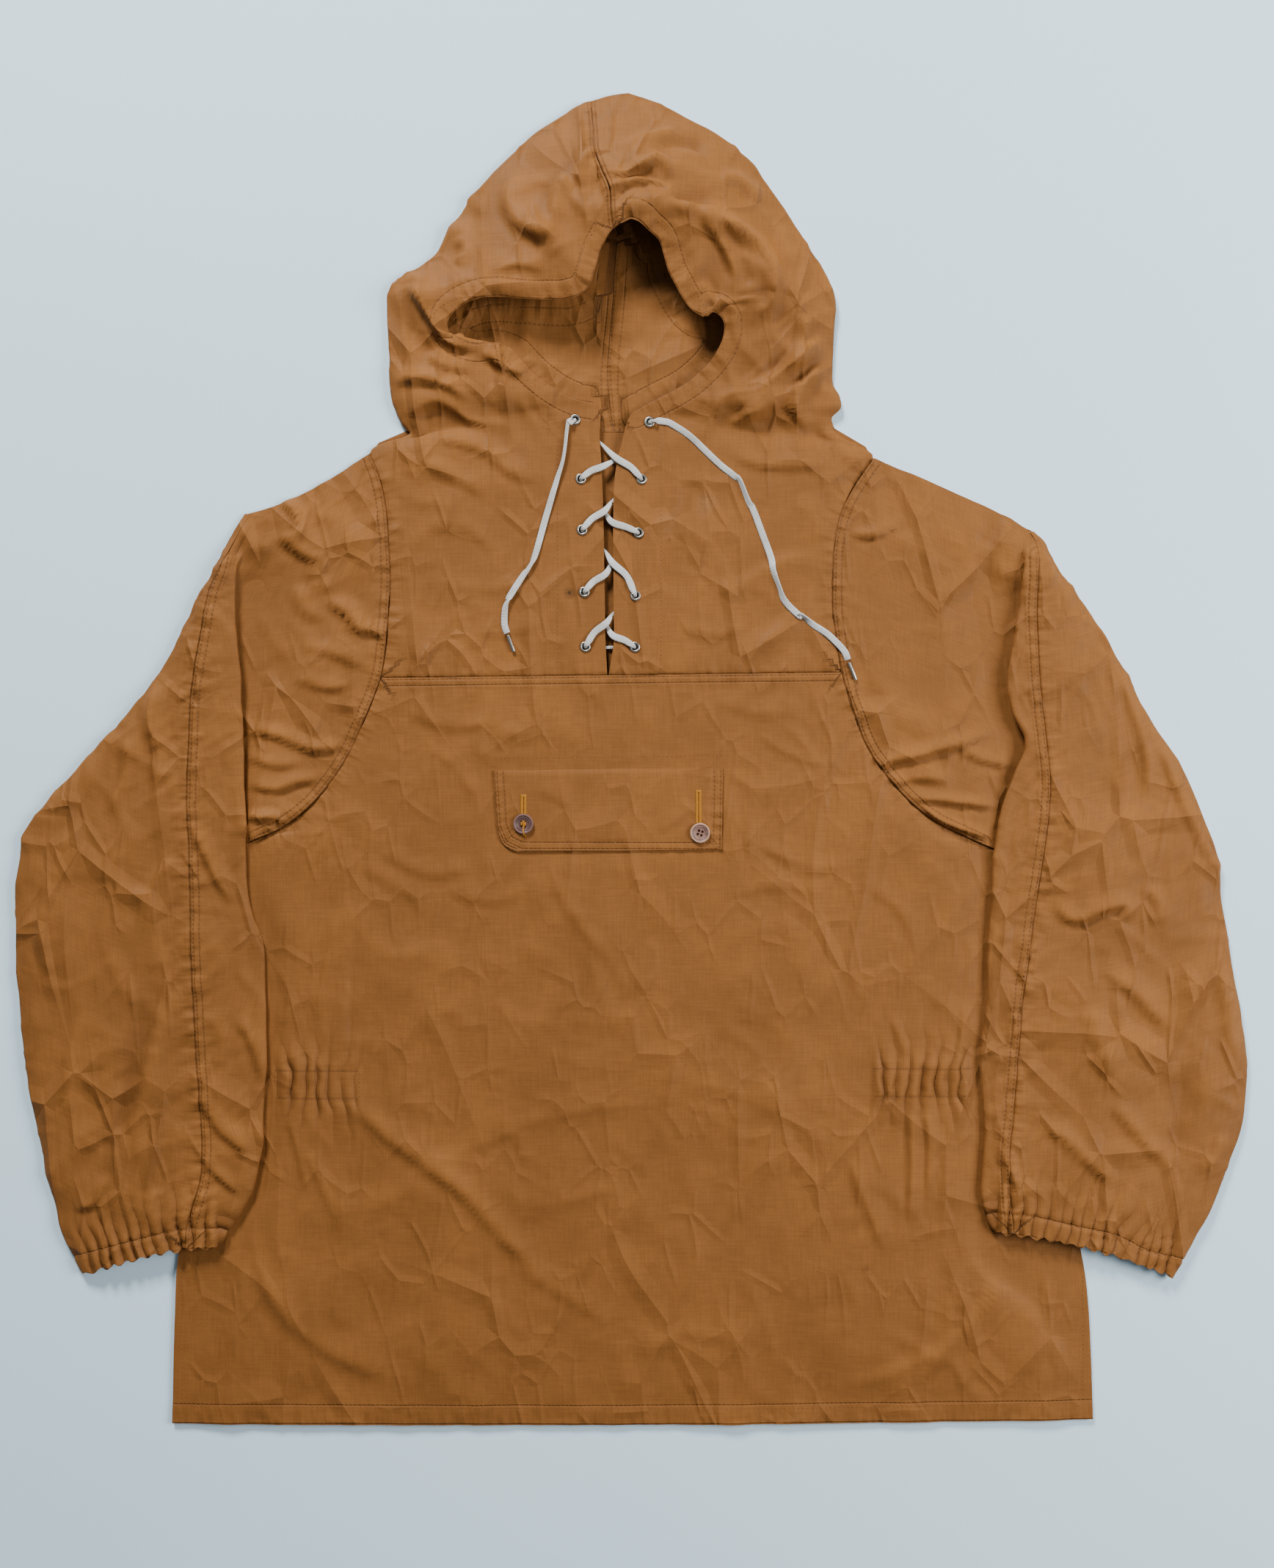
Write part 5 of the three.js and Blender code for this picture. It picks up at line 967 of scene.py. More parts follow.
def puckers(x, y, line, rise, reach, pitch, seed, slant=0.0):
    """Small dimples that a seam draws into the cloth beside it."""
    away, along, side = along_line(x, y, line)
    run = along + slant * away * side
    long = run + 1.4 * soft_noise(along, away, 30, seed)
    wave = soft_noise(long, away * 0.22 * np.sign(side) + 50, pitch, seed + 1)
    wave += 0.5 * soft_noise(long, away * 0.3, pitch * 0.55, seed + 2)
    uneven = 0.55 + 0.75 * smooth(soft_noise(along, away * 0.1, pitch * 5, seed + 3) + 0.5)
    return rise * uneven * wave * np.exp(-away / reach) * smooth(away / 1.2)


def seam_relief(x, y, line, band=SEAM_BAND, raised_side=1, pucker=0.9, reach=9.0, seed=1, slant=0.3):
    """A seam's groove, its band of turned cloth on one side, the dips at its stitch rows, and its puckers."""
    away, _, side = along_line(x, y, line)
    on_band = (side == raised_side) * smooth((band + 1.6 - away) / 1.6)
    height = 0.5 * on_band
    height -= 0.5 * np.exp(-((away / 1.2) ** 2))
    height -= 0.35 * (side == raised_side) * dip(away, band - 1.0, 0.9)
    return height + puckers(x, y, line, pucker, reach, 9.0, seed, slant)


CHEST_LINE = [tuple(LEFT_HOLE[CHEST_ROW][:2]), tuple(RIGHT_HOLE[CHEST_ROW][:2])]


def fine_line(points, steps=6):
    """A smooth line in plan through given points."""
    line = np.array([[p[0], p[1], 0.0] for p in points], dtype=float)[:, None, :]
    fine = refine(line, [steps] * (len(points) - 1), 0)[:, 0, :2]
    return [tuple(p) for p in fine]


HOLE_LINE = {"left": fine_line(LEFT_HOLE), "right": fine_line(RIGHT_HOLE)}
# the part of the armhole seam that the sleeve's fold does not cover
HOLE_SHOWN = {
    "left": [p for p in HOLE_LINE["left"] if p[0] > -277],
    "right": [p for p in HOLE_LINE["right"] if p[0] < 260],
}
OVERARM_LINE = {side: fine_line([(row[5], row[6]) for row in SLEEVES[side][2:]]) for side in SIDES}
CROWN_LINE = fine_line([(x, y) for x, y, _ in CROWN] + [(-29, 483)])
BACK_SEAM = fine_line([(-8, 386), (-10, 360), (-12, 330), (-15, 300), (-16, 270), (-14, 241)])
FACE_EDGE = {side: fine_line([(row[0], row[1]) for row in HOODS[side][NECK_ROW:]]) for side in SIDES}
SLIT_EDGE = {side: fine_line([(row[0], row[1]) for row in HOODS[side][: NECK_ROW + 1]]) for side in SIDES}
CUFF_LINE = {
    "left": fine_line([(-303, -357), (-325, -357.5), (-350, -363), (-371, -368.6), (-401, -377)]),
    "right": fine_line([(267, -346), (287, -347.5), (322, -355), (349, -361), (370, -371.5), (395, -378)]),
}
CUFF_BAND = 15


def make_front_lower():
    grid = front_lower_grid()
    # finer cells where the waist elastic draws the cloth up
    middle = grid.shape[1] - 7
    steps = [21 if i < 2 or i >= middle - 3 else 8 for i in range(middle)]
    columns = [towards(6, 0), 4, 3] + steps + [3, 4, towards(6, 1)]
    rows = [towards(12, 0)] + [9] * (grid.shape[0] - 3) + [towards(13, 1)]
    fine = refine(refine(grid, columns, 1), rows, 0)
    cloth = Cloth()
    cloth.add(fine, fine[:, :, :2].copy())
    x, y = cloth.points[:, 0], cloth.points[:, 1]
    up = cloth.normals()[:, 2]
    # where the front comes out from under the sleeves
    left_y, left_x = [row[1] for row in SIDE], [row[4] for row in SIDE]
    right_y, right_x = [row[3] for row in SIDE], [row[5] for row in SIDE]
    left = np.interp(y, left_y + [-69, -50, 0, 60], left_x + [-275, -245, -205, -176])
    right = np.interp(y, right_y + [-76, -56, 0, 64], right_x + [257, 232, 175, 150])
    free = smooth((x - left + 2) / 16) * smooth((right + 2 - x) / 16)
    ridges, cloth.drawn = gathers(x, y)
    height = (creases(BODY_CREASES, x, y) + crumple(x, y, 3) * 0.9 + ridges) * free
    # the hem: a turned band, its stitch row, and slight waves
    hem = y - np.interp(x, [-337, 0, 339], [-487, -488, -484])
    height += 0.4 * smooth((15.5 - hem) / 1.6) - 0.35 * dip(hem, HEM_ROW, 1.2)
    height += 0.8 * soft_noise(x, y * 0.2, 24, 31) * np.exp(-hem / 16)
    for side in SIDES:
        height += seam_relief(x, y, HOLE_LINE[side], raised_side=0, pucker=0.8, seed=21)
    height += seam_relief(x, y, CHEST_LINE, raised_side=-1, pucker=0.8, reach=9, seed=23, slant=0)
    # the side's turned edge near the hem
    for x0, s in ((-337, 1), (339, -1)):
        inwards = (x - x0) * s
        low = smooth((-372 - y) / 8)
        height += low * (0.3 * smooth((8.5 - inwards) / 1.4) - 0.25 * dip(inwards, SEAM_BAND, 1.1))
    # the cloth under the pocket flap stays level
    beside, beyond = np.maximum(FLAP["left"] - x, x - FLAP["right"]), np.maximum(FLAP["bottom"] - y, y - FLAP["top"])
    calm = np.maximum(beside, beyond)
    height *= np.where(calm < 12, 0.25 + 0.75 * smooth(calm / 12), 1.0)
    cloth.raise_by(height * smooth(up * 2))
    hem_line = [(-337, -487), (0, -488), (339, -484)]
    seams = [(HOLE_LINE["left"], 0), (HOLE_LINE["right"], 0), (CHEST_LINE, SEAM_ROWS[1]), (hem_line, HEM_ROW)]
    return cloth_object("lower_front_cloth", cloth, seams=seams)


def make_back():
    """The back is flat on the floor under everything else, and shows only inside the slit."""
    half = SEAM_GAP / 2
    rows = [(lx, ly, rx, ry) for lx, ly, rx, ry, _, _ in SIDE]
    left = shifted([p for i, p in enumerate(LEFT_HOLE) if i != 1], -half)
    right = shifted([p for i, p in enumerate(RIGHT_HOLE) if i != 1], half)
    rows += [(a[0], a[1], b[0], b[1]) for a, b in zip(left, right)]
    steps = [0, 0.25, 0.5, 0.75, 1]
    grid = []
    for i, (x0, y0, x1, y1) in enumerate(rows):
        sag = HEM_SAG if i == 0 else 0
        grid.append([(lerp(x0, x1, t), lerp(y0, y1, t) - sag * 4 * t * (1 - t), CLOTH_MID) for t in steps])
    neck, other = HOOD_LEFT[NECK_ROW], HOOD_RIGHT[NECK_ROW]
    under = 2.5  # the back's edge is turned under the hood's
    ends = [(neck[3] + 3, neck[4] + under), (neck[5], neck[6] + under), (other[3] - 3, other[4] + under)]
    top = [ends[0], tuple(np.mean(ends[:2], axis=0)), ends[1], tuple(np.mean(ends[1:], axis=0)), ends[2]]
    grid.append([(x, y, CLOTH_MID) for x, y in top])
    fine = refine(refine(np.array(grid, dtype=float), [10] * 4, 1), [3] * (len(grid) - 1), 0)
    fine[:, :, 2] = CLOTH_MID
    cloth = Cloth()
    cloth.add(fine, fine[:, :, :2].copy())
    return cloth_object("back_cloth", cloth)


def cells_in(counts):
    """The number of cells that the steps of refine make."""
    return sum(len(count) - 1 if isinstance(count, list) else count for count in counts)


def make_hood_side(side):
    """One upper front with its side of the hood: its face, and behind the outline the layer on the floor."""
    rows = hood_rows(side)
    front = len(FRONT_STEPS) - 1
    counts = [towards(9, 0)] + [6] * (front - 2)
    # above the neck each row runs on round the outline
    last, behind_cell = 7, 6
    whole = refine(np.array(rows[NECK_ROW:]), counts + [last] + [3] * TURN_CELLS + [behind_cell] * BACK_CELLS, 1)
    seam = cells_in(counts) + last
    upper = whole[:, : seam + 1]
    # below the neck each row has as many points as the rows above it up to the outline
    low = refine(np.array(rows[:NECK_ROW]), counts + [towards(last, 1)], 1)
    steps = [8] * NECK_ROW + [5] * (len(rows) - NECK_ROW - 1)
    steps[0] = towards(12, 0)
    face = refine(np.vstack([low, upper]), steps, 0)
    behind = refine(whole[:, seam:], steps[NECK_ROW:], 0)
    behind[:, -1 - behind_cell * BACK_CELLS :, 2] = CLOTH_MID
    cloth = Cloth()
    flip = side == "left"
    number = cloth.add(face, face[:, :, :2].copy())
    cloth.add(behind, behind[:, :, :2].copy(), share=number[cells_in(steps[:NECK_ROW]) :, -1])
    x, y = cloth.points[:, 0], cloth.points[:, 1]
    normal = cloth.normals() * (-1 if flip else 1)
    up = normal[:, 2]
    top = smooth(up * 2.5) * (cloth.points[:, 2] > 1.2)
    in_hood = smooth((y - 236) / 14)
    height = creases(UPPER_CREASES, x, y) * (1 - in_hood) + DEEPER * creases(HOOD_CREASES, x, y) * in_hood
    height += crumple(x, y, 7) * (0.9 + 1.1 * in_hood)
    edge, _, _ = along_line(x, y, SLIT_EDGE[side])
    height *= 0.3 + 0.7 * smooth((edge - 10) / 24)
    height += seam_relief(x, y, HOLE_LINE[side], raised_side=0, pucker=0.8, seed=21) * (1 - in_hood)
    height += seam_relief(x, y, CHEST_LINE, raised_side=0, pucker=0.8, reach=9, seed=23, slant=0) * (1 - in_hood)
    height += seam_relief(x, y, CROWN_LINE, band=6, raised_side=-1 if side == "left" else 1, pucker=1.1, seed=25)
    height -= 0.35 * dip(x, FACING[side], 1.1) * smooth((238 - y) / 10)
    brim, along, _ = along_line(x, y, FACE_EDGE[side])
    hem = smooth((y - 262) / 8)
    height += hem * (0.5 * smooth((13.5 - brim) / 1.6) - 0.3 * dip(brim, 12, 1.1))
    height += hem * soft_noise(along, brim * 0.3, 11, 41) * np.exp(-brim / 12) * smooth(brim / 2)
    cloth.raise_by(height * top, -1 if flip else 1)
    # the hood's own back lies on the floor, and its inside shows through the face opening
    below = (cloth.points[:, 2] < 0.9) & (normal[:, 2] < -0.5)
    away, _, _ = along_line(x, y, BACK_SEAM)
    inside = creases(INSIDE_CREASES, x, y) + 0.9 * crumple(x, y, 12) + 0.5
    inside += 0.5 * smooth((7.5 - away) / 1.4) - 0.5 * dip(away, 6, 0.9) + 0.2
    inside += puckers(x, y, BACK_SEAM, 0.5, 8, 7, 43)
    inside *= smooth((edge_distance(x, y, side) - 6) / 14)
    inside = lerp(1.2 if side == "left" else 1.5, inside, smooth((away - 1) / 3))
    inside = lerp(0.5, inside, smooth((y - 243) / 9))
    cloth.points[below, 2] += np.maximum(inside, 0)[below]
    cloth.relief[below] = inside[below] * 1.2
    seams = [(HOLE_LINE[side], 0), (CHEST_LINE, 0), (CROWN_LINE, 2.5), (FACE_EDGE[side], 12.5), (BACK_SEAM, 6)]
    return cloth_object(f"upper_front_hood_{side}", cloth, flip=flip, seams=seams)


def edge_distance(x, y, side):
    """Distance to the hood's outline in plan."""
    away, _, _ = along_line(x, y, fine_line([(row[3], row[4]) for row in HOODS[side][NECK_ROW:]]))
    return away


def cuff_gathers(x, y, side):
    """The cuff's elastic draws the cloth into small ridges along the arm."""
    away, along, _ = along_line(x, y, CUFF_LINE[side])
    wander = 3.0 * soft_noise(along, away, 24, 51)
    turn = (along + wander) * math.pi / 8.5
    share = 0.8 + 0.6 * soft_noise(along, away * 0, 17, 52)
    share = share * np.where(away < CUFF_BAND, 0.9, np.exp(-(away - CUFF_BAND) / 18))
    drawn = np.stack([turn, share, np.ones(len(x))], axis=1)
    return 4.3 * share * (np.abs(np.sin(turn)) ** 0.7 - 0.4), away, drawn


def cuff_edge(points, side):
    """The drawn-up cloth makes the cuff's end uneven in plan too."""
    away, along, _ = along_line(points[:, 0], points[:, 1], CUFF_LINE[side])
    turn = along * 2 * math.pi / 10.5 + 2 * soft_noise(along, away * 0, 30, 53)
    points[:, 1] += 1.7 * np.sin(turn) * np.exp(-away / 5)


def sleeve_relief(x, y, side, top):
    """The relief of a sleeve where top says that it shows, and what the material needs to draw the cuff."""
    height = DEEPER * creases(SLEEVE_CREASES, x, y) + crumple(x, y, 17) * 1.5
    ridges, away, drawn = cuff_gathers(x, y, side)
    height *= 0.35 + 0.65 * smooth((away - CUFF_BAND) / 30)
    height += ridges - 0.9 * dip(away, CUFF_BAND, 1.4) + 0.3 * smooth((CUFF_BAND - away) / 2)
    line = OVERARM_LINE[side]
    sleeve_side = 1 if side == "left" else -1
    height += seam_relief(x, y, line, raised_side=sleeve_side, pucker=1.5, reach=15, seed=27, slant=0.7)
    height += seam_relief(x, y, HOLE_SHOWN[side], raised_side=sleeve_side, pucker=0.9, reach=11, seed=21)
    return height * top, drawn


def make_sleeve(side):
    """The front half and the back half of a sleeve, which meet at the seam along the arm."""
    grid = sleeve_grid(side)
    sign = -1 if side == "right" else 1
    counts = [towards(18, 0), 14] + [2] * TURN_A + [1, 4, 5] + [3] * TURN_B
    counts += [4] * (TOP_C - 1) + [towards(7, 1)]
    beyond = [towards(17, 0)] + [13] * (TOP_D - 1) + [3] * TURN_E + [5] * UNDER_F
    pleat_steps = 18 + 14 + 2 * TURN_A

    def cut(direction):
        copy = grid.copy()
        step = grid[:, OVER + direction] - grid[:, OVER]
        copy[:, OVER] += step / np.linalg.norm(step, axis=1)[:, None] * SEAM_GAP / 2
        return copy

    row_steps = [9] * (grid.shape[0] - 1)
    row_steps[-1] = 12
    # front half
    near = cut(-1)[:, : OVER + 1]
    upper = refine(near[: ARMPIT_ROW + 1], counts, 1)
    lower = refine(near[ARMPIT_ROW + 1 :, START_B:], counts[START_B:], 1)
    main = refine(np.vstack([upper[:, pleat_steps:], lower]), row_steps, 0)
    pleat = refine(upper[:, : pleat_steps + 1], row_steps[:ARMPIT_ROW], 0)
    half = Cloth()
    number = half.add(main, run_of(main))
    mirrored = pleat[:, ::-1]
    run = run_of(mirrored)
    run[:, :, 0] *= -1
    half.add(mirrored, run, share=number[: len(pleat), 0])
    half.faces[1] = half.faces[1][:, ::-1]
    cuff_edge(half.points, side)
    x, y = half.points[:, 0], half.points[:, 1]
    up = half.normals()[:, 2] * sign
    # what shows: the top, and the layer that runs from the armhole seam into the pleat
    is_pleat = np.zeros(len(x), dtype=bool)
    is_pleat[number.max() + 1 :] = True
    fold = np.interp(-y, [-row[2] for row in SLEEVES[side]], [row[1] for row in SLEEVES[side]])
    under_fold = np.where(is_pleat, smooth((fold - x if side == "right" else x - fold) / 8 + 0.4), 1.0)
    height, half.drawn = sleeve_relief(x, y, side, smooth(up * 2.5) * under_fold)
    half.raise_by(height, sign)
    seams = [(HOLE_SHOWN[side], SEAM_ROWS[1]), (OVERARM_LINE[side], SEAM_ROWS[1]), (CUFF_LINE[side], CUFF_BAND)]
    near_piece = cloth_object(f"sleeve_{side}_front_cloth", half, flip=sign < 0, seams=seams)
    # back half
    far = cut(1)[:, OVER:]
    wide = refine(refine(far, beyond, 1), row_steps, 0)
    wide[:, -1 - 5 * UNDER_F :, 2] = CLOTH_MID
    other = Cloth()
    other.add(wide, run_of(wide))
    cuff_edge(other.points, side)
    x, y = other.points[:, 0], other.points[:, 1]
    up = other.normals()[:, 2] * sign
    height, other.drawn = sleeve_relief(x, y, side, smooth(up * 2.5))
    other.raise_by(height, sign)
    seams[1] = (OVERARM_LINE[side], 0)
    far_piece = cloth_object(f"sleeve_{side}_back_cloth", other, flip=sign < 0, seams=seams)
    return near_piece, far_piece


# ---- what lies on the cloth


def lie_of(pieces):
    """A tree of the pieces' faces, to find where something lies on them."""
    points, faces = [], []
    for piece in pieces:
        start = len(points)
        points += [v.co for v in piece.data.vertices]
        faces += [[start + k for k in f.vertices] for f in piece.data.polygons]
    return BVHTree.FromPolygons(points, faces)


def to_metres(x, y, z=0.0):
    """A place in mm in the photo's plane as Blender has it."""
    return x * MM, (y + CENTRE_SHIFT) * MM, z * MM


def drop(tree, x, y):
    """The height in mm of the top of the cloth at a place in the photo's frame, and its normal."""
    above = 80  # higher than anything on the floor
    hit, normal, _, _ = tree.ray_cast(Vector(to_metres(x, y, above)), Vector((0, 0, -1)))
    if hit is None:
        return 0.0, Vector((0, 0, 1))
    return hit.z * 1000, normal if normal.z > 0 else -normal


def spaced(points, step):
    """Points at an even distance along a smooth curve through points of any dimension."""
    points = np.array(points, dtype=float)
    fine = refine(points[:, None, :], [24] * (len(points) - 1), 0)[:, 0]
    run = run_lengths(fine[:, :3])
    count = max(2, int(round(run[-1] / step)))
    places = np.linspace(0, run[-1], count + 1)
    return np.stack([np.interp(places, run, fine[:, k]) for k in range(fine.shape[1])], axis=1)


# The flat lace, in mm
LACE_WIDTH = 4.8
LACE_THICK = 1.1
SLIM_WIDTH = 2.3
SLIM_THICK = 1.4
LACE_CLEAR = 0.35
EDGE_MARGIN = 0.9

# Each visible strand of the lacing. side (-1 left, 1 right), pair below it, middle x, y,
# y where it leaves its own flap, y where it dives, extra lift
STRANDS = [
    (-1, 0, -27, 93, 100, 107, 0.4), (1, 0, -4, 87, 91, 99, 0), (-1, 1, -28, 130, 136, 145, 0),
    (1, 1, -3, 134, 144.5, 153, 0.4), (-1, 2, -29, 176, 182, 190, 0.4), (1, 2, -3, 170, 174, 182.5, 0),
    (-1, 3, -30, 211, 214.5, 221.5, 0), (1, 3, 1, 213, 220.5, 232, 0.4),
]

# The free ends, in metres, from the top eyelet down to the aglet. x, y, and the lace's turn in degrees
LACE_LEFT = [
    (-0.0470, 0.2410, 60), (-0.0490, 0.2240, 62), (-0.0540, 0.2060, 40), (-0.0585, 0.1910, 22),
    (-0.0640, 0.1720, 10), (-0.0690, 0.1540, 18), (-0.0740, 0.1420, 52), (-0.0800, 0.1335, 20),
    (-0.0860, 0.1240, 8), (-0.0900, 0.1170, 60), (-0.0925, 0.1080, 20), (-0.0927, 0.0990, 6), (-0.0908, 0.0925, 20),
]
LACE_RIGHT = [
    (0.0200, 0.2480, 6), (0.0260, 0.2473, 8), (0.0340, 0.2430, 12), (0.0450, 0.2350, 20), (0.0535, 0.2270, 12),
    (0.0640, 0.2170, 8), (0.0750, 0.2080, 24), (0.0810, 0.2010, 55), (0.0845, 0.1920, 48), (0.0910, 0.1790, 6),
    (0.0960, 0.1655, 10), (0.1015, 0.1505, 8), (0.1040, 0.1380, 36), (0.1080, 0.1270, 58), (0.1125, 0.1160, 24),
    (0.1185, 0.1095, 4), (0.1270, 0.1040, 60), (0.1345, 0.0980, 22), (0.1450, 0.0910, 8), (0.1540, 0.0820, 4),
    (0.1586, 0.0730, 26),
]
AGLET_LEFT = ((-90.2, 91.0), (-86.0, 79.0))
AGLET_RIGHT = ((159.4, 71.0), (164.4, 58.5))
AGLET_WIDTH = 3.4
AGLET_THICK = 1.6


def eyelet_node(side, pair):
    return f"eyelet_{'left' if side < 0 else 'right'}_{pair + 1}"


def eyelet_place(side, pair):
    """Where an eyelet is in plan, and the heights of its foot and top."""
    x, y = EYELETS[pair][0:2] if side < 0 else EYELETS[pair][2:4]
    low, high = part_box(eyelet_node(side, pair))
    return {"at": np.array([x, y]), "foot": low[2] * 1000, "top": high[2] * 1000}


def up_through(eye, come, go):
    """The lace's points through an eyelet from below. come and go are its directions in plan."""
    at, foot, top = eye["at"], eye["foot"], eye["top"]
    low = foot - LACE_CLEAR - SLIM_THICK / 2
    high = top + LACE_CLEAR + SLIM_THICK / 2
    near, far = at + go * 1.4, at + go * 4
    start = at - come * 1.5
    return [
        (start[0], start[1], low, SLIM_WIDTH),
        (at[0], at[1], foot + 0.5, SLIM_WIDTH),
        (at[0], at[1], top - 0.3, SLIM_WIDTH),
        (near[0], near[1], high, SLIM_WIDTH + 1.0),
        (far[0], far[1], high + 0.2, LACE_WIDTH - 0.4),
    ]


def slit_edge_x(side, y):
    edge = SLIT_EDGE["left" if side < 0 else "right"]
    return float(np.interp(y, [p[1] for p in edge], [p[0] for p in edge]))


def unit(vector):
    return vector / (np.linalg.norm(vector) + 1e-9)


def lacing_way(tree, side):
    """The lace from a bottom eyelet to its top eyelet, first up out of each eyelet, then down into the slit."""
    points = []
    come = np.array([side * 1.0, 0.0])
    eye = eyelet_place(side, 0)
    for pair in range(4):
        _, _, mx, my, leave, dive, lift = next(r for r in STRANDS if r[0] == side and r[1] == pair)
        middle = np.array([mx, my])
        points += up_through(eye, come, unit(middle - eye["at"]))
        high, _ = drop(tree, mx, my)
        points.append((mx, my, high + LACE_CLEAR + 0.7 + lift * 0.3, LACE_WIDTH))
        own = slit_edge_x(side, leave) - side * EDGE_MARGIN
        edge_high, _ = drop(tree, slit_edge_x(side, leave) + side * 2.5, leave)
        points.append((own, leave, edge_high + LACE_CLEAR + 0.7 + lift, LACE_WIDTH))
        target = eyelet_place(-side, pair + 1)
        other = slit_edge_x(-side, dive) + side * 0.63
        under = target["foot"] - 0.95
        points.append((other, dive, under, SLIM_WIDTH))
        on = lerp(np.array([other, dive]), target["at"], 0.4)
        points.append((on[0], on[1], under - 0.3, SLIM_WIDTH))
        come = unit(target["at"] - on)
        side, eye = -side, target
    return points, come, eye, side


def lacing_points(tree):
    """The whole lacing: from the top right eyelet down one way, over the bottom bar, up to the top left one."""
    ways = []
    for first in (-1, 1):
        points, come, eye, side = lacing_way(tree, first)
        free = LACE_LEFT[0] if side < 0 else LACE_RIGHT[0]
        go = unit(np.array(free[:2]) * 1000 - eye["at"])
        points += up_through(eye, come, go)[:4]
        ways.append(points)
    bar = (-15.5, 82.5, eyelet_place(-1, 0)["foot"] - 1.6, SLIM_WIDTH)
    return ways[1][::-1] + [bar] + ways[0]


def ring_faces(count, sides):
    """The faces of a closed tube of rings, with its two ends."""
    number = np.arange(count * sides).reshape(count, sides)
    a, b = number[:-1], np.roll(number[:-1], -1, axis=1)
    c, d = np.roll(number[1:], -1, axis=1), number[1:]
    faces = np.stack([a, b, c, d], axis=2).reshape(-1, 4).tolist()
    return faces + [number[0][::-1].tolist(), number[-1].tolist()]


def ribbon(name, points, thick=LACE_THICK, rings=14, step=0.8):
    """A flat lace along points of (x, y, z, width, turn in degrees). It stays level where its turn is 0."""
    path = spaced([p if len(p) > 4 else (*p, 0.0) for p in points], step)
    centre, wide, roll = path[:, :3], path[:, 3], np.radians(path[:, 4])
    count = len(path)
    along = np.gradient(centre, axis=0)
    along /= np.linalg.norm(along, axis=1)[:, None]
    plan = along[:, :2].copy()
    for _ in range(3):
        plan[1:-1] = plan[1:-1] * 0.5 + (plan[:-2] + plan[2:]) * 0.25
    side = np.stack([-plan[:, 1], plan[:, 0], np.zeros(count)], axis=1)
    side -= along * (side * along).sum(axis=1)[:, None]
    side /= np.linalg.norm(side, axis=1)[:, None] + 1e-9
    up = np.cross(along, side)
    turned = side * np.cos(roll)[:, None] + up * np.sin(roll)[:, None]
    up = np.cross(along, turned)
    run = run_lengths(centre)
    vertices, thread = [], []
    for k in range(rings):
        angle = 2 * math.pi * (k + 0.5) / rings
        c, d = math.cos(angle), math.sin(angle)
        # the plaited edge is slightly scalloped
        scallop = 1 + 0.035 * np.sin(run * 2 * math.pi / 2.1) * abs(c)
        across = math.copysign(abs(c) ** 0.55, c) * wide / 2 * scallop
        narrow = np.clip(wide / LACE_WIDTH, 0.4, 1)
        over = math.copysign(abs(d) ** 0.7, d) * (thick + (1 - narrow) * 0.5) / 2
        vertices.append(centre + turned * across[:, None] + up * over[:, None])
        thread.append(np.stack([across, run], axis=1))
    vertices = np.stack(vertices, axis=1).reshape(-1, 3)
    thread = np.stack(thread, axis=1).reshape(-1, 2)
    return face_out(mesh_object(name, vertices, ring_faces(count, rings), thread)), centre


def face_out(piece):
    """Turns the faces of a closed piece outwards."""
    work = bmesh.new()
    work.from_mesh(piece.data)
    bmesh.ops.recalc_face_normals(work, faces=work.faces)
    work.to_mesh(piece.data)
    work.free()
    return piece


def lying_height(tree, x, y, direction, half):
    """The height of the highest cloth under a strip across a direction."""
    across = np.array([-direction[1], direction[0]])
    shares = (-1, -0.5, 0, 0.5, 1)
    return max(drop(tree, x + across[0] * t * half, y + across[1] * t * half)[0] for t in shares)


def free_end_points(tree, last, before, places):
    """The points of a free end of the lace, lying on the cloth from the top eyelet to the aglet."""
    last, before = np.array(last[:3]), np.array(before[:3])
    start = unit(last - before)
    first = last + start * 0.45
    aim = unit(np.array([places[0][0] * 1000 - last[0], places[0][1] * 1000 - last[1], 0.0]))
    second = first + start * 1.6 + aim * 1.2
    points = [(*first, SLIM_WIDTH, 0.0), (*second, SLIM_WIDTH, 10.0)]
    line = spaced([(x * 1000, y * 1000, 0.0, turn) for x, y, turn in places], 3.5)
    heights = []
    for k, (x, y, _, turn) in enumerate(line):
        direction = unit(line[min(k + 1, len(line) - 1)][:2] - line[max(k - 1, 0)][:2])
        level = math.cos(math.radians(turn))
        high = lying_height(tree, x, y, direction, LACE_WIDTH / 2 * level)
        heights.append(high + 0.12 + LACE_THICK / 2 + (1 - level) * LACE_WIDTH * 0.32)
    heights = np.array(heights)
    for _ in range(2):
        heights[1:-1] = np.maximum(heights[1:-1], (heights[:-2] + heights[2:]) / 2)
    for (x, y, _, turn), z in zip(line, heights):
        points.append((x, y, z, LACE_WIDTH, turn))
    return points


def tip_points(tree, places):
    """The middle line of an aglet lying on the cloth, nearly level."""
    (x0, y0), (x1, y1) = places
    direction = unit(np.array([x1 - x0, y1 - y0]))
    points = []
    for t in (0, 0.5, 1):
        x, y = lerp(x0, x1, t), lerp(y0, y1, t)
        points.append((x, y, lying_height(tree, x, y, direction, AGLET_WIDTH / 2) + 0.2 + AGLET_THICK / 2))
    level = max(p[2] for p in points)
    return [(p[0], p[1], lerp(p[2], level, 0.6)) for p in points]


def deselect():
    bpy.ops.object.select_all(action="DESELECT")


def apply_place():
    bpy.ops.object.transform_apply(location=True, rotation=True, scale=True)


def join_into(first, others):
    """Joins objects into the first one."""
    deselect()
    for item in (first, *others):
        item.select_set(True)
    bpy.context.view_layer.objects.active = first
    bpy.ops.object.join()
    return first


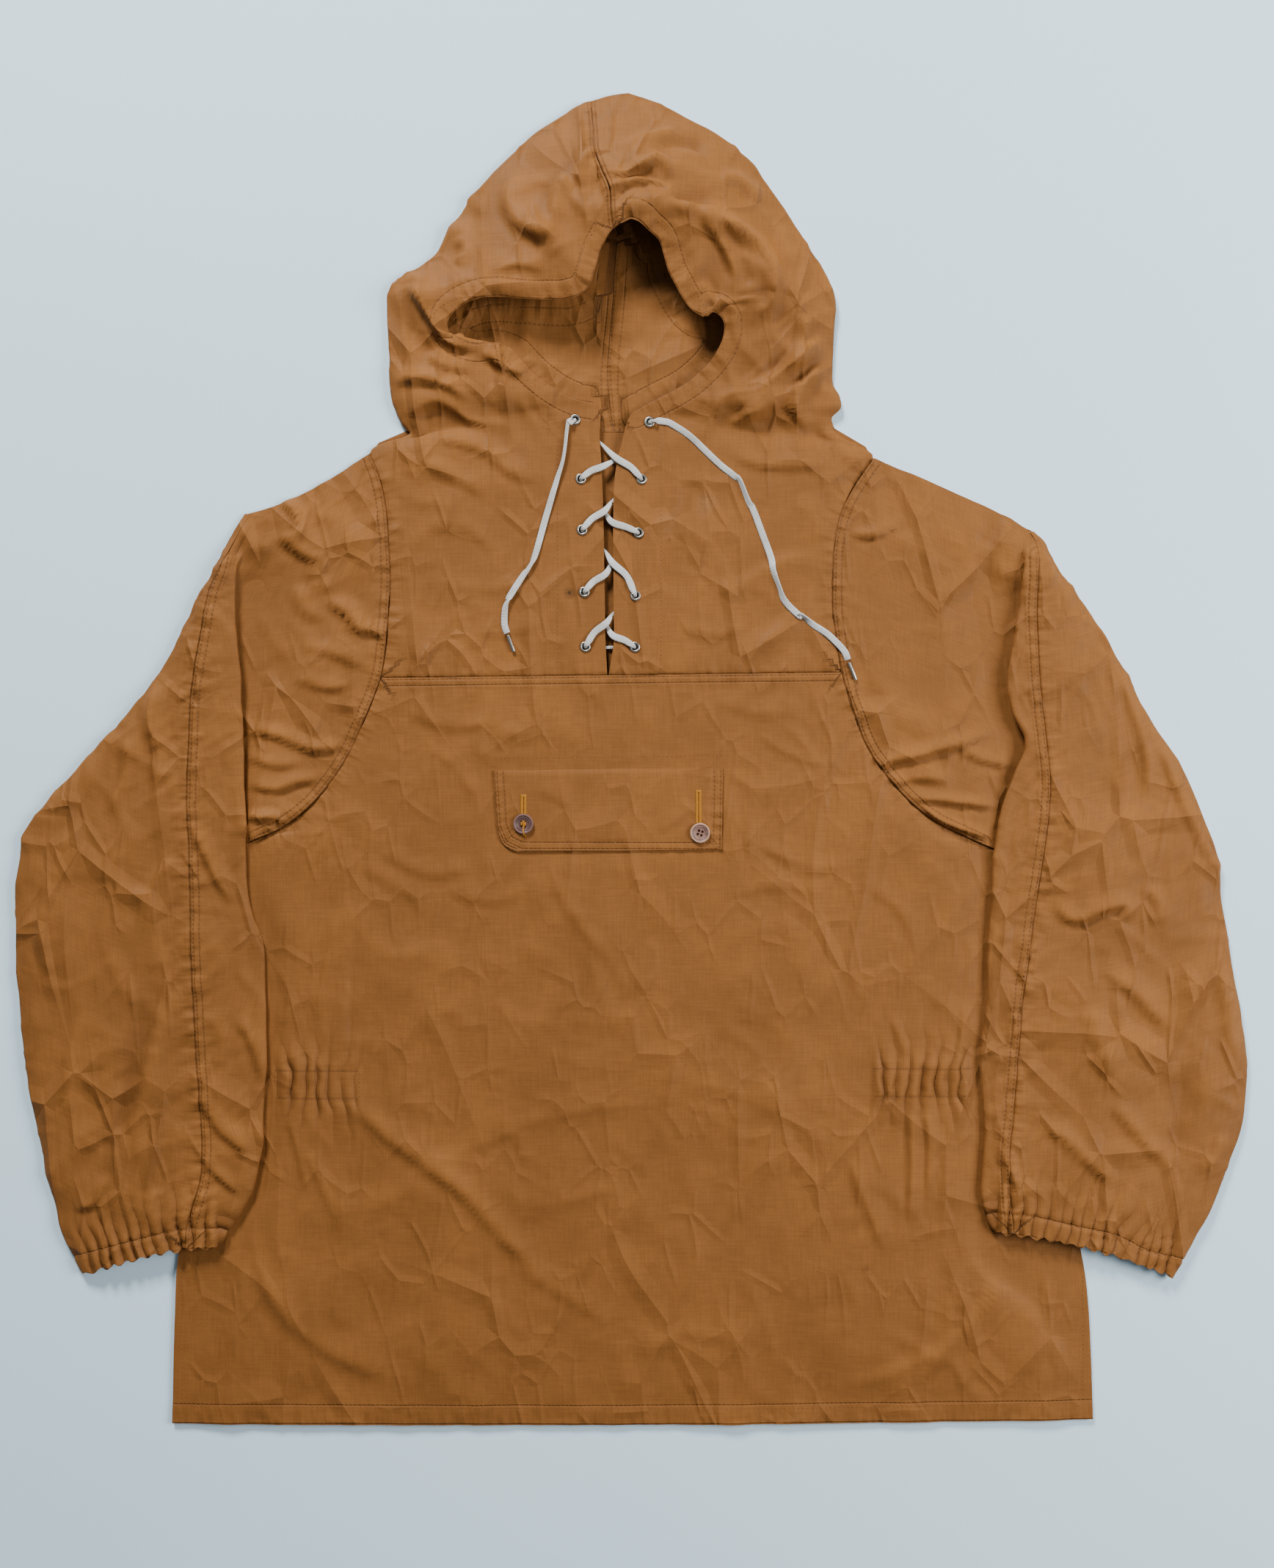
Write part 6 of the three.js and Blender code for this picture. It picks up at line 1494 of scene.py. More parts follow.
def cut_holes(piece, cutters):
    """Takes round holes out of a piece. The cutters go."""
    tool = join_into(cutters[0], cutters[1:])
    deselect()
    bpy.context.view_layer.objects.active = piece
    piece.select_set(True)
    cut = piece.modifiers.new("holes", "BOOLEAN")
    cut.operation = "DIFFERENCE"
    cut.solver = "EXACT"
    cut.object = tool
    bpy.ops.object.modifier_apply(modifier="holes")
    bpy.data.objects.remove(tool, do_unlink=True)


def make_aglet(name, tree, places):
    """A metal tube pressed flat round the lace's end, with softly rounded edges."""
    points = tip_points(tree, places)
    start, end = np.array(points[0]), np.array(points[-1])
    centre = (start + end) / 2
    length = float(np.linalg.norm(end - start))
    deselect()
    bpy.ops.mesh.primitive_cylinder_add(
        vertices=28, radius=AGLET_WIDTH / 2000, depth=length / 1000, location=(0, 0, 0),
    )
    piece = bpy.context.object
    piece.name = name
    bpy.ops.object.mode_set(mode="EDIT")
    bpy.ops.mesh.select_all(action="SELECT")
    bpy.ops.mesh.bevel(offset=0.00025, segments=2, affect="EDGES", clamp_overlap=True)
    bpy.ops.object.mode_set(mode="OBJECT")
    piece.scale = (0.74, AGLET_THICK / AGLET_WIDTH, 1)
    aim = Vector((end - start).tolist())
    piece.rotation_mode = "QUATERNION"
    piece.rotation_quaternion = aim.to_track_quat("Z", "Y")
    piece.location = to_metres(*centre)
    apply_place()
    bpy.ops.object.shade_smooth_by_angle(angle=math.radians(40))
    return piece


def make_eyelet(side, pair):
    """A pressed metal eyelet: a domed flange and a short barrel."""
    eye = eyelet_place(side, pair)
    at = Vector(to_metres(*eye["at"]))
    deselect()
    bpy.ops.mesh.primitive_torus_add(
        major_radius=0.0031, minor_radius=0.00078, major_segments=40, minor_segments=14,
        location=(at.x, at.y, eye["top"] * MM - 0.0001),
    )
    flange = bpy.context.object
    flange.scale = (1, 1, 0.62)
    apply_place()
    deselect()
    depth = (eye["top"] - eye["foot"]) * MM
    bpy.ops.mesh.primitive_cylinder_add(
        vertices=40, radius=0.0027, depth=depth, end_fill_type="NOTHING",
        location=(at.x, at.y, (eye["top"] + eye["foot"]) * 0.0005),
    )
    barrel = bpy.context.object
    barrel.modifiers.new("wall", "SOLIDIFY").thickness = 0.0004
    bpy.ops.object.modifier_apply(modifier="wall")
    apply_place()
    join_into(flange, [barrel])
    flange.name = f"{eyelet_node(side, pair)}_metal"
    bpy.ops.object.shade_smooth_by_angle(angle=math.radians(40))
    return flange


# The buttons. x, y, diameter, turn of the holes in degrees
BUTTONS = {"left": (-78.8, -46.9, 14.7, 40), "right": (50.4, -53.5, 14.5, 27)}


def spin_profile(name, profile, steps=64):
    """A round piece turned from a profile of (radius, height) in mm."""
    vertices = [(0.0, 0.0, profile[0][1] * MM)]
    rings = profile[1:-1]
    for r, z in rings:
        for k in range(steps):
            angle = 2 * math.pi * k / steps
            vertices.append((r * MM * math.cos(angle), r * MM * math.sin(angle), z * MM))
    vertices.append((0.0, 0.0, profile[-1][1] * MM))
    faces = [(0, 1 + (k + 1) % steps, 1 + k) for k in range(steps)]
    for i in range(len(rings) - 1):
        a, b = 1 + i * steps, 1 + (i + 1) * steps
        faces += [(a + k, a + (k + 1) % steps, b + (k + 1) % steps, b + k) for k in range(steps)]
    last, end = 1 + (len(rings) - 1) * steps, len(vertices) - 1
    faces += [(end, last + k, last + (k + 1) % steps) for k in range(steps)]
    mesh = bpy.data.meshes.new(name)
    mesh.from_pydata(vertices, [], faces)
    piece = bpy.data.objects.new(name, mesh)
    bpy.context.scene.collection.objects.link(piece)
    return face_out(piece)


def make_button(side):
    """A four-hole horn-like button with a raised rim and a dished middle."""
    x, y, diameter, turn = BUTTONS[side]
    low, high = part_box(f"button_{side}")
    foot, top = low[2] * 1000, high[2] * 1000
    r = diameter / 2
    h = top - foot
    profile = [(0, h - 1.0), (r * 0.4, h - 1.0), (r * 0.56, h - 0.9), (r * 0.63, h - 0.55), (r * 0.67, h - 0.42),
               (r * 0.70, h - 0.62), (r * 0.74, h - 0.62), (r * 0.80, h - 0.25), (r * 0.88, h), (r * 0.95, h - 0.08),
               (r, h - 0.5), (r, h - 1.3), (r * 0.93, 0.35), (r * 0.8, 0.0), (0, 0.0)]
    button = spin_profile(f"button_{side}_horn", profile)
    holes = []
    for k in range(4):
        angle = math.radians(turn + 90 * k)
        bpy.ops.mesh.primitive_cylinder_add(
            vertices=20, radius=0.00098, depth=0.02,
            location=(0.0019 * math.cos(angle), 0.0019 * math.sin(angle), 0),
        )
        holes.append(bpy.context.object)
    cut_holes(button, holes)
    button.location = to_metres(x, y, foot)
    button.rotation_euler = (math.radians(1.5), math.radians(-2.5 if side == "left" else 1.5), 0)
    apply_place()
    bpy.ops.object.shade_smooth_by_angle(angle=math.radians(35))
    return button


def tube(points, radius, sides=8, step=0.5):
    """A thread: a round tube through points in mm."""
    path = spaced(points, step)
    along = np.gradient(path, axis=0)
    along /= np.linalg.norm(along, axis=1)[:, None] + 1e-9
    ref = np.where(np.abs(along[:, 2:3]) > 0.9, np.array([[1.0, 0, 0]]), np.array([[0, 0, 1.0]]))
    side = np.cross(along, ref)
    side /= np.linalg.norm(side, axis=1)[:, None] + 1e-9
    up = np.cross(side, along)
    angles = 2 * math.pi * np.arange(sides) / sides
    rings = [path + (side * math.cos(a) + up * math.sin(a)) * radius for a in angles]
    vertices = np.stack(rings, axis=1).reshape(-1, 3)
    return vertices, ring_faces(len(path), sides)


def joined_mesh(name, parts):
    """One object from several lots of points and faces."""
    points, faces = [], []
    for p, f in parts:
        start = len(points)
        points += [tuple(q) for q in p]
        faces += [[start + k for k in face] for face in f]
    return face_out(mesh_object(name, np.array(points), faces))


def make_button_thread(tree):
    """The mustard thread that holds the left button, with its loose tail."""
    x, y, _, turn = BUTTONS["left"]
    low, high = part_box("button_left")
    foot, top = low[2] * 1000, high[2] * 1000
    places = []
    for k in range(4):
        angle = math.radians(turn + 90 * k)
        places.append((x + 1.9 * math.cos(angle), y + 1.9 * math.sin(angle)))
    parts = []
    for a, b in ((0, 3), (1, 2)):
        for shift in (-0.28, 0.28):
            (ax, ay), (bx, by) = places[a], places[b]
            points = [
                (ax + shift, ay, foot + 0.2), (ax + shift, ay, top - 1.0),
                (lerp(ax, bx, 0.5) + shift, lerp(ay, by, 0.5), top - 0.55),
                (bx + shift, by, top - 1.0), (bx + shift, by, foot + 0.2),
            ]
            parts.append(tube(points, 0.26))
    high, _ = drop(tree, x + 1.2, y - 9.6)
    points = [
        (x - 0.4, y + 2.6, top - 0.3), (x, y, top - 0.2), (x - 0.3, y - 3.4, top - 0.1),
        (x + 0.2, y - 6.6, top + 0.1), (x + 0.9, y - 8.2, lerp(top, high, 0.5)), (x + 1.3, y - 9.8, high + 0.3),
    ]
    parts.append(tube(points, 0.3))
    points = [
        (x + 0.5, y + 2.2, top - 0.3), (x + 0.6, y, top - 0.2), (x + 0.4, y - 3.6, top - 0.1),
        (x + 0.3, y - 6.8, top + 0.1), (x + 0.1, y - 8.6, lerp(top, high, 0.4) + 0.2),
    ]
    parts.append(tube(points, 0.26))
    return joined_mesh("button_left_thread", parts)


# Buttonholes on the flap: x, top y, bottom y
BUTTONHOLES = {"left": (-78.8, -27.4, -39.4), "right": (49.3, -24.0, -46.2)}


def make_buttonhole(tree, side):
    """A worked buttonhole: two rows of close thread with the slit between them and a bar at its top."""
    x, y0, y1 = BUTTONHOLES[side]
    parts = []
    y, k = y0, 0
    while y > y1:
        for s in (-1, 1):
            inner, outer = x + s * 0.35, x + s * 2.15 + 0.12 * math.sin(k * 2.3)
            hi, _ = drop(tree, inner, y)
            ho, _ = drop(tree, outer, y)
            middle = (lerp(inner, outer, 0.5), y - 0.1, max(hi, ho) + 0.42)
            points = [(inner, y, hi + 0.1), middle, (outer, y - 0.15, ho + 0.08)]
            parts.append(tube(points, 0.24, sides=6, step=0.6))
        y -= 0.46
        k += 1
    for j in range(4):
        yy = y0 + 0.4 + j * 0.42
        h, _ = drop(tree, x, yy)
        points = [(x - 2.1, yy, h + 0.12), (x, yy, h + 0.5), (x + 2.1, yy, h + 0.12)]
        parts.append(tube(points, 0.25, sides=6, step=0.6))
    return joined_mesh(f"buttonhole_{side}_thread", parts)


def make_flap(tree):
    """The pocket flap, sewn along its top, with one round and one square corner."""
    columns, rows = 76, 30
    grid = np.zeros((rows + 1, columns + 1, 3))
    depth = FLAP["top"] - FLAP["bottom"]
    wide = FLAP["right"] - FLAP["left"]
    across = smooth(np.linspace(0, 1, columns + 1)) * 0.35 + np.linspace(0, 1, columns + 1) * 0.65
    for i in range(rows + 1):
        down = i / rows
        for j in range(columns + 1):
            t = float(across[j])
            from_corner = max(0, FLAP["round"] - t * wide)
            lift = FLAP["round"] - math.sqrt(max(0, FLAP["round"] ** 2 - from_corner**2))
            x = lerp(FLAP["left"] + 3 * down, FLAP["right"] - down, t)
            y = FLAP["top"] + 2 * t - (depth - lift) * down
            near = [drop(tree, x + a, y + b)[0] for a, b in ((0, 0), (1.5, 0), (-1.5, 0), (0, 1.5), (0, -1.5))]
            grid[i, j] = (x, y, max(near) + 0.62)
    for _ in range(3):
        z = grid[:, :, 2]
        z[1:-1, 1:-1] = np.maximum(z[1:-1, 1:-1], (z[:-2, 1:-1] + z[2:, 1:-1] + z[1:-1, :-2] + z[1:-1, 2:]) / 4)
    down = np.linspace(0, 1, rows + 1)[:, None] * np.ones((1, columns + 1))
    grid[:, :, 2] += 0.2 * smooth(down * 8)
    cloth = Cloth()
    cloth.add(grid, grid[:, :, :2].copy())
    px, py = cloth.points[:, 0], cloth.points[:, 1]
    left = px - FLAP["left"] - 3 * smooth((FLAP["top"] - py) / depth)
    right = FLAP["right"] - px
    low = py - FLAP["bottom"]
    height = 0.2 * crumple(px, py, 9)
    for inwards, run, seed in ((left, py, 61), (right, py, 62), (low, px, 63)):
        height += 0.6 * soft_noise(run, inwards * 0.3, 6.5, seed) * np.exp(-inwards / 6.5) * smooth(inwards / 2)
        row = 7 if seed == 63 else 6
        height -= 0.28 * dip(inwards, row, 0.8)
    height += creases(FLAP_CREASES, px, py)
    height -= 0.9 * np.exp(-(((FLAP["top"] + 1 - py) / 1.2) ** 2))
    upside_down = bool(cloth.normals()[0, 2] < 0)
    cloth.raise_by(height, -1 if upside_down else 1)
    left, right, low = FLAP["left"], FLAP["right"], FLAP["bottom"]
    edge = [
        (left, FLAP["top"]), (left + 2.6, low + 18), (left + 8, low + 6), (left + 20, low + 0.3), (right - 1, low),
    ]
    edge.append((right, FLAP["top"]))
    return cloth_object("pocket_flap_cloth", cloth, flip=upside_down, seams=[(edge, 6.5)])


def offset_line(line, distance):
    """A line in plan moved to its left."""
    flat = [(x, y, 0.0) for x, y in line]
    return [tuple(p[:2]) for p in shifted(flat, distance)]


def stitch_lines():
    """The rows of machine stitches that show, each a line in plan."""
    lines = []
    for side in SIDES:
        s = 1 if side == "left" else -1
        inner, outer = SEAM_ROWS
        lines += [offset_line(HOLE_SHOWN[side], s * distance) for distance in (inner, outer)]
        lines += [offset_line(OVERARM_LINE[side], s * distance) for distance in (inner - 0.1, outer)]
        lines.append([(x, y + CUFF_BAND) for x, y in CUFF_LINE[side]])
        lines.append([(x - s * 12, y) for x, y in FACE_EDGE[side] if y > 268])
    lines.append([(x, y - 6) for x, y in CHEST_LINE])
    lines.append([(FACING["left"], 60), (FACING["left"], 236)])
    lines.append([(FACING["right"], 62), (FACING["right"], 240)])
    lines.append(fine_line([(-334, -473.5), (-120, -475.5), (120, -475.5), (336, -471)], 10))
    lines.append([(-330, -378), (-330, -474)])
    lines.append([(332, -378), (332, -470)])
    lines += [offset_line(CROWN_LINE, distance) for distance in (2.5, -2.5)]
    # the row above the pocket flap holds the pocket's bag, with a tack at each corner
    left, right, top = FLAP["left"], FLAP["right"], FLAP["top"]
    lines.append([(left, top + 9), (right, top + 11)])
    lines.append([(left - 4, top + 3), (left + 1, top + 3)])
    lines.append([(right - 1, top + 5), (right + 4, top + 5)])
    for x0, x1, middle in WAIST:
        inner, outer = (x1, x0) if abs(x1) < abs(x0) else (x0, x1)
        for y in (middle + CASING_HALF, middle - CASING_HALF):
            lines.append([(inner, y), (outer, y)])
        lines.append([(inner, middle + CASING_HALF), (inner, middle - CASING_HALF)])
    return lines


def flap_stitch_lines():
    """The row round the flap's free edges."""
    left, right, top, low = FLAP["left"], FLAP["right"], FLAP["top"], FLAP["bottom"]
    corner = [(left + 9.4 + 10 * (1 - math.cos(a)), low + 7 + 11 * (1 - math.sin(a)))
              for a in np.linspace(0, math.pi / 2, 7)]
    around = [(left + 6, top - 1), (left + 8.5, low + 24)] + corner + [(right - 7, low + 7.5)]
    return [around, [(right - 6.8, low + 7.5), (right - 6, top)]]


def stitches(name, tree, lines, pitch=3.3, length=2.3, half=0.32, rise=0.2):
    """Machine stitches: small lozenges of thread that lie along lines on the cloth."""
    points, faces = [], []
    for line in lines:
        line = np.array(line, dtype=float)
        run = run_lengths(line)
        for at in np.arange(pitch / 2, run[-1], pitch):
            ends = at - length / 2, at + length / 2
            (ax, ay), (bx, by) = [(np.interp(s, run, line[:, 0]), np.interp(s, run, line[:, 1])) for s in ends]
            ha, na = drop(tree, ax, ay)
            hb, nb = drop(tree, bx, by)
            if ha < 0.6 or hb < 0.6 or abs(ha - hb) > 1.6 or na.z < 0.35 or nb.z < 0.35:
                continue
            hm, _ = drop(tree, (ax + bx) / 2, (ay + by) / 2)
            a, b = np.array([ax, ay, ha - 0.06]), np.array([bx, by, hb - 0.06])
            middle = np.array([(ax + bx) / 2, (ay + by) / 2, hm])
            across = unit(np.array([-(by - ay), bx - ax, 0.0]))
            start = len(points)
            points += [a, b, middle + across * half, middle - across * half,
                       middle + np.array([0, 0, rise]), middle - np.array([0, 0, 0.2])]
            for p, q, r in ((0, 3, 4), (0, 4, 2), (0, 2, 5), (0, 5, 3), (1, 4, 3), (1, 2, 4), (1, 5, 2), (1, 3, 5)):
                faces.append((start + p, start + q, start + r))
    return face_out(mesh_object(name, np.array(points), faces))


def open_eyelets(piece, side):
    """Cuts the round holes in the upper front where its eyelets sit."""
    cutters = []
    for pair in range(len(EYELETS)):
        eye = eyelet_place(side, pair)
        bpy.ops.mesh.primitive_cylinder_add(
            vertices=24, radius=0.0028, depth=0.012, location=to_metres(*eye["at"], eye["top"]),
        )
        cutters.append(bpy.context.object)
    cut_holes(piece, cutters)
    return piece


# ---- materials


def to_linear(text):
    """An sRGB colour such as #AA7733 as linear red, green and blue."""
    out = []
    for k in (1, 3, 5):
        c = int(text[k : k + 2], 16) / 255
        out.append(c / 12.92 if c <= 0.04045 else ((c + 0.055) / 1.055) ** 2.4)
    return (*out, 1.0)


def new_material(name):
    material = bpy.data.materials.new(name)
    material.use_nodes = True
    tree = material.node_tree
    return material, tree, next(n for n in tree.nodes if n.type == "BSDF_PRINCIPLED")


def add(tree, kind, links=None, **settings):
    """A node with its settings. links gives an input socket's name or number and what feeds it, or its value."""
    node = tree.nodes.new(kind)
    for key, value in settings.items():
        setattr(node, key, value)
    for socket, source in (links or {}).items():
        if isinstance(source, bpy.types.NodeSocket):
            tree.links.new(source, node.inputs[socket])
        else:
            node.inputs[socket].default_value = source
    return node


def maths(tree, operation, a, b=0.0):
    node = add(tree, "ShaderNodeMath", {0: a, 1: b}, operation=operation)
    return node.outputs[0]


def noise(tree, vector, scale, detail=4.0, rough=0.5):
    node = add(tree, "ShaderNodeTexNoise", {"Scale": scale, "Detail": detail, "Roughness": rough})
    if vector is not None:
        tree.links.new(vector, node.inputs["Vector"])
    return node.outputs[0]


def object_place(tree):
    return add(tree, "ShaderNodeTexCoord").outputs["Object"]


def run_place(tree):
    return add(tree, "ShaderNodeUVMap", uv_map="Thread").outputs["UV"]


def ramp(tree, value, low, high, first, last):
    return add(tree, "ShaderNodeMapRange", {0: value, 1: low, 2: high, 3: first, 4: last}, clamp=True).outputs[0]


def blend_colour(tree, share, a, b, kind="MIX"):
    node = add(tree, "ShaderNodeMix", data_type="RGBA", blend_type=kind)
    sockets = [s for s in node.inputs if s.type == "RGBA"]
    for socket, source in ((node.inputs[0], share), (sockets[0], a), (sockets[1], b)):
        if isinstance(source, bpy.types.NodeSocket):
            tree.links.new(source, socket)
        else:
            socket.default_value = source
    return next(s for s in node.outputs if s.type == "RGBA")


def distance_to(tree, place, x, y):
    """How far from a point in mm a place is, seen from above."""
    split = add(tree, "ShaderNodeSeparateXYZ", {0: place})
    at_x, at_y, _ = to_metres(x, y)
    dx = maths(tree, "SUBTRACT", split.outputs[0], at_x)
    dy = maths(tree, "SUBTRACT", split.outputs[1], at_y)
    return maths(tree, "SQRT", maths(tree, "ADD", maths(tree, "MULTIPLY", dx, dx), maths(tree, "MULTIPLY", dy, dy)))


def spot(tree, place, x, y, radius, soft):
    """1 inside a round mark on the cloth, seen from above, fading to 0 at its edge."""
    away = distance_to(tree, place, x, y)
    return ramp(tree, away, (radius + soft) * MM, max(0.0, radius - soft) * MM, 0.0, 1.0)


def attribute_parts(tree, name):
    """The three parts of a vector that cloth_object stores at each point."""
    vector = add(tree, "ShaderNodeAttribute", attribute_name=name).outputs["Vector"]
    return add(tree, "ShaderNodeSeparateXYZ", {0: vector}).outputs


def fine_creases(tree, place, scale, width):
    """Crisp straight ridges, 1 at their tops, level cloth between: folds pressed in while the coat lay packed."""
    stretched = add(tree, "ShaderNodeMapping", {0: place, 2: (0.0, 0.0, 0.4), 3: (1.3, 0.7, 0.0)}).outputs[0]
    bend = add(tree, "ShaderNodeTexNoise", {"Vector": place, "Scale": scale * 0.6, "Detail": 0.0}).outputs["Color"]
    bent = add(tree, "ShaderNodeMix", {0: 0.35 / scale, 4: stretched, 5: bend}, data_type="VECTOR").outputs[1]
    cells = add(tree, "ShaderNodeTexVoronoi", {"Vector": bent, "Scale": scale}, feature="DISTANCE_TO_EDGE")
    line = maths(tree, "POWER", ramp(tree, cells.outputs["Distance"], width, 0.0, 0.0, 1.0), 1.3)
    present = ramp(tree, noise(tree, place, scale * 0.7, 0.0), 0.42, 0.60, 0.0, 1.0)
    return maths(tree, "MULTIPLY", line, present)


def seam_work(tree):
    """What sewing does to the cloth beside a seam: its puckers, and the painted shade of its stitch rows and of the
    seam's own line.
    """
    away, run, row = attribute_parts(tree, "Seam")
    beside = add(tree, "ShaderNodeCombineXYZ", {0: run, 1: maths(tree, "MULTIPLY", away, 0.3)}).outputs[0]
    pucker = maths(tree, "SUBTRACT", noise(tree, beside, 118.0, 1.5), 0.5)
    pucker = maths(tree, "MULTIPLY", pucker, maths(tree, "POWER", ramp(tree, away, 0.018, 0.001, 0.0, 1.0), 1.5))
    dots = ramp(tree, maths(tree, "SINE", maths(tree, "MULTIPLY", run, STITCHES)), -0.6, 0.6, 1.0, 0.55)

    def row_at(distance, low, high):
        near = ramp(tree, maths(tree, "ABSOLUTE", maths(tree, "SUBTRACT", away, distance)), 0.0009, 0.0002, 0.0, 1.0)
        sewn = maths(tree, "MULTIPLY", maths(tree, "GREATER_THAN", row, low), maths(tree, "LESS_THAN", row, high))
        return maths(tree, "MULTIPLY", near, sewn)

    rows = maths(tree, "MULTIPLY", maths(tree, "ADD", row_at(row, 0.001, 1.0), row_at(0.0019, 0.004, 0.01)), dots)
    edge = ramp(tree, away, 0.0010, 0.0003, 0.0, 1.0)
    height = maths(tree, "SUBTRACT", pucker, maths(tree, "MULTIPLY", maths(tree, "ADD", rows, edge), 0.13))
    return height, rows, edge


def gathered(tree):
    """Cloth drawn up by elastic: the height of the puffs, and where painted shade goes in its sharp valleys and
    along its casing's rows.
    """
    turn, share, away = attribute_parts(tree, "Gather")
    wave = maths(tree, "ABSOLUTE", maths(tree, "SINE", turn))
    puff = maths(tree, "MULTIPLY", share, maths(tree, "POWER", wave, 0.6))
    valley = maths(tree, "MULTIPLY", share, maths(tree, "POWER", maths(tree, "SUBTRACT", 1.0, wave), 2.5))
    row = maths(tree, "ABSOLUTE", maths(tree, "SUBTRACT", away, CASING_HALF * MM))
    return puff, maths(tree, "MAXIMUM", valley, ramp(tree, row, 0.0012, 0.0003, 0.0, 0.6))


THREADS = 2 * math.pi / 0.00078  # a pair of warp threads every 0.78 mm
STITCHES = 2 * math.pi / 0.0033  # a stitch every 3.3 mm
PLAIT_ALONG = 2 * math.pi / 0.0021  # the lace's plait repeats every 2.1 mm along it
PLAIT_ACROSS = 2 * math.pi / 0.0016
PAINTED_SHADE = "#3E210A"  # painted shade: the brown mixed into the cloth in crease hollows, along stitch rows and seam edges, and in gathered valleys


def cotton(name, lit, deep, creased, marks=()):
    """Tightly woven waxed-looking cotton: a fine grid of threads, a soft low sheen, painted highlight on ridges and
    painted shade in creases.
    """
    material, tree, shader = new_material(name)
    place, run = object_place(tree), run_place(tree)
    split = add(tree, "ShaderNodeSeparateXYZ", {0: run})
    u, v = split.outputs[0], split.outputs[1]
    # over and under of the weave
    warp = maths(tree, "SINE", maths(tree, "MULTIPLY", u, THREADS))
    weft = maths(tree, "SINE", maths(tree, "MULTIPLY", v, THREADS))
    weave = maths(tree, "MULTIPLY", warp, weft)
    # slubs: long uneven threads in both directions
    long_warp = add(tree, "ShaderNodeMapping", {0: run, 3: (900.0, 45.0, 1.0)}).outputs[0]
    long_weft = add(tree, "ShaderNodeMapping", {0: run, 3: (45.0, 900.0, 1.0)}).outputs[0]
    slub = maths(tree, "ADD", noise(tree, long_warp, 1.0, 2.0), noise(tree, long_weft, 1.0, 2.0))
    cloud = noise(tree, place, 9.0, 3.0, 0.55)
    blotch = noise(tree, place, 42.0, 4.0, 0.6)
    tone = maths(tree, "ADD", maths(tree, "MULTIPLY", cloud, 0.62), maths(tree, "MULTIPLY", blotch, 0.38))
    colour = blend_colour(tree, ramp(tree, tone, 0.34, 0.66, 0.0, 1.0), to_linear(deep), to_linear(lit))
    # the fold attribute is 0.5 on level cloth, more on ridges, less in the bottoms of creases
    fold = add(tree, "ShaderNodeAttribute", attribute_name="Fold").outputs["Fac"]
    # painted shade darkens the cloth in the bottoms of creases, and a painted highlight lightens the tops of ridges
    painted_crease_shade = ramp(tree, fold, 0.05, 0.46, 0.24, 0.0)
    painted_ridge_highlight = ramp(tree, fold, 0.62, 1.0, 0.0, 0.22)
    colour = blend_colour(tree, painted_crease_shade, colour, to_linear(PAINTED_SHADE))
    colour = blend_colour(tree, painted_ridge_highlight, colour, to_linear("#98622B"))
    grain = ramp(tree, slub, 0.7, 1.3, 0.90, 1.10)
    grey = add(tree, "ShaderNodeCombineColor", {0: grain, 1: grain, 2: grain}).outputs[0]
    colour = blend_colour(tree, 1.0, colour, grey, "MULTIPLY")
    puff, valley = gathered(tree)
    # painted shade in the sharp valleys of the gathers and along the waist casing's rows
    colour = blend_colour(tree, maths(tree, "MULTIPLY", valley, 0.5), colour, to_linear(PAINTED_SHADE))
    pucker, rows, edge = seam_work(tree)
    # painted shade along the stitch rows and at the seam or edge line
    painted_seam_shade = maths(tree, "ADD", maths(tree, "MULTIPLY", rows, 0.26), maths(tree, "MULTIPLY", edge, 0.26))
    colour = blend_colour(tree, painted_seam_shade, colour, to_linear(PAINTED_SHADE))
    for mark in marks:
        colour = mark(tree, place, colour)
    tree.links.new(colour, shader.inputs["Base Color"])
    rough = ramp(tree, blotch, 0.3, 0.7, 0.6, 0.74)
    tree.links.new(rough, shader.inputs["Roughness"])
    height = maths(tree, "ADD", maths(tree, "MULTIPLY", weave, 0.5), maths(tree, "MULTIPLY", slub, 0.8))
    bump = add(tree, "ShaderNodeBump", {"Strength": 0.28, "Distance": 0.00012, "Height": height})
    small = noise(tree, place, 75.0, 3.0, 0.6)
    crinkle = add(tree, "ShaderNodeBump", {"Strength": 0.35, "Distance": 0.0011, "Height": small})
    tree.links.new(bump.outputs[0], crinkle.inputs["Normal"])
    under = crinkle.outputs[0]
    folds = (
        (fine_creases(tree, place, 13.0, 0.11), 0.0021 * creased),
        (fine_creases(tree, place, 31.0, 0.12), 0.0008 * creased),
        (puff, 0.0016),
        (pucker, 0.0030),
    )
    for high, rise in folds:
        raised = add(tree, "ShaderNodeBump", {"Strength": 1.0, "Distance": rise, "Height": high})
        tree.links.new(under, raised.inputs["Normal"])
        under = raised.outputs[0]
    tree.links.new(under, shader.inputs["Normal"])
    shader.inputs["Specular IOR Level"].default_value = 0.18
    shader.inputs["Sheen Weight"].default_value = 0.03
    shader.inputs["Sheen Roughness"].default_value = 0.4
    shader.inputs["Sheen Tint"].default_value = to_linear("#C98A4A")
    return material


def dark_spot(x, y, radius, soft, colour, share):
    """A mark with a ragged edge, at a place in mm."""

    def paint(tree, place, under):
        ragged = noise(tree, place, 520.0, 3.0, 0.7)
        inside = spot(tree, place, x, y, radius, soft)
        away = maths(tree, "MULTIPLY", inside, ramp(tree, ragged, 0.36, 0.6, 0.35, 1.0))
        return blend_colour(tree, maths(tree, "MULTIPLY", away, share), under, to_linear(colour))

    return paint


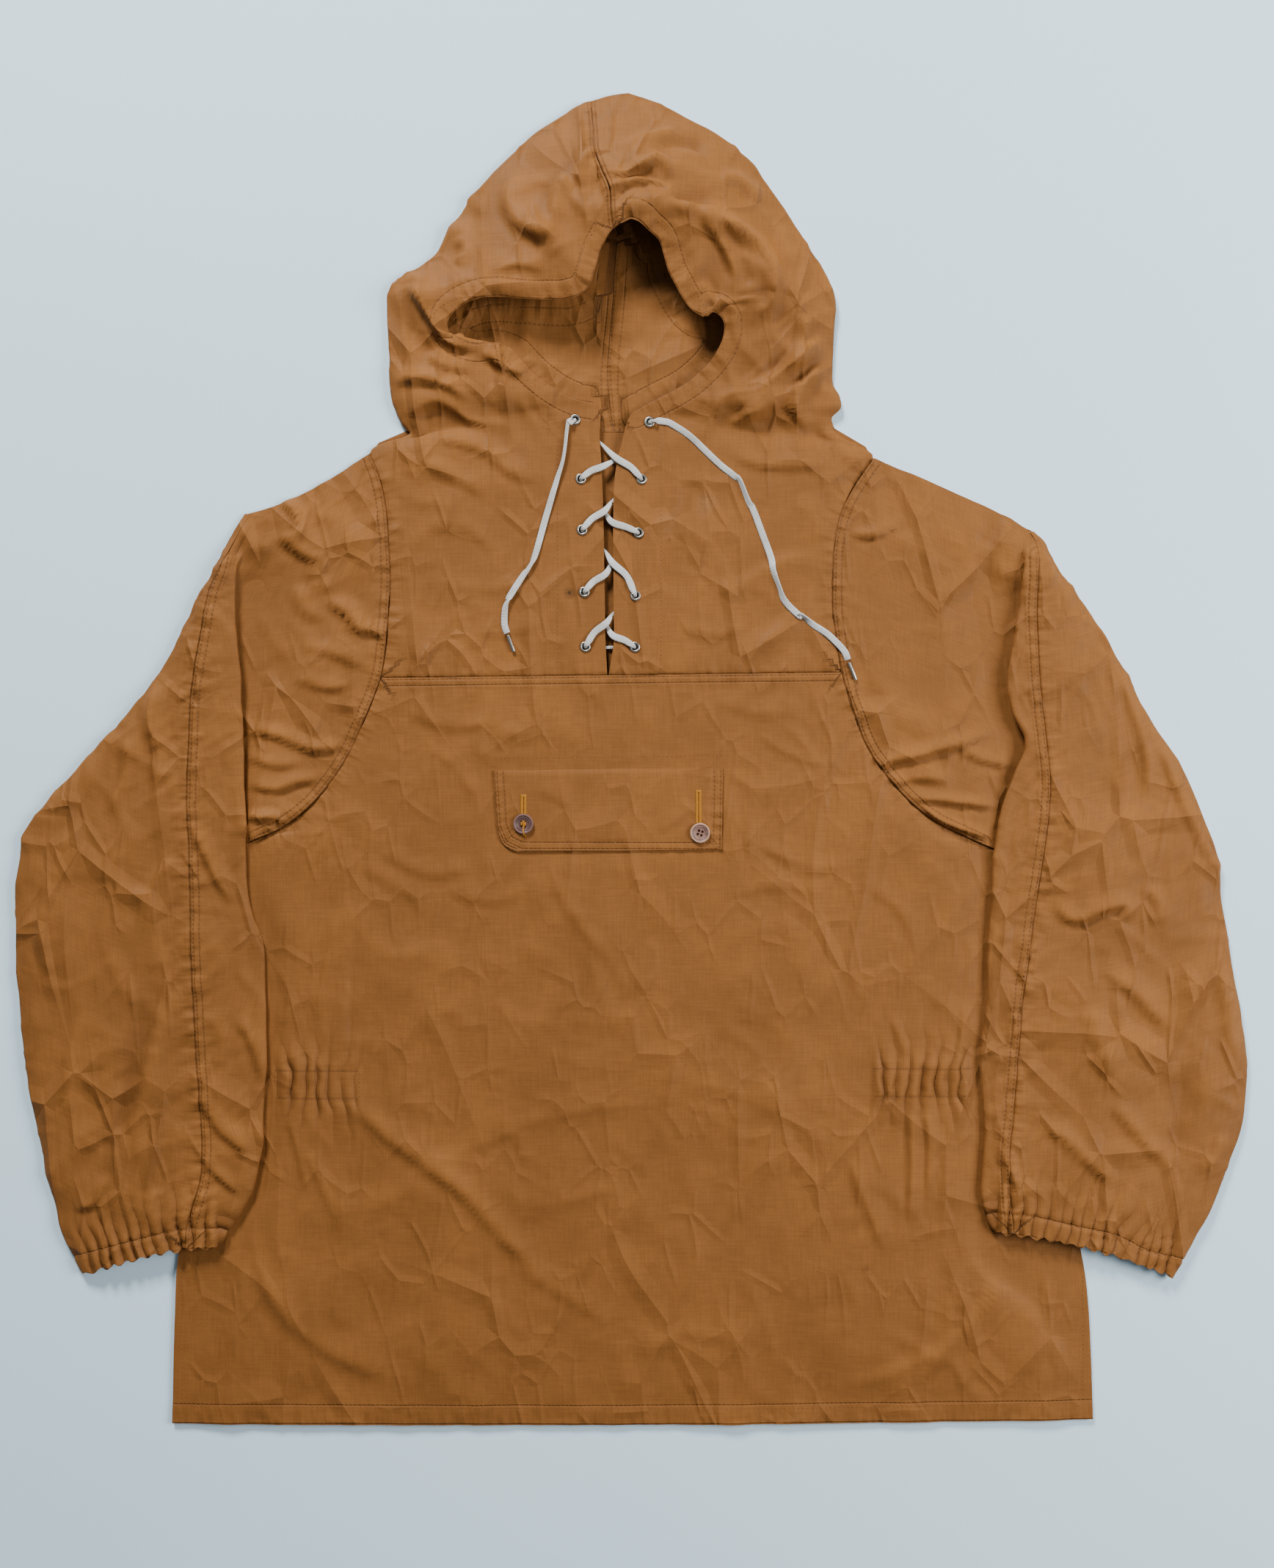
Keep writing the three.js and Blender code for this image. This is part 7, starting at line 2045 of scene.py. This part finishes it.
def ring_stain(x, y, radius, width, colour, share):
    """The ring that a drop leaves when it dries, at a place in mm."""

    def paint(tree, place, under):
        outer = spot(tree, place, x, y, radius, width)
        inner = spot(tree, place, x, y, radius - width, width)
        ring = maths(tree, "SUBTRACT", outer, maths(tree, "MULTIPLY", inner, 0.6))
        ragged = ramp(tree, noise(tree, place, 160.0, 3.0), 0.35, 0.65, 0.3, 1.0)
        ring = maths(tree, "MULTIPLY", ring, ragged)
        return blend_colour(tree, maths(tree, "MULTIPLY", ring, share), under, to_linear(colour))

    return paint


def lace_cotton(name, colour, shade):
    """Plaited flat cotton lace: slanting strands that cross in rows, soft and matt."""
    material, tree, shader = new_material(name)
    run = run_place(tree)
    split = add(tree, "ShaderNodeSeparateXYZ", {0: run})
    across, along = split.outputs[0], split.outputs[1]
    down, over = maths(tree, "MULTIPLY", along, PLAIT_ALONG), maths(tree, "MULTIPLY", across, PLAIT_ACROSS)
    one, two = maths(tree, "ADD", down, over), maths(tree, "SUBTRACT", down, over)
    plait = maths(tree, "MULTIPLY", maths(tree, "SINE", one), maths(tree, "SINE", two))
    dirt = noise(tree, object_place(tree), 60.0, 4.0)
    base = blend_colour(tree, ramp(tree, dirt, 0.35, 0.7, 0.0, 0.7), to_linear(colour), to_linear(shade))
    # painted shade: the hollows between the plait's crossing strands are mixed towards grey
    base = blend_colour(tree, ramp(tree, plait, 0.1, -0.8, 0.0, 0.75), base, to_linear("#878D92"))
    tree.links.new(base, shader.inputs["Base Color"])
    bump = add(tree, "ShaderNodeBump", {"Strength": 0.6, "Distance": 0.0003, "Height": plait})
    tree.links.new(bump.outputs[0], shader.inputs["Normal"])
    shader.inputs["Roughness"].default_value = 0.88
    shader.inputs["Specular IOR Level"].default_value = 0.2
    shader.inputs["Sheen Weight"].default_value = 0.3
    return material


def worn_metal(name, colour, rough):
    """Nickel-plated brass: bright where rubbed, dull in fine scratches."""
    material, tree, shader = new_material(name)
    place = object_place(tree)
    cloud = noise(tree, place, 700.0, 4.0, 0.6)
    base = blend_colour(tree, ramp(tree, cloud, 0.4, 0.7, 0.0, 0.6), to_linear(colour), to_linear("#6E665C"))
    tree.links.new(base, shader.inputs["Base Color"])
    tree.links.new(ramp(tree, cloud, 0.3, 0.7, rough, rough + 0.2), shader.inputs["Roughness"])
    shader.inputs["Metallic"].default_value = 1.0
    return material


def horn(name, body, rim, x, y):
    """Moulded horn-look polyester: cloudy brown-purple with a paler turned rim, polished."""
    material, tree, shader = new_material(name)
    place = object_place(tree)
    away = distance_to(tree, place, x, y)
    cloud = noise(tree, place, 260.0, 4.0, 0.6)
    base = blend_colour(tree, ramp(tree, cloud, 0.35, 0.7, 0.0, 0.7), to_linear(body), to_linear("#4A3431"))
    base = blend_colour(tree, ramp(tree, away, 0.0057, 0.0068, 0.0, 1.0), base, to_linear(rim))
    tree.links.new(base, shader.inputs["Base Color"])
    shader.inputs["Roughness"].default_value = 0.45
    shader.inputs["Specular IOR Level"].default_value = 0.3
    shader.inputs["Coat Weight"].default_value = 0.06
    shader.inputs["Coat Roughness"].default_value = 0.25
    return material


def plain(name, colour, rough):
    """Spun thread: matt, slightly uneven in tone."""
    material, tree, shader = new_material(name)
    cloud = noise(tree, object_place(tree), 900.0, 2.0)
    base = blend_colour(tree, ramp(tree, cloud, 0.3, 0.7, 0.0, 0.35), to_linear(colour), to_linear("#7A4A12"))
    tree.links.new(base, shader.inputs["Base Color"])
    shader.inputs["Roughness"].default_value = rough
    return material


def floor_paint(name, colour):
    """A smooth matt pale surface with hardly any texture, so that only soft shadows show on it."""
    material, tree, shader = new_material(name)
    cloud = noise(tree, object_place(tree), 3.0, 3.0)
    base = blend_colour(tree, ramp(tree, cloud, 0.3, 0.7, 0.0, 0.25), to_linear(colour), to_linear("#CBE9FF"))
    tree.links.new(base, shader.inputs["Base Color"])
    shader.inputs["Roughness"].default_value = 0.7
    shader.inputs["Specular IOR Level"].default_value = 0.25
    return material


# ---- the add-on: settings, one operator for each group of like pieces, and a panel

BODY = "root"
# The pieces and materials that the operators have made, by name
MADE = {}


def need(name):
    """A piece or material that an earlier operator made."""
    if name not in MADE:
        raise RuntimeError(f"{name} has not been made yet")
    return MADE[name]


def keep(name, piece, material, slot, *nodes):
    """Gives a piece its material and body, and hides the solids it stands for. The slot is not used."""
    piece.data.materials.clear()
    piece.data.materials.append(material)
    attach(piece, BODY)
    if nodes:
        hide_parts(*nodes)
    MADE[name] = piece
    return piece


def hex_colour(name, about, value):
    return bpy.props.StringProperty(name=name, description=about, default=value)


class AnorakClothSettings(bpy.types.PropertyGroup):
    """The cloth's colours."""

    lit: hex_colour("Cloth", "The cloth where light falls on it, as sRGB hex", "#865527")
    deep: hex_colour("Deep", "The cloth's darker, older tone, as sRGB hex", "#774B21")
    thread: hex_colour("Thread", "The sewing thread, as sRGB hex", "#6C4217")
    mustard: hex_colour("Mustard", "The buttonhole thread, as sRGB hex", "#B8780E")


class AnorakTrimSettings(bpy.types.PropertyGroup):
    """The lace, the metal and the buttons."""

    lace: hex_colour("Lace", "The lace, as sRGB hex", "#DCDDDA")
    metal: hex_colour("Metal", "Eyelets and aglets, as sRGB hex", "#B9B4AB")
    horn_left: hex_colour("Left button", "As sRGB hex", "#5F4540")
    horn_right: hex_colour("Right button", "As sRGB hex", "#8A6A5C")


class AnorakStageSettings(bpy.types.PropertyGroup):
    """The floor, the light and the camera."""

    floor: hex_colour("Floor", "The floor, as sRGB hex", "#D8F2FF")
    key: bpy.props.FloatProperty(
        name="Key light", description="Power of the light from above the hood", default=140.0, unit="POWER",
    )
    fill: bpy.props.FloatProperty(
        name="Fill light", description="Power of the light from the right", default=46.0, unit="POWER",
    )
    height: bpy.props.FloatProperty(
        name="Camera height", description="Above the floor", default=1.25, unit="LENGTH",
    )


def cloth_marks():
    """The photo's spots, scuffs and ring."""
    return (
        dark_spot(-45, 122, 2.6, 2.4, "#1E120A", 0.95),
        dark_spot(28, 161, 1.2, 1.0, "#4A2A14", 0.7),
        dark_spot(172, -373, 1.4, 2.4, "#3C2412", 0.6),
        dark_spot(-178, 269, 1.8, 1.8, "#2A1A10", 0.8),
        dark_spot(55, 188, 4, 8, "#CFA47C", 0.12),
        dark_spot(27, 170, 4, 8, "#CFA47C", 0.1),
        ring_stain(141, -455, 7, 1.6, "#6B3F1C", 0.5),
    )


def cloth_material(name="rust_cotton", creased=0.7):
    """The garment's one cloth, made once for each amount of fine creases."""
    if name not in MADE:
        colours = bpy.context.scene.anorak_cloth
        MADE[name] = cotton(name, colours.lit, colours.deep, creased, cloth_marks())
    return MADE[name]


def creased_material():
    """The hood and the sleeves lie in more folds than the body."""
    return cloth_material("rust_cotton_creased", 1.25)


def thread_material():
    if "sewing_thread" not in MADE:
        MADE["sewing_thread"] = plain("sewing_thread", bpy.context.scene.anorak_cloth.thread, 0.8)
    return MADE["sewing_thread"]


class ANORAK_OT_body(bpy.types.Operator):
    """Make the back and the lower front"""

    bl_idname = "anorak.body"
    bl_label = "Back and lower front"

    def execute(self, context):
        back = keep("back", make_back(), cloth_material(), "cloth", "body_back")
        front = keep("front", make_front_lower(), cloth_material(), "cloth", "front_lower")
        return {"FINISHED"}


class ANORAK_OT_hood(bpy.types.Operator):
    """Make the two upper fronts, each in one piece with its side of the hood"""

    bl_idname = "anorak.hood"
    bl_label = "Upper fronts and hood"

    def execute(self, context):
        for side, sign in (("left", -1), ("right", 1)):
            piece = open_eyelets(make_hood_side(side), sign)
            keep(f"hood_{side}", piece, creased_material(), "cloth", f"front_hood_{side}")
        return {"FINISHED"}


class ANORAK_OT_sleeves(bpy.types.Operator):
    """Make the two sleeves, each of a front and a back half"""

    bl_idname = "anorak.sleeves"
    bl_label = "Sleeves"

    def execute(self, context):
        for side in SIDES:
            near, far = make_sleeve(side)
            keep(f"sleeve_{side}_front", near, creased_material(), "cloth", f"sleeve_{side}_front")
            keep(f"sleeve_{side}_back", far, creased_material(), "cloth", f"sleeve_{side}_back")
        return {"FINISHED"}


class ANORAK_OT_flap(bpy.types.Operator):
    """Make the pocket flap with its buttonholes"""

    bl_idname = "anorak.flap"
    bl_label = "Pocket flap"

    def execute(self, context):
        flap = keep("flap", make_flap(lie_of([need("front")])), cloth_material(), "cloth", "pocket_flap")
        tree = lie_of([flap])
        mustard = plain("mustard_thread", context.scene.anorak_cloth.mustard, 0.75)
        MADE["mustard"] = mustard
        for side in SIDES:
            keep(f"buttonhole_{side}", make_buttonhole(tree, side), mustard, "cloth")
        stitch = stitches("flap_stitching", tree, flap_stitch_lines())
        keep("flap_stitching", stitch, thread_material(), "cloth")
        return {"FINISHED"}


class ANORAK_OT_stitches(bpy.types.Operator):
    """Sew the rows of stitches that show"""

    bl_idname = "anorak.stitches"
    bl_label = "Stitches"

    def execute(self, context):
        names = ["front", "hood_left", "hood_right"]
        names += [f"sleeve_{side}_{half}" for side in SIDES for half in ("front", "back")]
        tree = lie_of([need(name) for name in names])
        piece = stitches("seam_stitching", tree, stitch_lines())
        keep("seam_stitching", piece, thread_material(), "cloth")
        return {"FINISHED"}


class ANORAK_OT_eyelets(bpy.types.Operator):
    """Press in the ten metal eyelets"""

    bl_idname = "anorak.eyelets"
    bl_label = "Eyelets"

    def execute(self, context):
        metal = worn_metal("nickel_plate", context.scene.anorak_trim.metal, 0.28)
        MADE["metal"] = metal
        for side in (-1, 1):
            for pair in range(len(EYELETS)):
                node = eyelet_node(side, pair)
                keep(node, make_eyelet(side, pair), metal, "eyelet", node)
        return {"FINISHED"}


class ANORAK_OT_laces(bpy.types.Operator):
    """Lace the slit, and lay the free ends with their aglets on the front"""

    bl_idname = "anorak.laces"
    bl_label = "Laces and aglets"

    def execute(self, context):
        names = ("front", "hood_left", "hood_right", "back", "sleeve_left_front", "sleeve_right_front")
        tree = lie_of([need(name) for name in names])
        soft = lace_cotton("plaited_lace", context.scene.anorak_trim.lace, "#BEB8AC")
        points = lacing_points(tree)
        lacing, _ = ribbon("lacing_lace", points)
        keep("lacing", lacing, soft, "lace", "lacing")
        ends = (
            ("left", points[-1], points[-2], LACE_LEFT, AGLET_LEFT),
            ("right", points[0], points[1], LACE_RIGHT, AGLET_RIGHT),
        )
        for side, last, before, places, tip in ends:
            free, path = ribbon(f"lace_end_{side}_lace", free_end_points(tree, last, before, places))
            keep(f"lace_{side}", free, soft, "lace", f"lace_end_{side}")
            aglet = make_aglet(f"aglet_{side}_metal", tree, tip)
            keep(f"aglet_{side}", aglet, need("metal"), "aglet", f"aglet_{side}")
            path = path.copy()
            path[:, 1] += CENTRE_SHIFT
        return {"FINISHED"}


class ANORAK_OT_buttons(bpy.types.Operator):
    """Sew on the two buttons"""

    bl_idname = "anorak.buttons"
    bl_label = "Buttons"

    def execute(self, context):
        trim = context.scene.anorak_trim
        tree = lie_of([need("flap"), need("front")])
        looks = {"left": (trim.horn_left, "#765850"), "right": (trim.horn_right, "#B8937C")}
        for side, (x, y, _, _) in BUTTONS.items():
            body, rim = looks[side]
            look = horn(f"horn_{side}", body, rim, x, y)
            keep(f"button_{side}", make_button(side), look, "button", f"button_{side}")
        keep("button_thread", make_button_thread(tree), need("mustard"), "button")
        return {"FINISHED"}


class ANORAK_OT_stage(bpy.types.Operator):
    """Lay the floor, hang the lights and set the camera"""

    bl_idname = "anorak.stage"
    bl_label = "Stage"

    def execute(self, context):
        stage = context.scene.anorak_stage
        deselect()
        bpy.ops.mesh.primitive_plane_add(size=6.0, location=(0, 0, 0))
        floor = context.object
        floor.name = "floor"
        floor.data.materials.append(floor_paint("pale_floor", stage.floor))
        camera_data = bpy.data.cameras.new("camera")
        camera_data.sensor_fit = "VERTICAL"
        camera_data.sensor_height = 36
        camera_data.lens = 39
        camera = bpy.data.objects.new("camera", camera_data)
        context.scene.collection.objects.link(camera)
        camera.location = (0.0043, -0.0179, stage.height)
        context.scene.camera = camera
        for name, place, aim, size, power in (
            ("key", (-0.85, 2.4, 1.5), (0, 0, 0), 0.7, stage.key),
            ("fill", (1.6, 0.1, 1.2), (0, 0, 0), 1.0, stage.fill),
        ):
            data = bpy.data.lights.new(name, "AREA")
            data.size = size
            data.energy = power
            light = bpy.data.objects.new(name, data)
            light.location = place
            light.rotation_mode = "QUATERNION"
            light.rotation_quaternion = (Vector(aim) - Vector(place)).to_track_quat("-Z", "Y")
            context.scene.collection.objects.link(light)
        world = bpy.data.worlds.new("sky")
        world.use_nodes = True
        background = next(n for n in world.node_tree.nodes if n.type == "BACKGROUND")
        background.inputs[0].default_value = to_linear("#E6ECF2")
        background.inputs[1].default_value = 0.2
        context.scene.world = world
        return {"FINISHED"}


OPERATORS = (
    ANORAK_OT_body,
    ANORAK_OT_hood,
    ANORAK_OT_sleeves,
    ANORAK_OT_eyelets,
    ANORAK_OT_laces,
    ANORAK_OT_flap,
    ANORAK_OT_stitches,
    ANORAK_OT_buttons,
    ANORAK_OT_stage,
)


class ANORAK_PT_pieces(bpy.types.Panel):
    """The pieces and their settings, in the sidebar of the 3D view"""

    bl_label = "Anorak pullover"
    bl_idname = "ANORAK_PT_pieces"
    bl_space_type = "VIEW_3D"
    bl_region_type = "UI"
    bl_category = "Anorak"

    def draw(self, context):
        for settings in (context.scene.anorak_cloth, context.scene.anorak_trim, context.scene.anorak_stage):
            box = self.layout.box()
            for key in settings.__annotations__:
                box.prop(settings, key)
        for operator in OPERATORS:
            self.layout.operator(operator.bl_idname)


CLASSES = (AnorakClothSettings, AnorakTrimSettings, AnorakStageSettings, *OPERATORS, ANORAK_PT_pieces)


def register():
    for item in CLASSES:
        bpy.utils.register_class(item)
    bpy.types.Scene.anorak_cloth = bpy.props.PointerProperty(type=AnorakClothSettings)
    bpy.types.Scene.anorak_trim = bpy.props.PointerProperty(type=AnorakTrimSettings)
    bpy.types.Scene.anorak_stage = bpy.props.PointerProperty(type=AnorakStageSettings)


def unregister():
    del bpy.types.Scene.anorak_stage
    del bpy.types.Scene.anorak_trim
    del bpy.types.Scene.anorak_cloth
    for item in reversed(CLASSES):
        bpy.utils.unregister_class(item)


def main():
    register()
    for operator in OPERATORS:
        group, name = operator.bl_idname.split(".")
        getattr(getattr(bpy.ops, group), name)()
    bpy.context.view_layer.update()
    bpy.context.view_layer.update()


if __name__ == "__main__":
    main()
